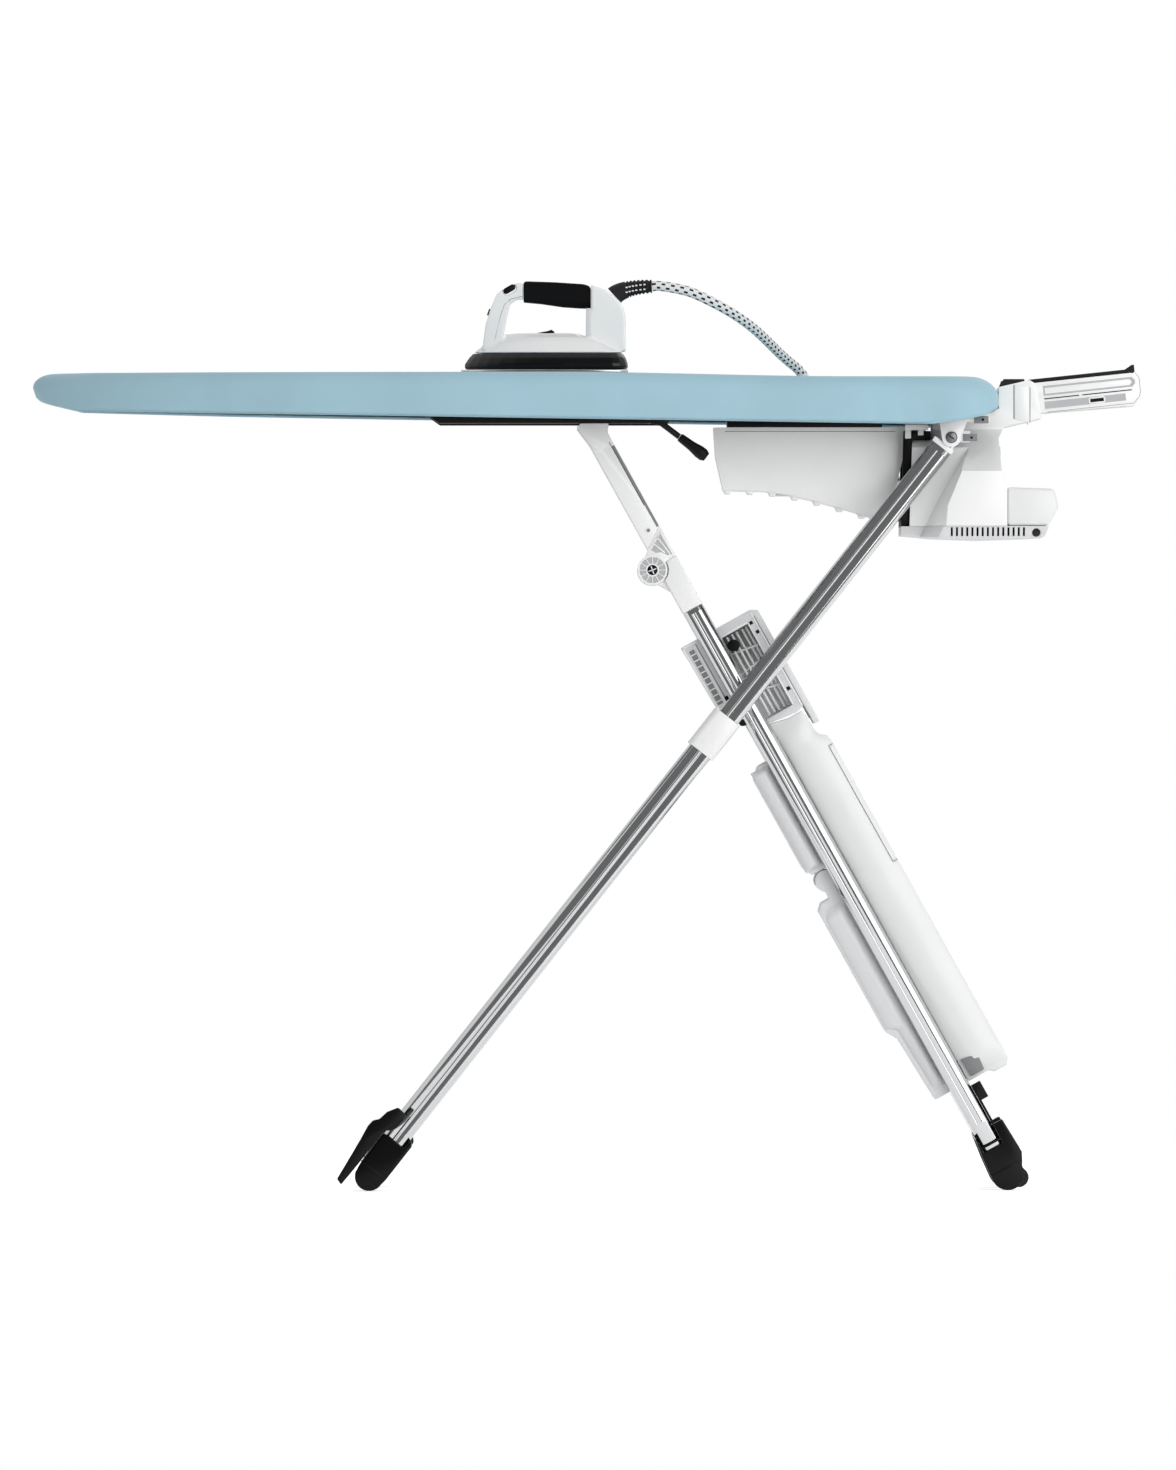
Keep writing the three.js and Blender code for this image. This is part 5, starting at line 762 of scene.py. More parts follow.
@dataclass(frozen=True)
class Studio:
    """The camera, the light and the floor."""

    mm_per_pixel: float = 1.25
    picture_width: int = 1176
    picture_height: int = 1470
    middle_column: float = 587.0
    floor_row: float = 1188.5
    distance: float = 30.0
    sensor: float = 36.0
    room_grey: float = 0.22

    def build(self) -> None:
        """Makes the whole studio, without the objects of Blender's own first scene."""
        for name in ("Cube", "Light", "Camera"):
            spare = bpy.data.objects.get(name)
            if spare is not None:
                bpy.data.objects.remove(spare)
        self.camera()
        self.world()
        self.lamps()
        self.floor()
        bpy.context.scene.view_settings.view_transform = "Standard"

    def camera(self) -> None:
        """Places a long lens straight in front of the table's near side."""
        pixel = self.mm_per_pixel * MM
        data = bpy.data.cameras.new("camera")
        data.sensor_width = self.sensor
        data.lens = self.sensor * self.distance / (self.picture_height * pixel)
        data.clip_end = 4 * self.distance
        made = bpy.data.objects.new("camera", data)
        x = (self.picture_width / 2 - self.middle_column) * pixel
        z = (self.floor_row - self.picture_height / 2) * pixel
        made.location = (x, -self.distance, z)
        made.rotation_euler = (math.pi / 2, 0.0, 0.0)
        bpy.context.scene.collection.objects.link(made)
        bpy.context.scene.camera = made

    def world(self) -> None:
        """Makes a white backdrop, an even fill, and the room that only gloss and metal mirror."""
        world = bpy.data.worlds.new("studio")
        bpy.context.scene.world = world
        world.use_nodes = True
        tree = world.node_tree
        tree.nodes.clear()
        ray = add_node(tree, "ShaderNodeLightPath")
        fill = add_node(tree, "ShaderNodeBackground", {"Color": linear("F6F7F8"), "Strength": 0.66})
        white = add_node(tree, "ShaderNodeBackground", {"Color": (1.0, 1.0, 1.0, 1.0), "Strength": 1.0})
        mirror = add_node(tree, "ShaderNodeBackground", {"Color": self.room(tree), "Strength": 1.0})
        metal = add_node(tree, "ShaderNodeMixShader", {
            0: ray.outputs["Is Glossy Ray"], 1: fill.outputs["Background"], 2: mirror.outputs["Background"],
        })
        seen = add_node(tree, "ShaderNodeMath", {
            0: ray.outputs["Is Camera Ray"], 1: ray.outputs["Is Transmission Ray"],
        }, operation="MAXIMUM")
        both = add_node(tree, "ShaderNodeMixShader", {
            0: seen.outputs["Value"], 1: metal.outputs["Shader"], 2: white.outputs["Background"],
        })
        add_node(tree, "ShaderNodeOutputWorld", {"Surface": both.outputs["Shader"]})

    def room(self, tree: bpy.types.NodeTree) -> bpy.types.NodeSocket:
        """Returns the studio's brightness by direction: white walls, darker at the user's side and behind."""
        way = add_node(tree, "ShaderNodeTexCoord")
        split = add_node(tree, "ShaderNodeSeparateXYZ", {"Vector": way.outputs["Generated"]})
        front = add_node(tree, "ShaderNodeMapRange", {
            "Value": split.outputs["Y"], "From Min": -0.7, "From Max": -0.1,
            "To Min": self.room_grey, "To Max": 1.0,
        })
        behind = add_node(tree, "ShaderNodeMapRange", {
            "Value": split.outputs["Y"], "From Min": 0.75, "From Max": 1.0, "To Min": 1.0, "To Max": 0.6,
        })
        both = add_node(tree, "ShaderNodeMath", {0: front.outputs["Result"], 1: behind.outputs["Result"]},
                        operation="MULTIPLY")
        return both.outputs["Value"]

    def lamps(self) -> None:
        """Hangs a large soft key lamp at the right front and a weaker one behind."""
        for name, place, power, size in (
            ("key", (2.6, -4.2, 1.7), 108.0, 3.6),
            ("back", (1.6, 3.2, 3.6), 44.0, 2.6),
        ):
            data = bpy.data.lights.new(name, "AREA")
            data.energy = power
            data.size = size
            lamp = bpy.data.objects.new(name, data)
            lamp.location = place
            aim = Vector((0.0, 0.0, 0.6)) - Vector(place)
            lamp.rotation_euler = aim.to_track_quat("-Z", "Y").to_euler()
            bpy.context.scene.collection.objects.link(lamp)

    def floor(self) -> None:
        """Lays a pale floor that keeps the table's shadow."""
        half = 3.0
        corners = [(-half, -half, 0.0), (half, -half, 0.0), (half, half, 0.0), (-half, half, 0.0)]
        finish = Finish("pale_floor", Slot.WHITE, "FAFAFA", 0.9)
        floor = mesh_piece("floor", corners, [(0, 1, 2, 3)], finish, None)
        tree = finish.material().node_tree
        shader = next(n for n in tree.nodes if n.type == "BSDF_PRINCIPLED")
        ray = add_node(tree, "ShaderNodeLightPath")
        seen = add_node(tree, "ShaderNodeMath", {
            0: ray.outputs["Is Camera Ray"], 1: ray.outputs["Is Glossy Ray"],
        }, operation="MAXIMUM")
        glow = add_node(tree, "ShaderNodeMath", {0: seen.outputs["Value"], 1: 0.5}, operation="MULTIPLY")
        shader.inputs["Emission Color"].default_value = (1.0, 1.0, 1.0, 1.0)
        tree.links.new(glow.outputs["Value"], shader.inputs["Emission Strength"])


@dataclass(frozen=True)
class HosePath:
    """The free steam hose: its route is the CAD hose's, point by point."""

    diameter: float = 12.5 * MM
    sides: int = 24
    dash_pitch: float = 11.5 * MM
    dash_rows: int = 8
    start: Point = (81.375, 0.0, 1127.74)
    lead_in: Point = (87.625, 0.0, 1128.26)
    route: tuple[Point, ...] = (
        (104, 0.4, 1126.3), (128, 3, 1121), (152, 10, 1110.5), (176, 26, 1098),
        (197, 52, 1085), (214, 83, 1072), (229, 117, 1058.5), (243, 151, 1045.5),
        (255, 178, 1035.5), (267, 201, 1025.5), (278, 216.5, 1010), (289, 223, 990),
        (301, 225, 967), (315, 225, 944), (332, 223.5, 921.5), (354, 219, 901.5),
        (381, 212, 889), (409, 203, 883.5), (435, 195, 883.5),
    )
    lead_out: Point = (456.7, 189.0, 885.6)
    end: Point = (469.2, 189.0, 885.6)
    held_at: Point = (0.289, 0.223, 0.99)

    def line(self, steps: int = 10) -> np.ndarray:
        """Returns the smooth route through all its points, in metres."""
        given = np.array([self.start, self.lead_in, *self.route, self.lead_out, self.end], float) * MM
        padded = np.vstack([2 * given[0] - given[1], given, 2 * given[-1] - given[-2]])
        found = []
        for i in range(1, len(padded) - 2):
            four = padded[i - 1 : i + 3]
            knots = np.concatenate([[0.0], np.cumsum(np.sqrt(np.linalg.norm(np.diff(four, axis=0), axis=1)))])
            for step in range(steps):
                at = knots[1] + (knots[2] - knots[1]) * step / steps
                level = list(four)
                for depth in (1, 2, 3):
                    level = [
                        ((knots[k + depth] - at) * level[k] + (at - knots[k]) * level[k + 1])
                        / (knots[k + depth] - knots[k])
                        for k in range(len(level) - 1)
                    ]
                found.append(level[0])
        found.append(padded[-2])
        return np.array(found)

    def build(self) -> None:
        """Sweeps the hose along its route with a map for its braid."""
        line = self.line()
        rings = sweep(line, lambda _: self.diameter / 2, self.sides)
        points, faces = loft(rings)
        hose = mesh_piece("braided_hose", points, faces, BRAID, 60.0)
        lengths = np.concatenate([[0.0], np.cumsum(np.linalg.norm(np.diff(line, axis=0), axis=1))])
        self.map_braid(hose, line, lengths)
        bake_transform(hose)
        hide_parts("steam_hose")
        log.info("hose length %.4f m", lengths[-1])

    def map_braid(self, hose: bpy.types.Object, line: np.ndarray, lengths: np.ndarray) -> None:
        """Writes how far along and around the hose each corner lies."""
        layer = hose.data.uv_layers.new(name="cloth")
        mesh = hose.data
        place = np.array([v.co for v in mesh.vertices])
        nearest = np.array([np.argmin(np.linalg.norm(line - p, axis=1)) for p in place])
        tangent = np.gradient(line, axis=0)
        tangent /= np.linalg.norm(tangent, axis=1)[:, None]
        side = np.cross(tangent, (0.0, 0.0, 1.0))
        side /= np.linalg.norm(side, axis=1)[:, None]
        up = np.cross(side, tangent)
        out = place - line[nearest]
        angle = np.arctan2((out * up[nearest]).sum(1), (out * side[nearest]).sum(1))
        along = lengths[nearest] / self.dash_pitch
        for face in mesh.polygons:
            turns = [angle[mesh.loops[i].vertex_index] for i in face.loop_indices]
            wraps = max(turns) - min(turns) > math.pi
            for loop, turn in zip(face.loop_indices, turns):
                if wraps and turn < 0:
                    turn += 2 * math.pi
                vertex = mesh.loops[loop].vertex_index
                layer.data[loop].uv = (along[vertex], turn / (2 * math.pi) * self.dash_rows)


def sweep(line: np.ndarray, radius: Callable[[float], float], sides: int) -> list[list[Point]]:
    """Carries a round section along a line without twisting it.

    Args:
        line: Points of the centreline.
        radius: The radius by share of the line's points.
        sides: Number of points round the section.

    Returns:
        Rings of points.
    """
    tangent = np.gradient(line, axis=0)
    tangent /= np.linalg.norm(tangent, axis=1)[:, None]
    side = np.cross(tangent[0], (0.0, 0.0, 1.0))
    if np.linalg.norm(side) < 0.1:
        side = np.cross(tangent[0], (0.0, 1.0, 0.0))
    rings = []
    for i, (middle, way) in enumerate(zip(line, tangent)):
        side = side - way * side.dot(way)
        side /= np.linalg.norm(side)
        up = np.cross(side, way)
        size = radius(i / max(1, len(line) - 1))
        rings.append([
            tuple(middle + size * (math.cos(a) * side + math.sin(a) * up))
            for a in (2 * math.pi * k / sides for k in range(sides))
        ])
    return rings


@dataclass(frozen=True)
class PaddedBoard:
    """The board: its stretched cover, the foam under it, and the metal tray and deck."""

    taper_length: float = 560 * MM
    nose_width: float = 260 * MM
    corner_radius: float = 62 * MM
    cloth: float = 1.2 * MM
    foam_gap: float = 3.0 * MM
    foam_thickness: float = 13 * MM
    top_sag: float = 5.5 * MM
    sag_from: float = 655 * MM
    sag_run: float = 370 * MM
    shoulder: float = 17 * MM
    nose_shoulder: float = 27 * MM
    rear_shoulder: float = 36 * MM
    rear_shoulder_drop: float = 29 * MM
    end_run: float = 90 * MM
    hem_lip: float = 14 * MM
    nose_undercut: float = 11 * MM
    undercut: float = 1.2 * MM
    toe_run: float = 52 * MM
    rear_lip: float = 3.2 * MM
    lip_fade_end: float = 84 * MM
    lip_fade_run: float = 28 * MM
    casing_inset: float = 1.2 * MM
    casing_lift: float = 0.2 * MM
    casing_radius: float = 1.9 * MM
    casing_sides: int = 8
    foam_drop: float = 2.8 * MM
    foam_edge: float = 0.4 * MM
    quilt_height: float = 0.25 * MM
    quilt_edges: tuple[float, float] = (20 * MM, 70 * MM)
    creases: tuple[float, float] = (223.5 * MM, 238.5 * MM)
    crease_width: float = 3.5 * MM
    crease_depth: float = 0.9 * MM
    hem_drops: tuple[Point, ...] = (
        (0, 35), (52, 46), (246, 50), (1121, 63.5), (1159, 58.6), (1190, 52.4), (1205, 44),
    )
    step: float = 6 * MM
    rungs: int = 44

    @cached_property
    def nose(self) -> float:
        """X of the board's nose."""
        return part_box("board_cover")[0].x

    @cached_property
    def rear(self) -> float:
        """X of the board's rear edge."""
        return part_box("board_cover")[1].x

    @cached_property
    def half(self) -> float:
        """Half the board's width."""
        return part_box("board_cover")[1].y

    @cached_property
    def top(self) -> float:
        """Height of the flat top."""
        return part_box("board_cover")[1].z

    def hem(self, x: float) -> float:
        """Returns the height of the hem at a place along the board."""
        runs, drops = np.array(self.hem_drops).T * MM
        return self.top - float(np.interp(x - self.nose, runs, drops))

    def top_at(self, x: float) -> float:
        """Returns the height of the flat top at a place along the board."""
        begin = self.nose + self.sag_from
        return self.top - self.top_sag * smoothstep(x, begin, begin + self.sag_run)

    def side_line(self) -> np.ndarray:
        """Returns the far half of the plan, from the nose to the end of the rear corner."""
        nose, rear, half = self.nose, self.rear, self.half
        t = np.linspace(0, 1, 200)[:, None]
        corners = np.array([
            (nose, 0), (nose, self.nose_width / 2), (nose + self.taper_length / 2, half),
            (nose + self.taper_length, half),
        ])
        curve = ((1 - t) ** 3 * corners[0] + 3 * t * (1 - t) ** 2 * corners[1]
                 + 3 * t * t * (1 - t) * corners[2] + t ** 3 * corners[3])
        turn = np.linspace(math.pi / 2, 0, 24)[:, None]
        r = self.corner_radius
        corner = np.hstack([rear - r + r * np.cos(turn), half - r + r * np.sin(turn)])
        line = np.vstack([curve, [(rear - r, half)], corner[1:]])
        gone = np.concatenate([[0.0], np.cumsum(np.linalg.norm(np.diff(line, axis=0), axis=1))])
        count = int(gone[-1] / self.step)
        even = np.linspace(0, gone[-1], count)
        return np.column_stack([np.interp(even, gone, line[:, 0]), np.interp(even, gone, line[:, 1])])

    def plan(self) -> tuple[np.ndarray, int]:
        """Returns the closed plan and the number of points on one side."""
        far = self.side_line()
        across = np.linspace(far[-1, 1], -far[-1, 1], self.rungs + 1)[1:-1]
        rear = np.column_stack([np.full(len(across), far[-1, 0]), across])
        near = far[1:][::-1] * (1, -1)
        return np.vstack([far, rear, near]), len(far)

    def normals(self, plan: np.ndarray) -> np.ndarray:
        """Returns the inward direction at each point of a closed plan."""
        along = np.roll(plan, -1, axis=0) - np.roll(plan, 1, axis=0)
        along /= np.linalg.norm(along, axis=1)[:, None]
        inward = np.column_stack([along[:, 1], -along[:, 0]])
        return inward

    def profile(self, x: float, depth: float) -> list[tuple[float, float]]:
        """Returns the section from the flat top to the hem lip, as insets and heights.

        Args:
            x: Place along the board.
            depth: Distance under the cover's outer face.

        Returns:
            Pairs of inset and height, from the top's edge to the lip's inner edge.
        """
        nose = 1 - min(1.0, max(0.0, (x - self.nose) / self.end_run))
        rear = 1 - min(1.0, max(0.0, (self.rear - x) / self.end_run))
        width = self.shoulder + nose * (self.nose_shoulder - self.shoulder)
        width += rear * (self.rear_shoulder - self.shoulder)
        fall = self.shoulder + rear * (self.rear_shoulder_drop - self.shoulder)
        top, hem = self.top_at(x) - depth, self.hem(x)
        found = []
        for k in range(9):
            turn = math.pi / 2 * k / 8
            inset = depth + (width - depth) * (1 - math.sin(turn))
            found.append((inset, top - (fall - depth) * (1 - math.cos(turn))))
        toe = 1 - min(1.0, max(0.0, (x - self.nose) / self.toe_run))
        under = self.undercut + toe * toe * self.nose_undercut
        low = hem + 5 * MM + under
        for share in (0.2, 0.4, 0.6, 0.8, 1.0):
            found.append((depth, found[8][1] + share * (low - found[8][1])))
        found.append((depth + under * 0.3, hem + 2.2 * MM + under * 0.3))
        found.append((depth + under * 0.75, hem + 0.4 * MM))
        found.append((depth + under + 2 * MM, hem))
        lip = self.lip(x)
        for share in (0.5, 1.0):
            found.append((depth + under + 2 * MM + share * (lip - 2 * MM), hem + 0.2 * MM * share))
        return found

    def lip(self, x: float) -> float:
        """Returns how far the hem turns in under the board."""
        end = self.rear - self.lip_fade_end
        fade = min(1.0, max(0.0, (x - end + self.lip_fade_run) / self.lip_fade_run))
        return self.hem_lip + (self.rear_lip - self.hem_lip) * fade

    def skin(self, depth: float) -> tuple[list[Point], list[Face]]:
        """Makes the board's skin at a depth: the side rings, and rungs across the top.

        Args:
            depth: Distance under the cover's outer face.

        Returns:
            Points and faces.
        """
        plan, side = self.plan()
        inward = self.normals(plan)
        levels = [self.profile(x, depth) for x in plan[:, 0]]
        count = len(plan)
        gone = np.concatenate([[0.0], np.cumsum(np.linalg.norm(np.diff(plan, axis=0), axis=1))])
        rings = []
        for k in range(len(levels[0])):
            ring = []
            for i in range(count):
                drawn, height = levels[i][k]
                push, lift = self.pucker(plan[i], gone[i], k, len(levels[0])) if depth == 0 else (0.0, 0.0)
                x, y = plan[i] + inward[i] * (drawn + push)
                ring.append((x, y, height + lift))
            rings.append(ring)
        points, faces = loft(rings, capped=False)
        top_ring = rings[0]
        rows = [[0]]
        for i in range(1, side):
            a, b = i, count - i
            if i == side - 1:
                rows.append(list(range(a, b + 1)))
                continue
            ends = (np.array(top_ring[a]), np.array(top_ring[b]))
            row = [a]
            for k in range(1, self.rungs):
                p = ends[0] + (ends[1] - ends[0]) * k / self.rungs
                row.append(len(points))
                points.append((p[0], p[1], p[2] + self.quilt(p[0], p[1])))
            rows.append([*row, b])
        for k in range(self.rungs):
            faces.append((0, rows[1][k], rows[1][k + 1]))
        for above, below in zip(rows[1:], rows[2:]):
            for k in range(self.rungs):
                faces.append((above[k], below[k], below[k + 1], above[k + 1]))
        return points, faces

    def quilt(self, x: float, y: float) -> float:
        """Returns the slight unevenness of cloth over foam."""
        edge = smoothstep(self.half - abs(y), *self.quilt_edges)
        waves = (math.sin(x * 61 + 1.3) * math.sin(y * 47 + x * 13) + 0.6 * math.sin(x * 23 - y * 31))
        return self.quilt_height * edge * waves

    def pucker(self, place: np.ndarray, gone: float, level: int, levels: int) -> tuple[float, float]:
        """Returns how the elastic hem gathers the cloth at one point of a side ring.

        Args:
            place: The point of the plan.
            gone: Distance along the plan.
            level: Which ring it is, from the top's edge to the lip.
            levels: Number of rings.

        Returns:
            The push inwards and the lift, in metres.
        """
        x = place[0]
        down = max(0.0, (level - 8) / (levels - 9))
        broad = math.sin(gone * 74 + 1.1 * math.sin(gone * 17)) * 0.5 + 0.5
        fine = math.sin(gone * 260 + 2.0 * math.sin(gone * 41))
        rear = smoothstep(x, self.rear - 0.21, self.rear - 0.14)
        rear *= 1 - smoothstep(x, self.rear - 0.08, self.rear - 0.05)
        folds = math.sin((gone + 0.35 * down * 0.04) * 185) * rear
        push = down ** 1.5 * (0.35 * MM * broad + 0.18 * MM * fine) + down ** 1.2 * 2.0 * MM * max(0.0, folds)
        for crease in self.creases:
            near = math.exp(-(((x - (self.nose + crease)) / self.crease_width) ** 2))
            push += self.crease_depth * near * (1 - down)
        lift = down ** 2 * (0.5 * MM * broad - 0.3 * MM * max(0.0, folds))
        return push, lift

    def build(self) -> None:
        """Makes the cover, its hem cord and the foam, and dresses the metal."""
        cover = self.cover()
        hem = self.hem_cord()
        self.foam()
        size = sum(f.area for f in cover.data.polygons) / 2
        log.info("cover area %.4f m2", size)
        for node in ("board_tray", "mesh_deck"):
            soften_node(node, STEEL, 0.4 * MM, 1)

    def cover(self) -> bpy.types.Object:
        """Makes the stretched cover, which wraps the rim and turns in under it."""
        points, faces = self.skin(0.0)
        cover = mesh_piece("cotton_cover", points, faces, COTTON, 70.0)
        wall = cover.modifiers.new("cloth", "SOLIDIFY")
        wall.thickness = self.cloth
        wall.offset = -1.0
        evaluated(cover)
        layer = cover.data.uv_layers.new(name="cloth")
        for loop in cover.data.loops:
            p = cover.data.vertices[loop.vertex_index].co
            reach = abs(p.y) + (self.top - p.z)
            layer.data[loop.index].uv = (p.x, math.copysign(reach, p.y))
        dress(cover, COTTON, "board", "board_cover")
        return cover

    def hem_cord(self) -> bpy.types.Object:
        """Makes the elastic cord's casing along the hem's inner edge."""
        plan, _ = self.plan()
        inward = self.normals(plan)
        line = []
        for i, (x, y) in enumerate(plan):
            drawn, height = self.profile(x, 0.0)[-1]
            px, py = np.array((x, y)) + inward[i] * (drawn - self.casing_inset)
            line.append((px, py, height + self.casing_lift))
        line.append(line[0])
        sides = self.casing_sides
        rings = sweep(np.array(line), lambda _: self.casing_radius, sides)[:-1]
        points, faces = loft(rings, capped=False)
        last = (len(rings) - 1) * sides
        faces += [(last + k, last + (k + 1) % sides, (k + 1) % sides, k) for k in range(sides)]
        cord = mesh_piece("cover_hem_casing", points, faces, COTTON, 60.0)
        layer = cord.data.uv_layers.new(name="cloth")
        for loop in cord.data.loops:
            p = cord.data.vertices[loop.vertex_index].co
            layer.data[loop.index].uv = (p.x, p.y)
        return dress(cord, COTTON, "board")

    def foam(self) -> bpy.types.Object:
        """Makes the foam layer between the deck and the cover."""
        plan, side = self.plan()
        inward = self.normals(plan)
        low = self.top - self.foam_drop - self.foam_thickness
        rings = []
        levels = [
            [(d, z) for d, z in self.profile(x, self.foam_gap)[:9] if z > low + self.foam_edge]
            for x in plan[:, 0]
        ]
        shared = min(len(level) for level in levels)
        for k in range(shared):
            rings.append([
                (*(plan[i] + inward[i] * levels[i][k][0]), levels[i][k][1])
                for i in range(len(plan))
            ])
        lowest = [(p[0], p[1], low) for p in rings[-1]]
        points, faces = loft([*rings, lowest], capped=False)
        count = len(plan)
        base = shared * count
        for start, turn in ((0, 1), (base, -1)):
            rows = [(start + i, start + (count - i) % count) for i in range(1, side)]
            for (a, b), (c, d) in zip(rows, rows[1:]):
                faces.append((a, c, d, b)[::turn])
            faces.append((start, rows[0][0], rows[0][1])[::turn])
            end = list(range(rows[-1][0], rows[-1][1] + 1))
            faces.append(tuple(end)[::turn])
        pad = mesh_piece("foam_layer", points, faces, FOAM, 40.0)
        dress(pad, FOAM, "board", "foam_pad")
        return pad


@dataclass(frozen=True)
class SteamIron:
    """The iron: body, grip, heat shield, sole, buttons and the hose's strain relief.

    Places in the tables are millimetres of X and Z, or of X, Y and Z.
    """

    shells: tuple[tuple[str, str, Finish, float, int], ...] = (
        ("iron_shell", "iron_body", WHITE, 1.25 * MM, 9),
        ("iron_grip_skin", "iron_grip", GRIP, 1.2 * MM, 8),
        ("iron_heat_shield", "heat_shield", GLOSS_BLACK, 1.2 * MM, 5),
    )
    looks: NodeLooks = (
        (("soleplate",), SOLE, 0.8 * MM, 3),
        (("steam_button", "front_button", "steam_slider"), BLACK, 0.7 * MM, 3),
    )
    post_seam: Places = ((-116, 1056.5), (-112, 1074), (-107, 1094), (-103, 1105), (-95, 1111.5), (-81, 1115))
    seam_width: float = 0.7 * MM
    post_face: float = 13.2 * MM
    seam_rise: float = 1.8 * MM
    column_strip: Places = ((-2, 1056), (5.5, 1054), (5.5, 1100), (-1, 1100))
    column_face: float = 20.6 * MM
    strip_rise: float = 1.7 * MM
    slider_thumb: Places = ((-62, 1069.6), (-40, 1069), (-44, 1073.6), (-50, 1071.6))
    thumb_face: float = 3 * MM
    thumb_rise: float = 1 * MM
    relief_route: Places = ((34.4, 0.0, 1116.0), (45.1, 0.0, 1126.2), (81.075, 0.0, 1127.74))
    relief_radii: tuple[float, float] = (12.3 * MM, 8.3 * MM)
    relief_sides: int = 32
    relief_steps: int = 90
    relief_ribs: int = 7
    ribs_start_share: float = 0.42
    ribs_run_share: float = 0.55
    rib_width_share: float = 0.62
    rib_depth: float = 1.3 * MM
    windows_start_share: float = 0.44
    window_place_share: float = 0.3
    window_face_share: float = 0.93
    window_half: tuple[float, float] = (1.3 * MM, 0.8 * MM)
    window_heights: tuple[float, float] = (-3.4 * MM, 2.6 * MM)
    window_rise: float = 0.9 * MM

    def build(self) -> None:
        """Makes all the iron's pieces."""
        for name, node, finish, voxel, passes in self.shells:
            dress(moulded(copy_of(name, finish, node), voxel, passes, finish), finish, "iron", node)
        soften_nodes(self.looks)
        self.fine_detail()
        self.relief()

    def fine_detail(self) -> None:
        """Adds a painted shade line along the post's parting line, the strip under the grip and the slider's
        thumb.
        """
        # Painted shade: a dark grey line stands proud along the post's parting line
        seam = FineDetail("iron_seam_painted_shade", DARK_GREY_AND_PAINTED_SHADE, "iron")
        seam.band(in_metres(self.post_seam), self.seam_width, self.post_face, self.seam_rise)
        seam.build()
        strip = FineDetail("iron_column_strip", GREY, "iron")
        strip.slab(in_metres(self.column_strip), self.column_face, self.strip_rise)
        strip.build(0.6 * MM)
        thumb = FineDetail("iron_slider_thumb", BLACK, "iron")
        thumb.slab(in_metres(self.slider_thumb), self.thumb_face, self.thumb_rise)
        thumb.build(0.5 * MM)

    def relief_radius(self, share: float) -> float:
        """Returns the strain relief's radius, by share of its length."""
        first, last = self.relief_radii
        plain = first + (last - first) * share
        gone = (share - self.ribs_start_share) / self.ribs_run_share
        if not 0 < gone < 1:
            return plain
        return plain - self.rib_depth * (gone * self.relief_ribs % 1.0 > self.rib_width_share)

    def relief(self) -> None:
        """Makes the strain relief: a bent cone, ribbed on its outer half, with pale plates between ribs."""
        t = np.linspace(0, 1, self.relief_steps)[:, None]
        a, b, c = (np.array(place) * MM for place in self.relief_route)
        line = (1 - t) ** 2 * a + 2 * t * (1 - t) * b + t * t * c
        points, faces = loft(sweep(line, self.relief_radius, self.relief_sides))
        dress(mesh_piece("hose_strain_relief", points, faces, RUBBER, 50.0), RUBBER, "iron", "hose_relief")
        windows = FineDetail("relief_windows", WHITE, "iron")
        wide, high = self.window_half
        for rib in range(self.relief_ribs - 1):
            gone = (rib + self.window_place_share) / self.relief_ribs
            share = self.windows_start_share + gone * self.ribs_run_share
            x, _, z = line[int(share * len(line))]
            face = self.relief_radius(share) * self.window_face_share
            for middle in (z + height for height in self.window_heights):
                corners = rectangle(x - wide, x + wide, middle - high, middle + high)
                windows.slab(corners, face, self.window_rise)
        windows.build()


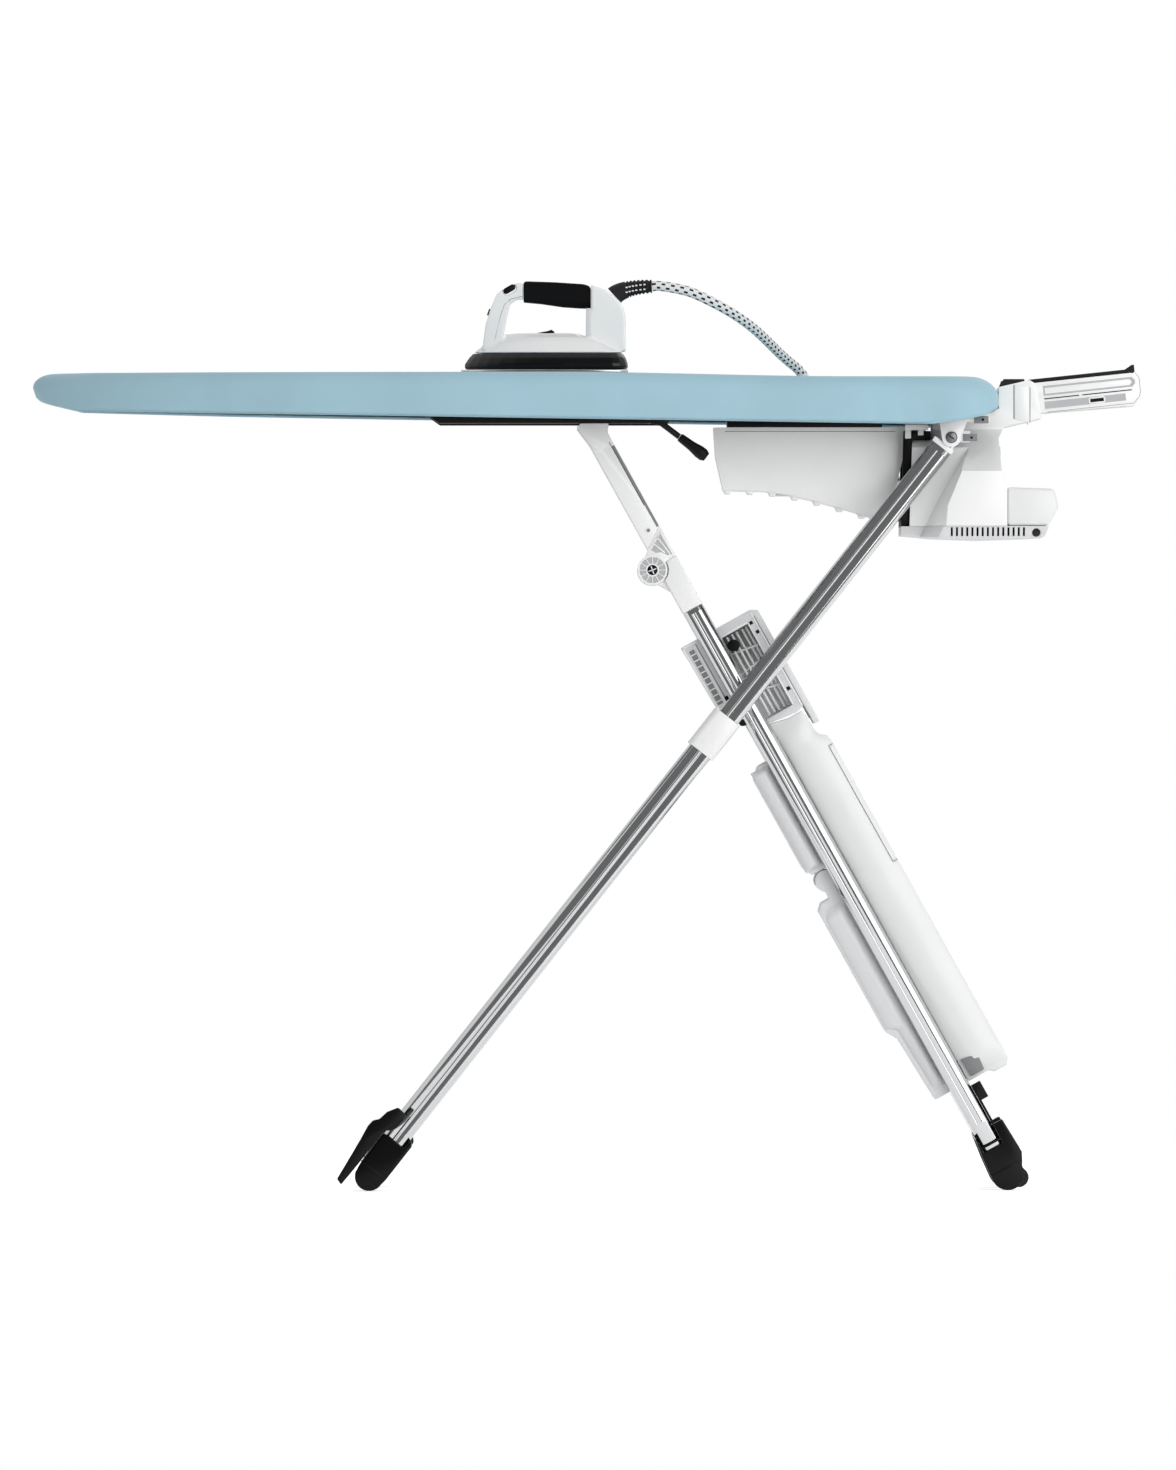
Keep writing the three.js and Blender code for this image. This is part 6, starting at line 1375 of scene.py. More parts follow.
@dataclass(frozen=True)
class FineDetail:
    """Collects small raised shapes that share a body and a finish into one piece.

    Each shape is made twice, on the near and on the far side. A face is the distance of a part's side
    face from the middle plane, and proud is how far the shape stands out of it.
    """

    name: str
    finish: Finish
    body: str

    @cached_property
    def heap(self) -> list[tuple[list[Point], list[Face]]]:
        """The shapes collected so far."""
        return []

    def block(self, outline: Sequence[Point], inner: float, outer: float) -> None:
        """Adds a prism between two distances from the middle plane."""
        for side in SIDES:
            self.heap.append(prism(outline, side * inner, side * outer))

    def slab(self, outline: Sequence[Point], face: float, proud: float) -> None:
        """Adds a flat shape, with its outline in X and Z in metres."""
        self.block(outline, face - ROOT, face + proud)

    def band(self, line: Sequence[Point], width: float, face: float, proud: float) -> None:
        """Adds a narrow strip along a line in X and Z in metres."""
        for (ax, az), (bx, bz) in zip(line, line[1:]):
            length = math.hypot(bx - ax, bz - az)
            ux, uz = (bx - ax) / length * width / 2, (bz - az) / length * width / 2
            corners = [(ax - uz, az + ux), (bx - uz, bz + ux), (bx + uz, bz - ux), (ax + uz, az - ux)]
            self.slab(corners, face, proud)

    def disc(self, x: float, z: float, radius: float, face: float, proud: float, inner: float = 0.0,
             count: int = 28) -> None:
        """Adds a round plate with a number of corners, or a ring where it has an inner radius."""
        turns = [2 * math.pi * k / count for k in range(count)]
        for side in SIDES:
            low, high = side * (face - ROOT), side * (face + proud)
            rounds = [[(x + r * math.cos(a), y, z + r * math.sin(a)) for a in turns]
                      for r, y in ((radius, low), (radius, high), (inner, high), (inner, low))]
            points, faces = loft(rounds if inner else rounds[:2], capped=not inner)
            if inner:
                last = 3 * count
                faces += [(last + k, last + (k + 1) % count, (k + 1) % count, k) for k in range(count)]
            self.heap.append((points, faces))

    def rod(self, line: LegLine, start: Point, end: Point, radius: float, corners: int) -> None:
        """Adds a round rod between two places on a leg.

        Args:
            line: The leg.
            start: One end, in millimetres across the leg, from the middle plane and down the leg.
            end: The other end.
            radius: The rod's radius in metres.
            corners: Number of points round it.
        """
        for side in SIDES:
            ends = [line.point(across * MM, side * y * MM, down * MM) for across, y, down in (start, end)]
            self.heap.append(loft(sweep(np.linspace(*ends, 3), lambda _: radius, corners)))

    def rib(self, line: LegLine, across: float, half: float, rise: float, face: float,
            downs: tuple[float, float], arcs: int = 12) -> None:
        """Adds a lengthwise rib with a round back to a leg's tube.

        Args:
            line: The leg.
            across: Place of the rib's middle across the leg.
            half: Half the rib's width.
            rise: How far its back stands out.
            face: Distance of the tube's side face from the middle plane.
            downs: Where it starts and ends, as distances down the leg.
            arcs: Number of faces across its back.
        """
        shares = [2 * k / arcs - 1 for k in range(arcs + 1)]
        section = [(across + half * s, face + rise * (1 - s * s)) for s in shares]
        section += [(across + half, face - ROOT), (across - half, face - ROOT)]
        for side in SIDES:
            self.heap.append(loft([[line.point(a, side * y, down) for a, y in section] for down in downs]))

    def build(self, radii: float = 0.0, count: int = 1, step: Point = (0.0, 0.0, 0.0), turn: float = 0.0,
              middle: Point = (0.0, 0.0, 0.0)) -> bpy.types.Object:
        """Joins what was collected into one piece, repeats it if asked, and puts it on its body.

        Args:
            radii: Width of its rounded edges in metres, or 0 for sharp ones.
            count: How many copies there are.
            step: From one copy to the next, in metres.
            turn: Angle about Y in radians from one copy to the next.
            middle: Where the whole goes, in metres.

        Returns:
            The finished piece.
        """
        points: list[Point] = []
        faces: list[Face] = []
        for some_points, some_faces in self.heap:
            faces += [tuple(i + len(points) for i in face) for face in some_faces]
            points += some_points
        piece = mesh_piece(self.name, points, faces, self.finish)
        if count > 1:
            repeated(piece, self.finish, count, step, turn, middle)
        if radii:
            rounded(piece, radii, 2)
        return dress(piece, self.finish, self.body)


def across_at(edge: Places, down: float) -> float:
    """Returns how far across the leg an edge lies.

    Args:
        edge: Places on the edge, in millimetres across and down the leg.
        down: Distance down the leg in metres.

    Returns:
        Distance across the leg in metres.
    """
    across, downs = np.array(edge).T * MM
    return float(np.interp(down, downs, across))


@dataclass(frozen=True)
class CrownedWalls:
    """The softly crowned side walls of a moulded shell on the front leg.

    Edges are places in millimetres across and down the leg. Where there is a ridge, the wall is a
    flat facet up to it, which takes over from the crown between the two distances in facet.
    """

    name: str
    finish: Finish
    left: Places
    right: Places
    downs: tuple[float, float]
    crown: float
    ridge: Places = ()
    facet: tuple[float, float] = (0.0, 0.0)
    columns: int = 18
    facet_columns: int = 6
    rows: int = 60
    base_rise: float = 0.4 * MM
    thickness: float = 2 * MM
    end_steepness: float = 9
    roundness: float = 0.75

    def dome(self, share: float) -> float:
        """Returns the crown's height as a share, by share of the wall's width."""
        return max(0.0, math.sin(math.pi * share)) ** self.roundness

    def row(self, number: int) -> list[Point]:
        """Returns a row of points as distances across, out of and down the leg."""
        down = self.downs[0] + (self.downs[1] - self.downs[0]) * number / self.rows
        end = min(1.0, math.sin(math.pi * number / self.rows) * self.end_steepness)
        left, right = across_at(self.left, down), across_at(self.right, down)
        ridge_share, flatness = self.facet_columns / self.columns, 0.0
        if self.ridge:
            ridge_share = (across_at(self.ridge, down) - left) / (right - left)
            flatness = smoothstep(down, *self.facet)
        found = []
        for k in range(self.columns + 1):
            share = ridge_share * k / self.facet_columns
            if k > self.facet_columns:
                past = (k - self.facet_columns) / (self.columns - self.facet_columns)
                share = ridge_share + (1 - ridge_share) * past
            rise = self.dome(share)
            if share < ridge_share:
                rise += (self.dome(ridge_share) * share / ridge_share - rise) * flatness
            found.append((left + (right - left) * share, self.crown * rise * end + self.base_rise, down))
        return found

    def build(self, face: float) -> bpy.types.Object:
        """Makes both walls, at a distance from the middle plane, as one piece."""
        points: list[Point] = []
        faces: list[Face] = []
        wide = self.columns + 1
        for side in SIDES:
            first = len(points)
            for i in range(self.rows + 1):
                for across, out, down in self.row(i):
                    points.append(FRONT.point(across, side * (face + out), down))
            for i in range(self.rows):
                for a in range(first + i * wide, first + i * wide + self.columns):
                    faces.append((a, a + 1, a + 1 + wide, a + wide)[::side])
        piece = mesh_piece(self.name, points, faces, self.finish, 60.0)
        wall = piece.modifiers.new("wall", "SOLIDIFY")
        wall.thickness = self.thickness
        wall.offset = -1.0
        evaluated(piece)
        return dress(piece, self.finish, "front_leg")


@dataclass(frozen=True)
class ScissorLegs:
    """The rear and front legs with their tubes, feet, knee, crossing bracket and covers.

    Pairs in the tables are millimetres across and down the leg. Pocket floors, grooves, slots and
    seams are thin plates that stand a little proud, and aren't cut in; their darker colour is painted
    shade.
    """

    looks: NodeLooks = (
        (pair("rear_tube"), REAR_CHROME, 0.5 * MM, 2),
        (pair("front_tube"), FRONT_CHROME, 0.5 * MM, 2),
        (pair("rear_sleeve"), WHITE, 1.2 * MM, 3),
        ((*pair("knee_sleeve"), *pair("arm")), WHITE, 2.0 * MM, 3),
        (pair("knee_knuckle"), WHITE, 0.8 * MM, 2),
        (pair("carriage"), WHITE, 0.6 * MM, 2),
        (pair("wheel"), RUBBER, 1.0 * MM, 3),
        (("rear_foot_bar", "front_foot_bar", "cord_wrap_plate"), FOOT_BLACK, 1.8 * MM, 3),
        (("scissor_bracket",), GREY, 1.0 * MM, 2),
        (("leg_casing",), CASING, 3.0 * MM, 4),
        (("upper_cover",), COVER_GREY, 3.0 * MM, 4),
        (("lower_cover",), COVER_GREY, 2.5 * MM, 4),
        (("leg_catch",), BLACK, 0.6 * MM, 2),
    )
    arm: LegLine = LegLine(14.6353 * MM, 935.6 * MM, FRONT.lean)
    rear_face: float = 167 * MM
    tube_face: float = 117 * MM
    middle_face: float = 92.7 * MM

    knee: Point = (81.485 * MM, 772.3 * MM)
    knee_floor: float = 17.8 * MM
    knee_rings: tuple[tuple[float, float, int], ...] = ((18.6 * MM, 16.2 * MM, 40), (8.4 * MM, 6.4 * MM, 28))
    knee_hub: float = 6.2 * MM
    spoke_count: int = 12
    spoke: Places = ((8, 0), (16.5, 0))
    hub_cross_turn: float = 0.35
    hub_cross_half: float = 5.2 * MM
    gusset_pocket: Places = ((10, 138.5), (-11, 152.0), (-7, 158.5), (0, 161.5), (4, 168), (10.6, 170))
    gusset_ribs: tuple[Places, ...] = (
        ((-3.5, 147.5), (3, 164)), ((4, 142), (8, 169)),
        ((10, 138.5), (-11, 152.0)), ((10, 138.5), (11, 171)),
    )
    gusset_boss: Point = (-1.5 * MM, 129.5 * MM)
    arm_painted_shade_strip: Point = (9.6, 12.9, 16, 131)
    arm_edge: Places = ((9.2, 4), (9.2, 100))

    bracket_bars: Point = (19.5, 26.5, 33.0, 41.0, 46.5)
    bracket_ties: Places = ((-58, 6), (-30, -5), (-4, 8))
    rung: Places = ((-31, -80), (-24, -80))
    rung_count: int = 9
    rung_step: float = 8.2 * MM
    bracket_frame: tuple[Places, ...] = (
        ((-36, -93), (-15, -93)), ((-35.4, -93), (-33.4, -8)), ((-21, -90), (-21, -8)),
        ((60, -92), (60, 40)), ((51, -80), (51, 34)), ((14, -83), (50, -83)),
    )
    bracket_slot_painted_shade: Places = ((-31, -24, -86, -10), (61.4, 62.4, -86, 60), (-19.5, -18.3, -90, -8))
    bracket_clips_and_painted_hole: Places = (
        (-17.8, -13, 2.6), (54.6, -80, 2.2), (56.2, -66.5, 2.2), (55.5, 13.9, 2.4), (56.0, -24, 1.8),
    )

    shells: tuple[CrownedWalls, ...] = (
        CrownedWalls(
            "leg_casing_walls", CASING, ((13.8, 0),),
            ((57, 41.2), (57.5, 51.5), (58.5, 72), (60.4, 82.4), (68.4, 87.5), (70.6, 95), (70.6, 560)),
            (47 * MM, 546 * MM), 7 * MM, ((17.5, 300), (20.5, 400), (33, 545)), (300 * MM, 390 * MM),
        ),
        CrownedWalls(
            "upper_cover_walls", COVER_GREY, ((-36.6, 0),), ((-13.6, 0),), (85 * MM, 227 * MM), 8 * MM,
        ),
        CrownedWalls(
            "lower_cover_walls", COVER_GREY, ((-30, 268), (-44, 290), (-45, 447), (-33, 449), (-28, 551)),
            ((-13.6, 0),), (278 * MM, 540 * MM), 6 * MM,
        ),
    )
    casing_seam_painted_shade: tuple[Places, ...] = (
        ((64.6, 101), (64.6, 266)), ((64.6, 101), (70.4, 101)), ((64.6, 266), (70.4, 266)),
    )
    foot_pocket: Places = ((18, 522), (40, 526), (38, 547), (20, 547))
    foot_pocket_rise: float = 6.4 * MM

    rear_ribs: Places = ((-4.6, 1.8, 1.0), (3.4, 4.6, 0.5))
    rear_rib_downs: tuple[float, float] = (24 * MM, 1115 * MM)
    front_ribs: Places = ((-4.0, 1.7, 0.8), (3.2, 4.4, 0.8))
    front_rib_downs: tuple[float, float] = (-125 * MM, 603 * MM)

    foot_bands: tuple[tuple[str, str, LegLine, float, tuple[Places, ...]], ...] = (
        ("rear_foot_bands", "rear_leg", REAR, 171 * MM,
         (((-20, 1160), (18, 1160)), ((-17, 1176), (15, 1176)))),
        ("front_foot_bands", "front_leg", FRONT, 120 * MM,
         (((-14, 632), (14, 632)), ((-18, 668), (18, 668)))),
    )
    tube_cap: Point = (-17, 13, 11, 17.5)
    cap_walls: tuple[float, float] = (142.4 * MM, 167.7 * MM)
    side_plates: Places = ((490, 958.8), (476, 936.5))
    plate_face: float = 172 * MM
    plate_screw_holes: Places = ((492, 958.8, 1.7), (478, 936.5, 1.6))
    hinge_screw_face: float = 174 * MM

    def build(self) -> None:
        """Dresses the legs' nodes and adds their fine detail."""
        soften_nodes(self.looks)
        self.knee_detail()
        self.bracket_detail()
        self.casing_detail()
        self.foot_detail()
        self.tube_ribs()

    def knee_detail(self) -> None:
        """Adds the knee's ribbed disc and hub, and the arm's pockets and groove, with painted shade on pocket
        floors and groove.
        """
        x, z = self.knee
        face = self.tube_face
        boss = self.arm.at(*self.gusset_boss)
        # Painted shade: pale grey plates on the floors of the disc's and the gusset's pockets
        floor = FineDetail("knee_pocket_painted_shade", PALE_PAINTED_POCKET_SHADING, "support_arm")
        floor.disc(x, z, self.knee_floor, face, FLOOR_RISE)
        floor.slab(self.arm.places(self.gusset_pocket), face, FLOOR_RISE)
        floor.build()
        ribs = FineDetail("knee_ribs", WHITE, "support_arm")
        for outer, inner, count in self.knee_rings:
            ribs.disc(x, z, outer, face, 1.2 * MM, inner, count)
        spokes = FineDetail("knee_spokes", WHITE, "support_arm")
        spokes.band(in_metres(self.spoke), 1.0 * MM, face, 0.9 * MM)
        spokes.build(RIB_RADII, self.spoke_count, turn=2 * math.pi / self.spoke_count, middle=(x, 0.0, z))
        for turn in (self.hub_cross_turn, self.hub_cross_turn + math.pi / 2):
            c, s = math.cos(turn) * self.hub_cross_half, math.sin(turn) * self.hub_cross_half
            ribs.band([(x - c, z - s), (x + c, z + s)], 1.3 * MM, face, 2.2 * MM)
        for line in self.gusset_ribs:
            ribs.band(self.arm.places(line), RIB_WIDTH, face, RIB_RISE)
        ribs.disc(*boss, 3.4 * MM, face, 0.5 * MM, 2.2 * MM)
        ribs.build(RIB_RADII)
        hub = FineDetail("knee_hub", BLACK, "support_arm")
        hub.disc(x, z, self.knee_hub, face, 1.6 * MM)
        hub.build(0.4 * MM)
        # Painted shade: a dark grey strip in the arm's groove and a disc round the gusset's boss
        shade = FineDetail("arm_painted_shade_strip", DARK_GREY_AND_PAINTED_SHADE, "support_arm")
        shade.slab(self.arm.places(rectangle(*self.arm_painted_shade_strip)), face, SLOT_RISE)
        shade.disc(*boss, 2.3 * MM, face, FLOOR_RISE)
        shade.build()
        # Painted shade: a black line along the groove's edge
        dark = FineDetail("arm_edge_painted_shade_line", BLACK, "support_arm")
        dark.band(self.arm.places(self.arm_edge), 0.7 * MM, face, 0.2 * MM)
        dark.build()

    def bracket_detail(self) -> None:
        """Adds the bracket's ribs, rods and sockets behind the crossing, and painted shade in its slots and a
        hole.
        """
        face = self.middle_face
        ribs = FineDetail("bracket_ribs", WHITE, "front_leg")
        for across in self.bracket_bars:
            ribs.rod(FRONT, (across, 70, 32), (across, 70, -79), 1.6 * MM, 10)
        for down, lean in self.bracket_ties:
            ribs.rod(FRONT, (14, 62, down), (49, 78, down + lean), 1.4 * MM, 10)
        rungs = FineDetail("bracket_rungs", WHITE, "front_leg")
        rungs.band(FRONT.places(self.rung), 1.4 * MM, face, 0.6 * MM)
        below = (math.sin(FRONT.lean) * self.rung_step, 0.0, -math.cos(FRONT.lean) * self.rung_step)
        rungs.build(RIB_RADII, self.rung_count, below)
        for line in self.bracket_frame:
            ribs.band(FRONT.places(line), RIB_WIDTH, face, RIB_RISE)
        ribs.build(RIB_RADII)
        # Painted shade: dark grey plates in the bracket's slots
        shade = FineDetail("bracket_slot_painted_shade", DARK_GREY_AND_PAINTED_SHADE, "front_leg")
        for slot in self.bracket_slot_painted_shade:
            shade.slab(FRONT.places(rectangle(*slot)), face, SLOT_RISE)
        shade.build()
        # The first black square is painted shade for a hole; the other squares are small black clips
        dark = FineDetail("bracket_clips_and_painted_hole", BLACK, "front_leg")
        for across, down, half in self.bracket_clips_and_painted_hole:
            corners = rectangle(across - half, across + half, down - half, down + half)
            dark.slab(FRONT.places(corners), face, 0.25 * MM)
        knob = FRONT.at(-14.5 * MM, 24 * MM)
        dark.disc(*knob, 4.2 * MM, 104 * MM, 6 * MM)
        dark.rod(FRONT, (22, 16, -66), (22, 84, -66), 7.5 * MM, 24)
        dark.build(0.3 * MM)

    def casing_detail(self) -> None:
        """Adds the crowned walls of the casing and its covers, painted shade on seams and a pocket, and the
        covers' elbow.
        """
        face = self.middle_face
        for shell in self.shells:
            shell.build(face)
        # Painted shade: dark grey lines along the casing's seams
        seams = FineDetail("casing_seam_painted_shade", DARK_GREY_AND_PAINTED_SHADE, "front_leg")
        for line in self.casing_seam_painted_shade:
            seams.band(FRONT.places(line), 0.7 * MM, face + 1 * MM, 3.4 * MM)
        seams.build()
        # Painted shade: a dark grey block for the shaded pocket at the casing's foot
        pocket = FineDetail("casing_foot_pocket_painted_shade", DARK_GREY_AND_PAINTED_SHADE, "front_leg")
        pocket.slab(FRONT.places(self.foot_pocket), face, self.foot_pocket_rise)
        pocket.build(0.6 * MM)
        elbow = FineDetail("cover_elbow", DARK_GREY_AND_PAINTED_SHADE, "front_leg")
        elbow.rod(FRONT, (-22, 40, 245), (-22, 90, 245), 12 * MM, 28)
        elbow.disc(*FRONT.at(-31 * MM, 290 * MM), 1.8 * MM, face + 3 * MM, 1.6 * MM)
        elbow.build(0.8 * MM)

    def tube_ribs(self) -> None:
        """Adds the lengthwise ribs that the tubes are drawn with."""
        for name, body, finish, line, face, ribs, downs in (
            ("rear_tube_ribs", "rear_leg", REAR_CHROME, REAR, self.rear_face, self.rear_ribs,
             self.rear_rib_downs),
            ("front_tube_ribs", "front_leg", FRONT_CHROME, FRONT, self.tube_face, self.front_ribs,
             self.front_rib_downs),
        ):
            drawn = FineDetail(name, finish, body)
            for across, half, rise in ribs:
                drawn.rib(line, across * MM, half * MM, rise * MM, face, downs)
            drawn.build()

    def foot_detail(self) -> None:
        """Adds the feet's bands, and the white caps, plates and slotted screws at the rear leg's head, with
        painted shade in slot and holes.
        """
        for name, body, line, face, places in self.foot_bands:
            bands = FineDetail(name, FOOT_BLACK, body)
            for ends in places:
                bands.band(line.places(ends), 2.2 * MM, face, 1.2 * MM)
            bands.build(0.5 * MM)
        caps = FineDetail("rear_tube_caps", WHITE, "rear_leg")
        caps.block(REAR.places(rectangle(*self.tube_cap)), *self.cap_walls)
        caps.build(0.6 * MM)
        screw = FineDetail("leg_hinge_screws", STEEL, "board")
        screw.disc(REAR.x, REAR.z, 6.2 * MM, self.hinge_screw_face, 1.4 * MM)
        screw.build(0.4 * MM)
        plates = FineDetail("hinge_side_plates", DARK_GREY_AND_PAINTED_SHADE, "board")
        for x, z in self.side_plates:
            plates.slab(in_metres(rectangle(x - 9, x + 9, z - 4.6, z + 4.6)), self.plate_face, 1.6 * MM)
        plates.build(0.3 * MM)
        # Painted shade: black marks for the screw's slot, the gap round its head and the plates' screw holes
        slots = FineDetail("screw_slot_and_hole_painted_shade", BLACK, "board")
        slot = [(REAR.x - 3.6 * MM, REAR.z + 2.4 * MM), (REAR.x + 3.6 * MM, REAR.z - 2.4 * MM)]
        slots.band(slot, 1.3 * MM, self.hinge_screw_face, 1.6 * MM)
        slots.disc(REAR.x, REAR.z, 7.2 * MM, self.hinge_screw_face, 0.3 * MM, 6.3 * MM)
        for x, z, radius in self.plate_screw_holes:
            slots.disc(x * MM, z * MM, radius * MM, self.plate_face + 1 * MM, 0.9 * MM)
        slots.build()


@dataclass(frozen=True)
class UnderBoard:
    """The rails, the height lever, the hinge brackets and the blower."""

    looks: NodeLooks = (
        ((*pair("slide_rail"), "lever_bracket", "lever_rod", "lever_grip"), BLACK, 0.8 * MM, 2),
        (pair("rear_hinge_bracket"), WHITE, 0.5 * MM, 2),
        (("blower_housing",), WHITE, 1.2 * MM, 3),
        (("blower_flange",), BLACK, 0.6 * MM, 2),
        (("blower_motor",), STEEL, 0.6 * MM, 2),
        (("impeller",), WHITE, 0.3 * MM, 1),
    )
    clip_plates: Places = ((396, 425, 946.5, 953.5), (396, 403.5, 936, 947), (412, 419, 940, 947))
    clip_face: float = 118 * MM
    plug: Point = (393.5 * MM, 839.5 * MM)
    plug_radius: float = 5.5 * MM
    plug_face: float = 116 * MM
    rim_line: Places = ((172, 945.2), (384, 945.2))
    blower_face: float = 88 * MM

    def build(self) -> None:
        """Dresses the nodes under the board and adds the blower's painted shade line and the duct's clip and
        plug.
        """
        soften_nodes(self.looks)
        clip = FineDetail("duct_clip", WHITE, "board")
        for plate in self.clip_plates:
            clip.slab(in_metres(rectangle(*plate)), self.clip_face, 2.5 * MM)
        clip.build(0.6 * MM)
        plug = FineDetail("duct_plug", BLACK, "board")
        plug.disc(*self.plug, self.plug_radius, self.plug_face, 3 * MM)
        plug.build(0.8 * MM)
        # Painted shade: a dark grey line for the groove under the blower's rim
        line = FineDetail("blower_rim_painted_shade_line", DARK_GREY_AND_PAINTED_SHADE, "board")
        line.band(in_metres(self.rim_line), 0.8 * MM, self.blower_face, FLOOR_RISE)
        line.build()


@dataclass(frozen=True)
class SteamGenerator:
    """The generator's shell, base, tank, controls and the folding iron rest.

    Places on the iron rest are millimetres along and above its hinge; the others are millimetres of
    X and Z. Pocket floors, grooves and slits are thin plates that stand a little proud, coloured as
    painted shade.
    """

    looks: NodeLooks = (
        (("generator_shell",), WHITE, 2.0 * MM, 3),
        (("generator_base", "power_button"), GREY, 0.6 * MM, 2),
        (("water_tank",), CASING, 4.0 * MM, 4),
        (("wiring_duct",), BLACK, 0.8 * MM, 2),
        (("boiler",), STEEL, 1.0 * MM, 2),
        (("mains_gland",), RUBBER, 0.6 * MM, 2),
        (("control_panel",), GLOSS_BLACK, 0.6 * MM, 2),
        (("hose_gland",), BLACK, 1.0 * MM, 2),
        (("rest_hinge_pin",), STEEL, 0.5 * MM, 2),
        (("rest_frame",), WHITE, 1.5 * MM, 3),
        (("rest_pad",), RUBBER, 0.8 * MM, 2),
    )
    # Where the black sheet of painted shade behind the vents stands
    vent_shade_run: tuple[float, float] = (448 * MM, 550 * MM)
    vent_shade_walls: tuple[float, float] = (146 * MM, 148 * MM)
    collar_face: float = 86 * MM
    collar_band: Places = ((533, 1004), (551, 1001), (551, 957), (533, 960))
    collar_groove_painted_shade: tuple[Places, ...] = (((532, 1003.5), (532, 961)), ((552.2, 1000), (552.2, 956)))
    strip_low: tuple[float, float] = (516 * MM, 547 * MM)
    strip_high: tuple[float, float] = (519 * MM, 545 * MM)
    strip_walls: tuple[float, float] = (76.6 * MM, 85 * MM)
    rest_x: float = 543.75
    rest_z: float = 985.6
    rest_tilt: float = math.radians(6)
    rest_face: float = 75.4 * MM
    rest_floors: tuple[Places, ...] = (
        ((26, 1), (136, 1), (141, 5), (141, 10), (136, 14), (26, 14)),
        ((26, -15.5), (128, -15.5), (128, -5.5), (26, -5.5)),
    )
    rest_rail: Places = ((28, 3.6), (134, 3.6), (137, 7.5), (134, 11.2), (28, 11.2))
    rest_rims: tuple[Places, ...] = (
        ((26, 14.4), (137, 14.4), (141.5, 10), (141.5, 5), (137, 0.6), (26, 0.6)),
        ((26, -5.2), (128, -5.2), (128, -15.8), (26, -15.8)),
        ((82, -7.5), (101, -7.5), (101, -13.8), (82, -13.8), (82, -7.5)),
    )
    rest_slit_painted_shade: tuple[Places, ...] = (((26, -2.4), (70, -2.4)), ((74, -2.4), (136, -2.4)))
    rest_window: Point = (83.2, 99.8, -12.6, -8.6)
    rest_border: Places = ((28, -19.2), (137, -19.2), (144.5, -12), (146.6, -6), (146.6, 12), (142, 18.6))
    key_heights: tuple[float, float] = (909 * MM, 921 * MM)
    key_run: tuple[float, float] = (-18 * MM, -6 * MM)
    lamp_heights: tuple[float, float] = (924.5 * MM, 926.5 * MM)
    lamp_run: tuple[float, float] = (-13 * MM, -11 * MM)
    key_count: int = 3
    key_step: float = 20 * MM

    def rest_places(self, places: Iterable[Point]) -> list[tuple[float, float]]:
        """Returns X and Z of places on the iron rest, given in millimetres from its hinge."""
        c, s = math.cos(self.rest_tilt), math.sin(self.rest_tilt)
        return [
            ((self.rest_x + run * c - rise * s) * MM, (self.rest_z + run * s + rise * c) * MM)
            for run, rise in places
        ]

    def build(self) -> None:
        """Dresses the generator's nodes and adds the collar's and the rest's detail."""
        soften_nodes(self.looks)
        self.vents()
        self.collar()
        self.rest()
        self.panel()

    def vents(self) -> None:
        """Adds painted shade behind the vents: a black sheet in the base."""
        shade_sheet = FineDetail("vent_painted_shade", BLACK, "board")
        low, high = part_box("generator_base")
        shade_sheet.block(rectangle(*self.vent_shade_run, low.z + 4 * MM, high.z - 1 * MM), *self.vent_shade_walls)
        shade_sheet.build()

    def collar(self) -> None:
        """Adds the raised band, painted shade lines in the grooves on the collar's cheeks, and the black
        strip on its top.
        """
        band = FineDetail("collar_bands", WHITE, "board")
        band.slab(in_metres(self.collar_band), self.collar_face, 1.6 * MM)
        band.build(0.9 * MM)
        # Painted shade: dark grey lines in the collar's grooves
        grooves = FineDetail("collar_groove_painted_shade", DARK_GREY_AND_PAINTED_SHADE, "board")
        for line in self.collar_groove_painted_shade:
            grooves.band(in_metres(line), 0.9 * MM, self.collar_face, 0.3 * MM)
        grooves.build()
        strip = FineDetail("collar_top_strip", RUBBER, "board")
        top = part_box("generator_shell")[1].z
        low, high = top - 7 * MM, top + 1.2 * MM
        outline = [(self.strip_low[0], low), (self.strip_low[1], low), (self.strip_high[1], high),
                   (self.strip_high[0], high)]
        strip.block(outline, *self.strip_walls)
        strip.build(0.8 * MM)

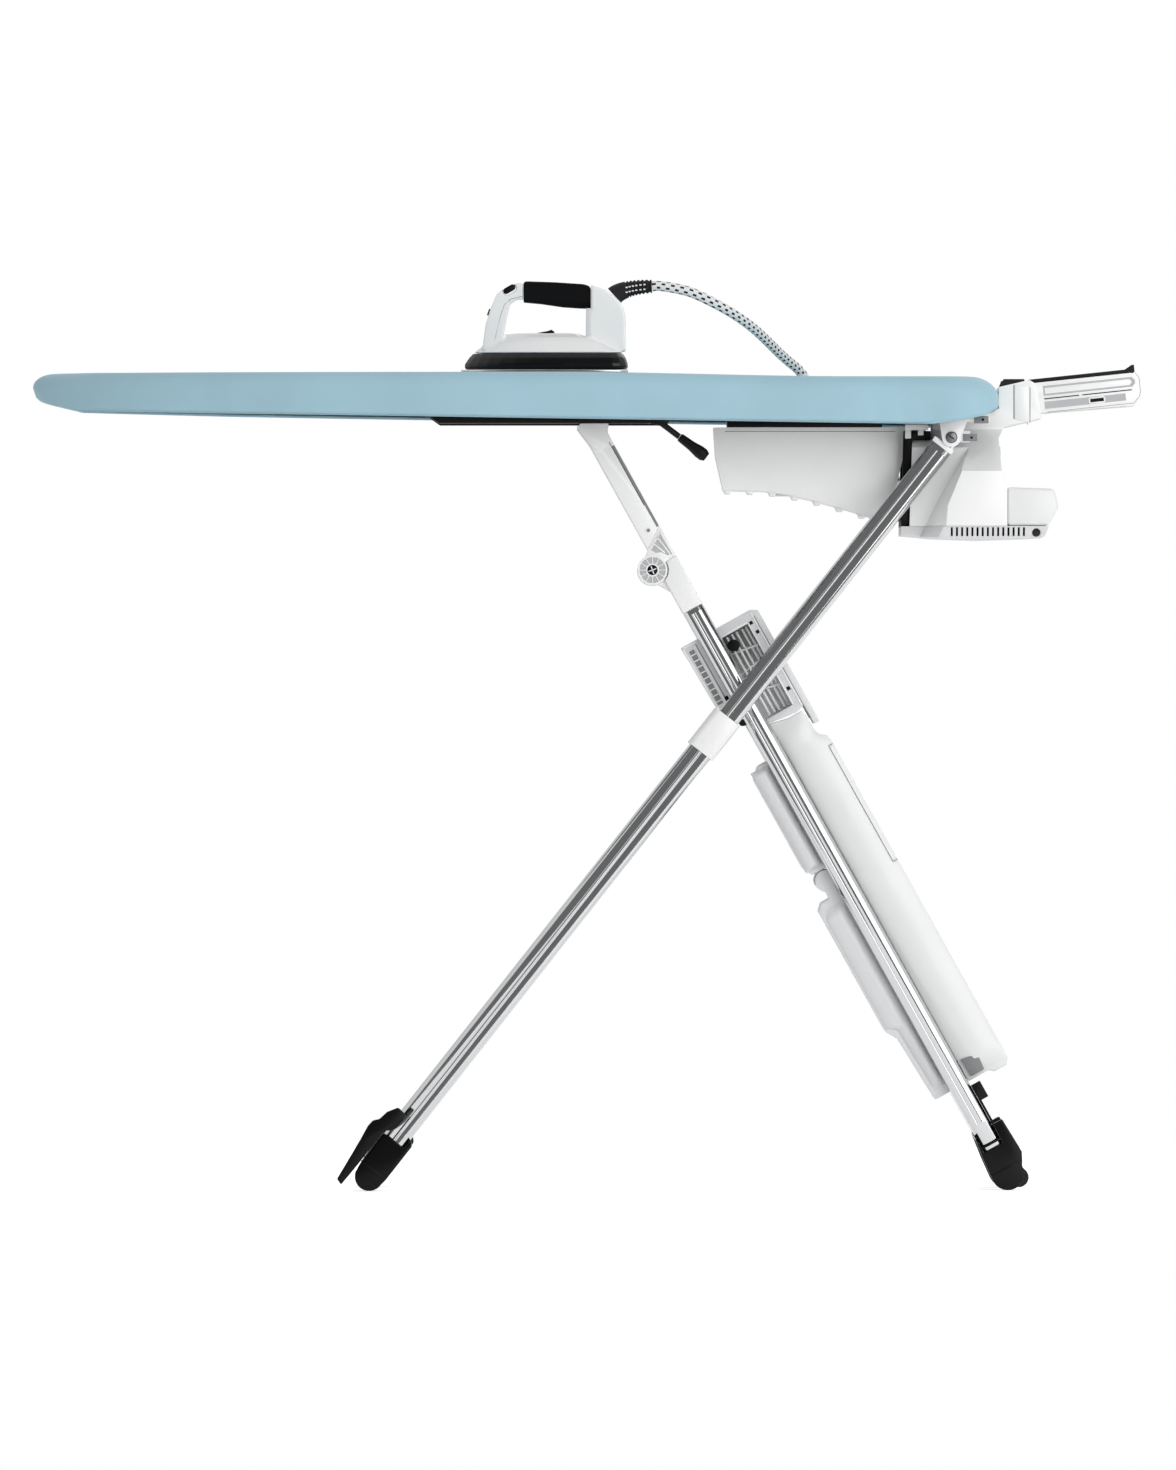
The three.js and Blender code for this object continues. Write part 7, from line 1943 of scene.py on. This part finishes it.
    def rest(self) -> None:
        """Adds the pockets, rims, slits and border lines of the iron rest; floors, slits, window and border
        are painted shade.
        """
        face = self.rest_face
        # Painted shade: pale grey plates on the pockets' floors
        floors = FineDetail("rest_pocket_painted_shade", PALE_PAINTED_POCKET_SHADING, "iron_rest")
        for corners in self.rest_floors:
            floors.slab(self.rest_places(corners), face, FLOOR_RISE)
        floors.build()
        rims = FineDetail("rest_rims", WHITE, "iron_rest")
        rims.slab(self.rest_places(self.rest_rail), face, 0.9 * MM)
        for loop in self.rest_rims:
            rims.band(self.rest_places(loop), RIB_WIDTH, face, 1.2 * MM)
        rims.build(0.3 * MM)
        # Painted shade: black lines for the slits and a black plate for the window
        slits = FineDetail("rest_slit_painted_shade", BLACK, "iron_rest")
        for line in self.rest_slit_painted_shade:
            slits.band(self.rest_places(line), 1.3 * MM, face, 0.2 * MM)
        slits.slab(self.rest_places(rectangle(*self.rest_window)), face, 0.3 * MM)
        slits.build()
        # Painted shade: a dark grey line along the frame's lower and end border
        border = FineDetail("rest_border_painted_shade", DARK_GREY_AND_PAINTED_SHADE, "iron_rest")
        border.band(self.rest_places(self.rest_border), 0.6 * MM, face, FLOOR_RISE)
        border.build()

    def panel(self) -> None:
        """Adds a row of plain keys and lamps to the control panel."""
        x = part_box("control_panel")[1].x
        for name, finish, heights, run, proud, radii in (
            ("panel_keys", GREY, self.key_heights, self.key_run, 1.2 * MM, 0.5 * MM),
            ("panel_lamps", LAMP, self.lamp_heights, self.lamp_run, 0.8 * MM, 0.0),
        ):
            row = FineDetail(name, finish, "board")
            row.heap.append(prism(rectangle(x - ROOT, x + proud, *heights), *run))
            row.build(radii, self.key_count, (0.0, self.key_step, 0.0))


def main() -> None:
    """Builds the studio and each sub-assembly in order."""
    logging.basicConfig(level=logging.INFO, format="%(name)s: %(message)s")
    parts = (Studio(), HosePath(), PaddedBoard(), SteamIron(), ScissorLegs(), UnderBoard(), SteamGenerator())
    for part in parts:
        log.info("building %s", type(part).__name__)
        part.build()


if __name__ == "__main__":
    main()
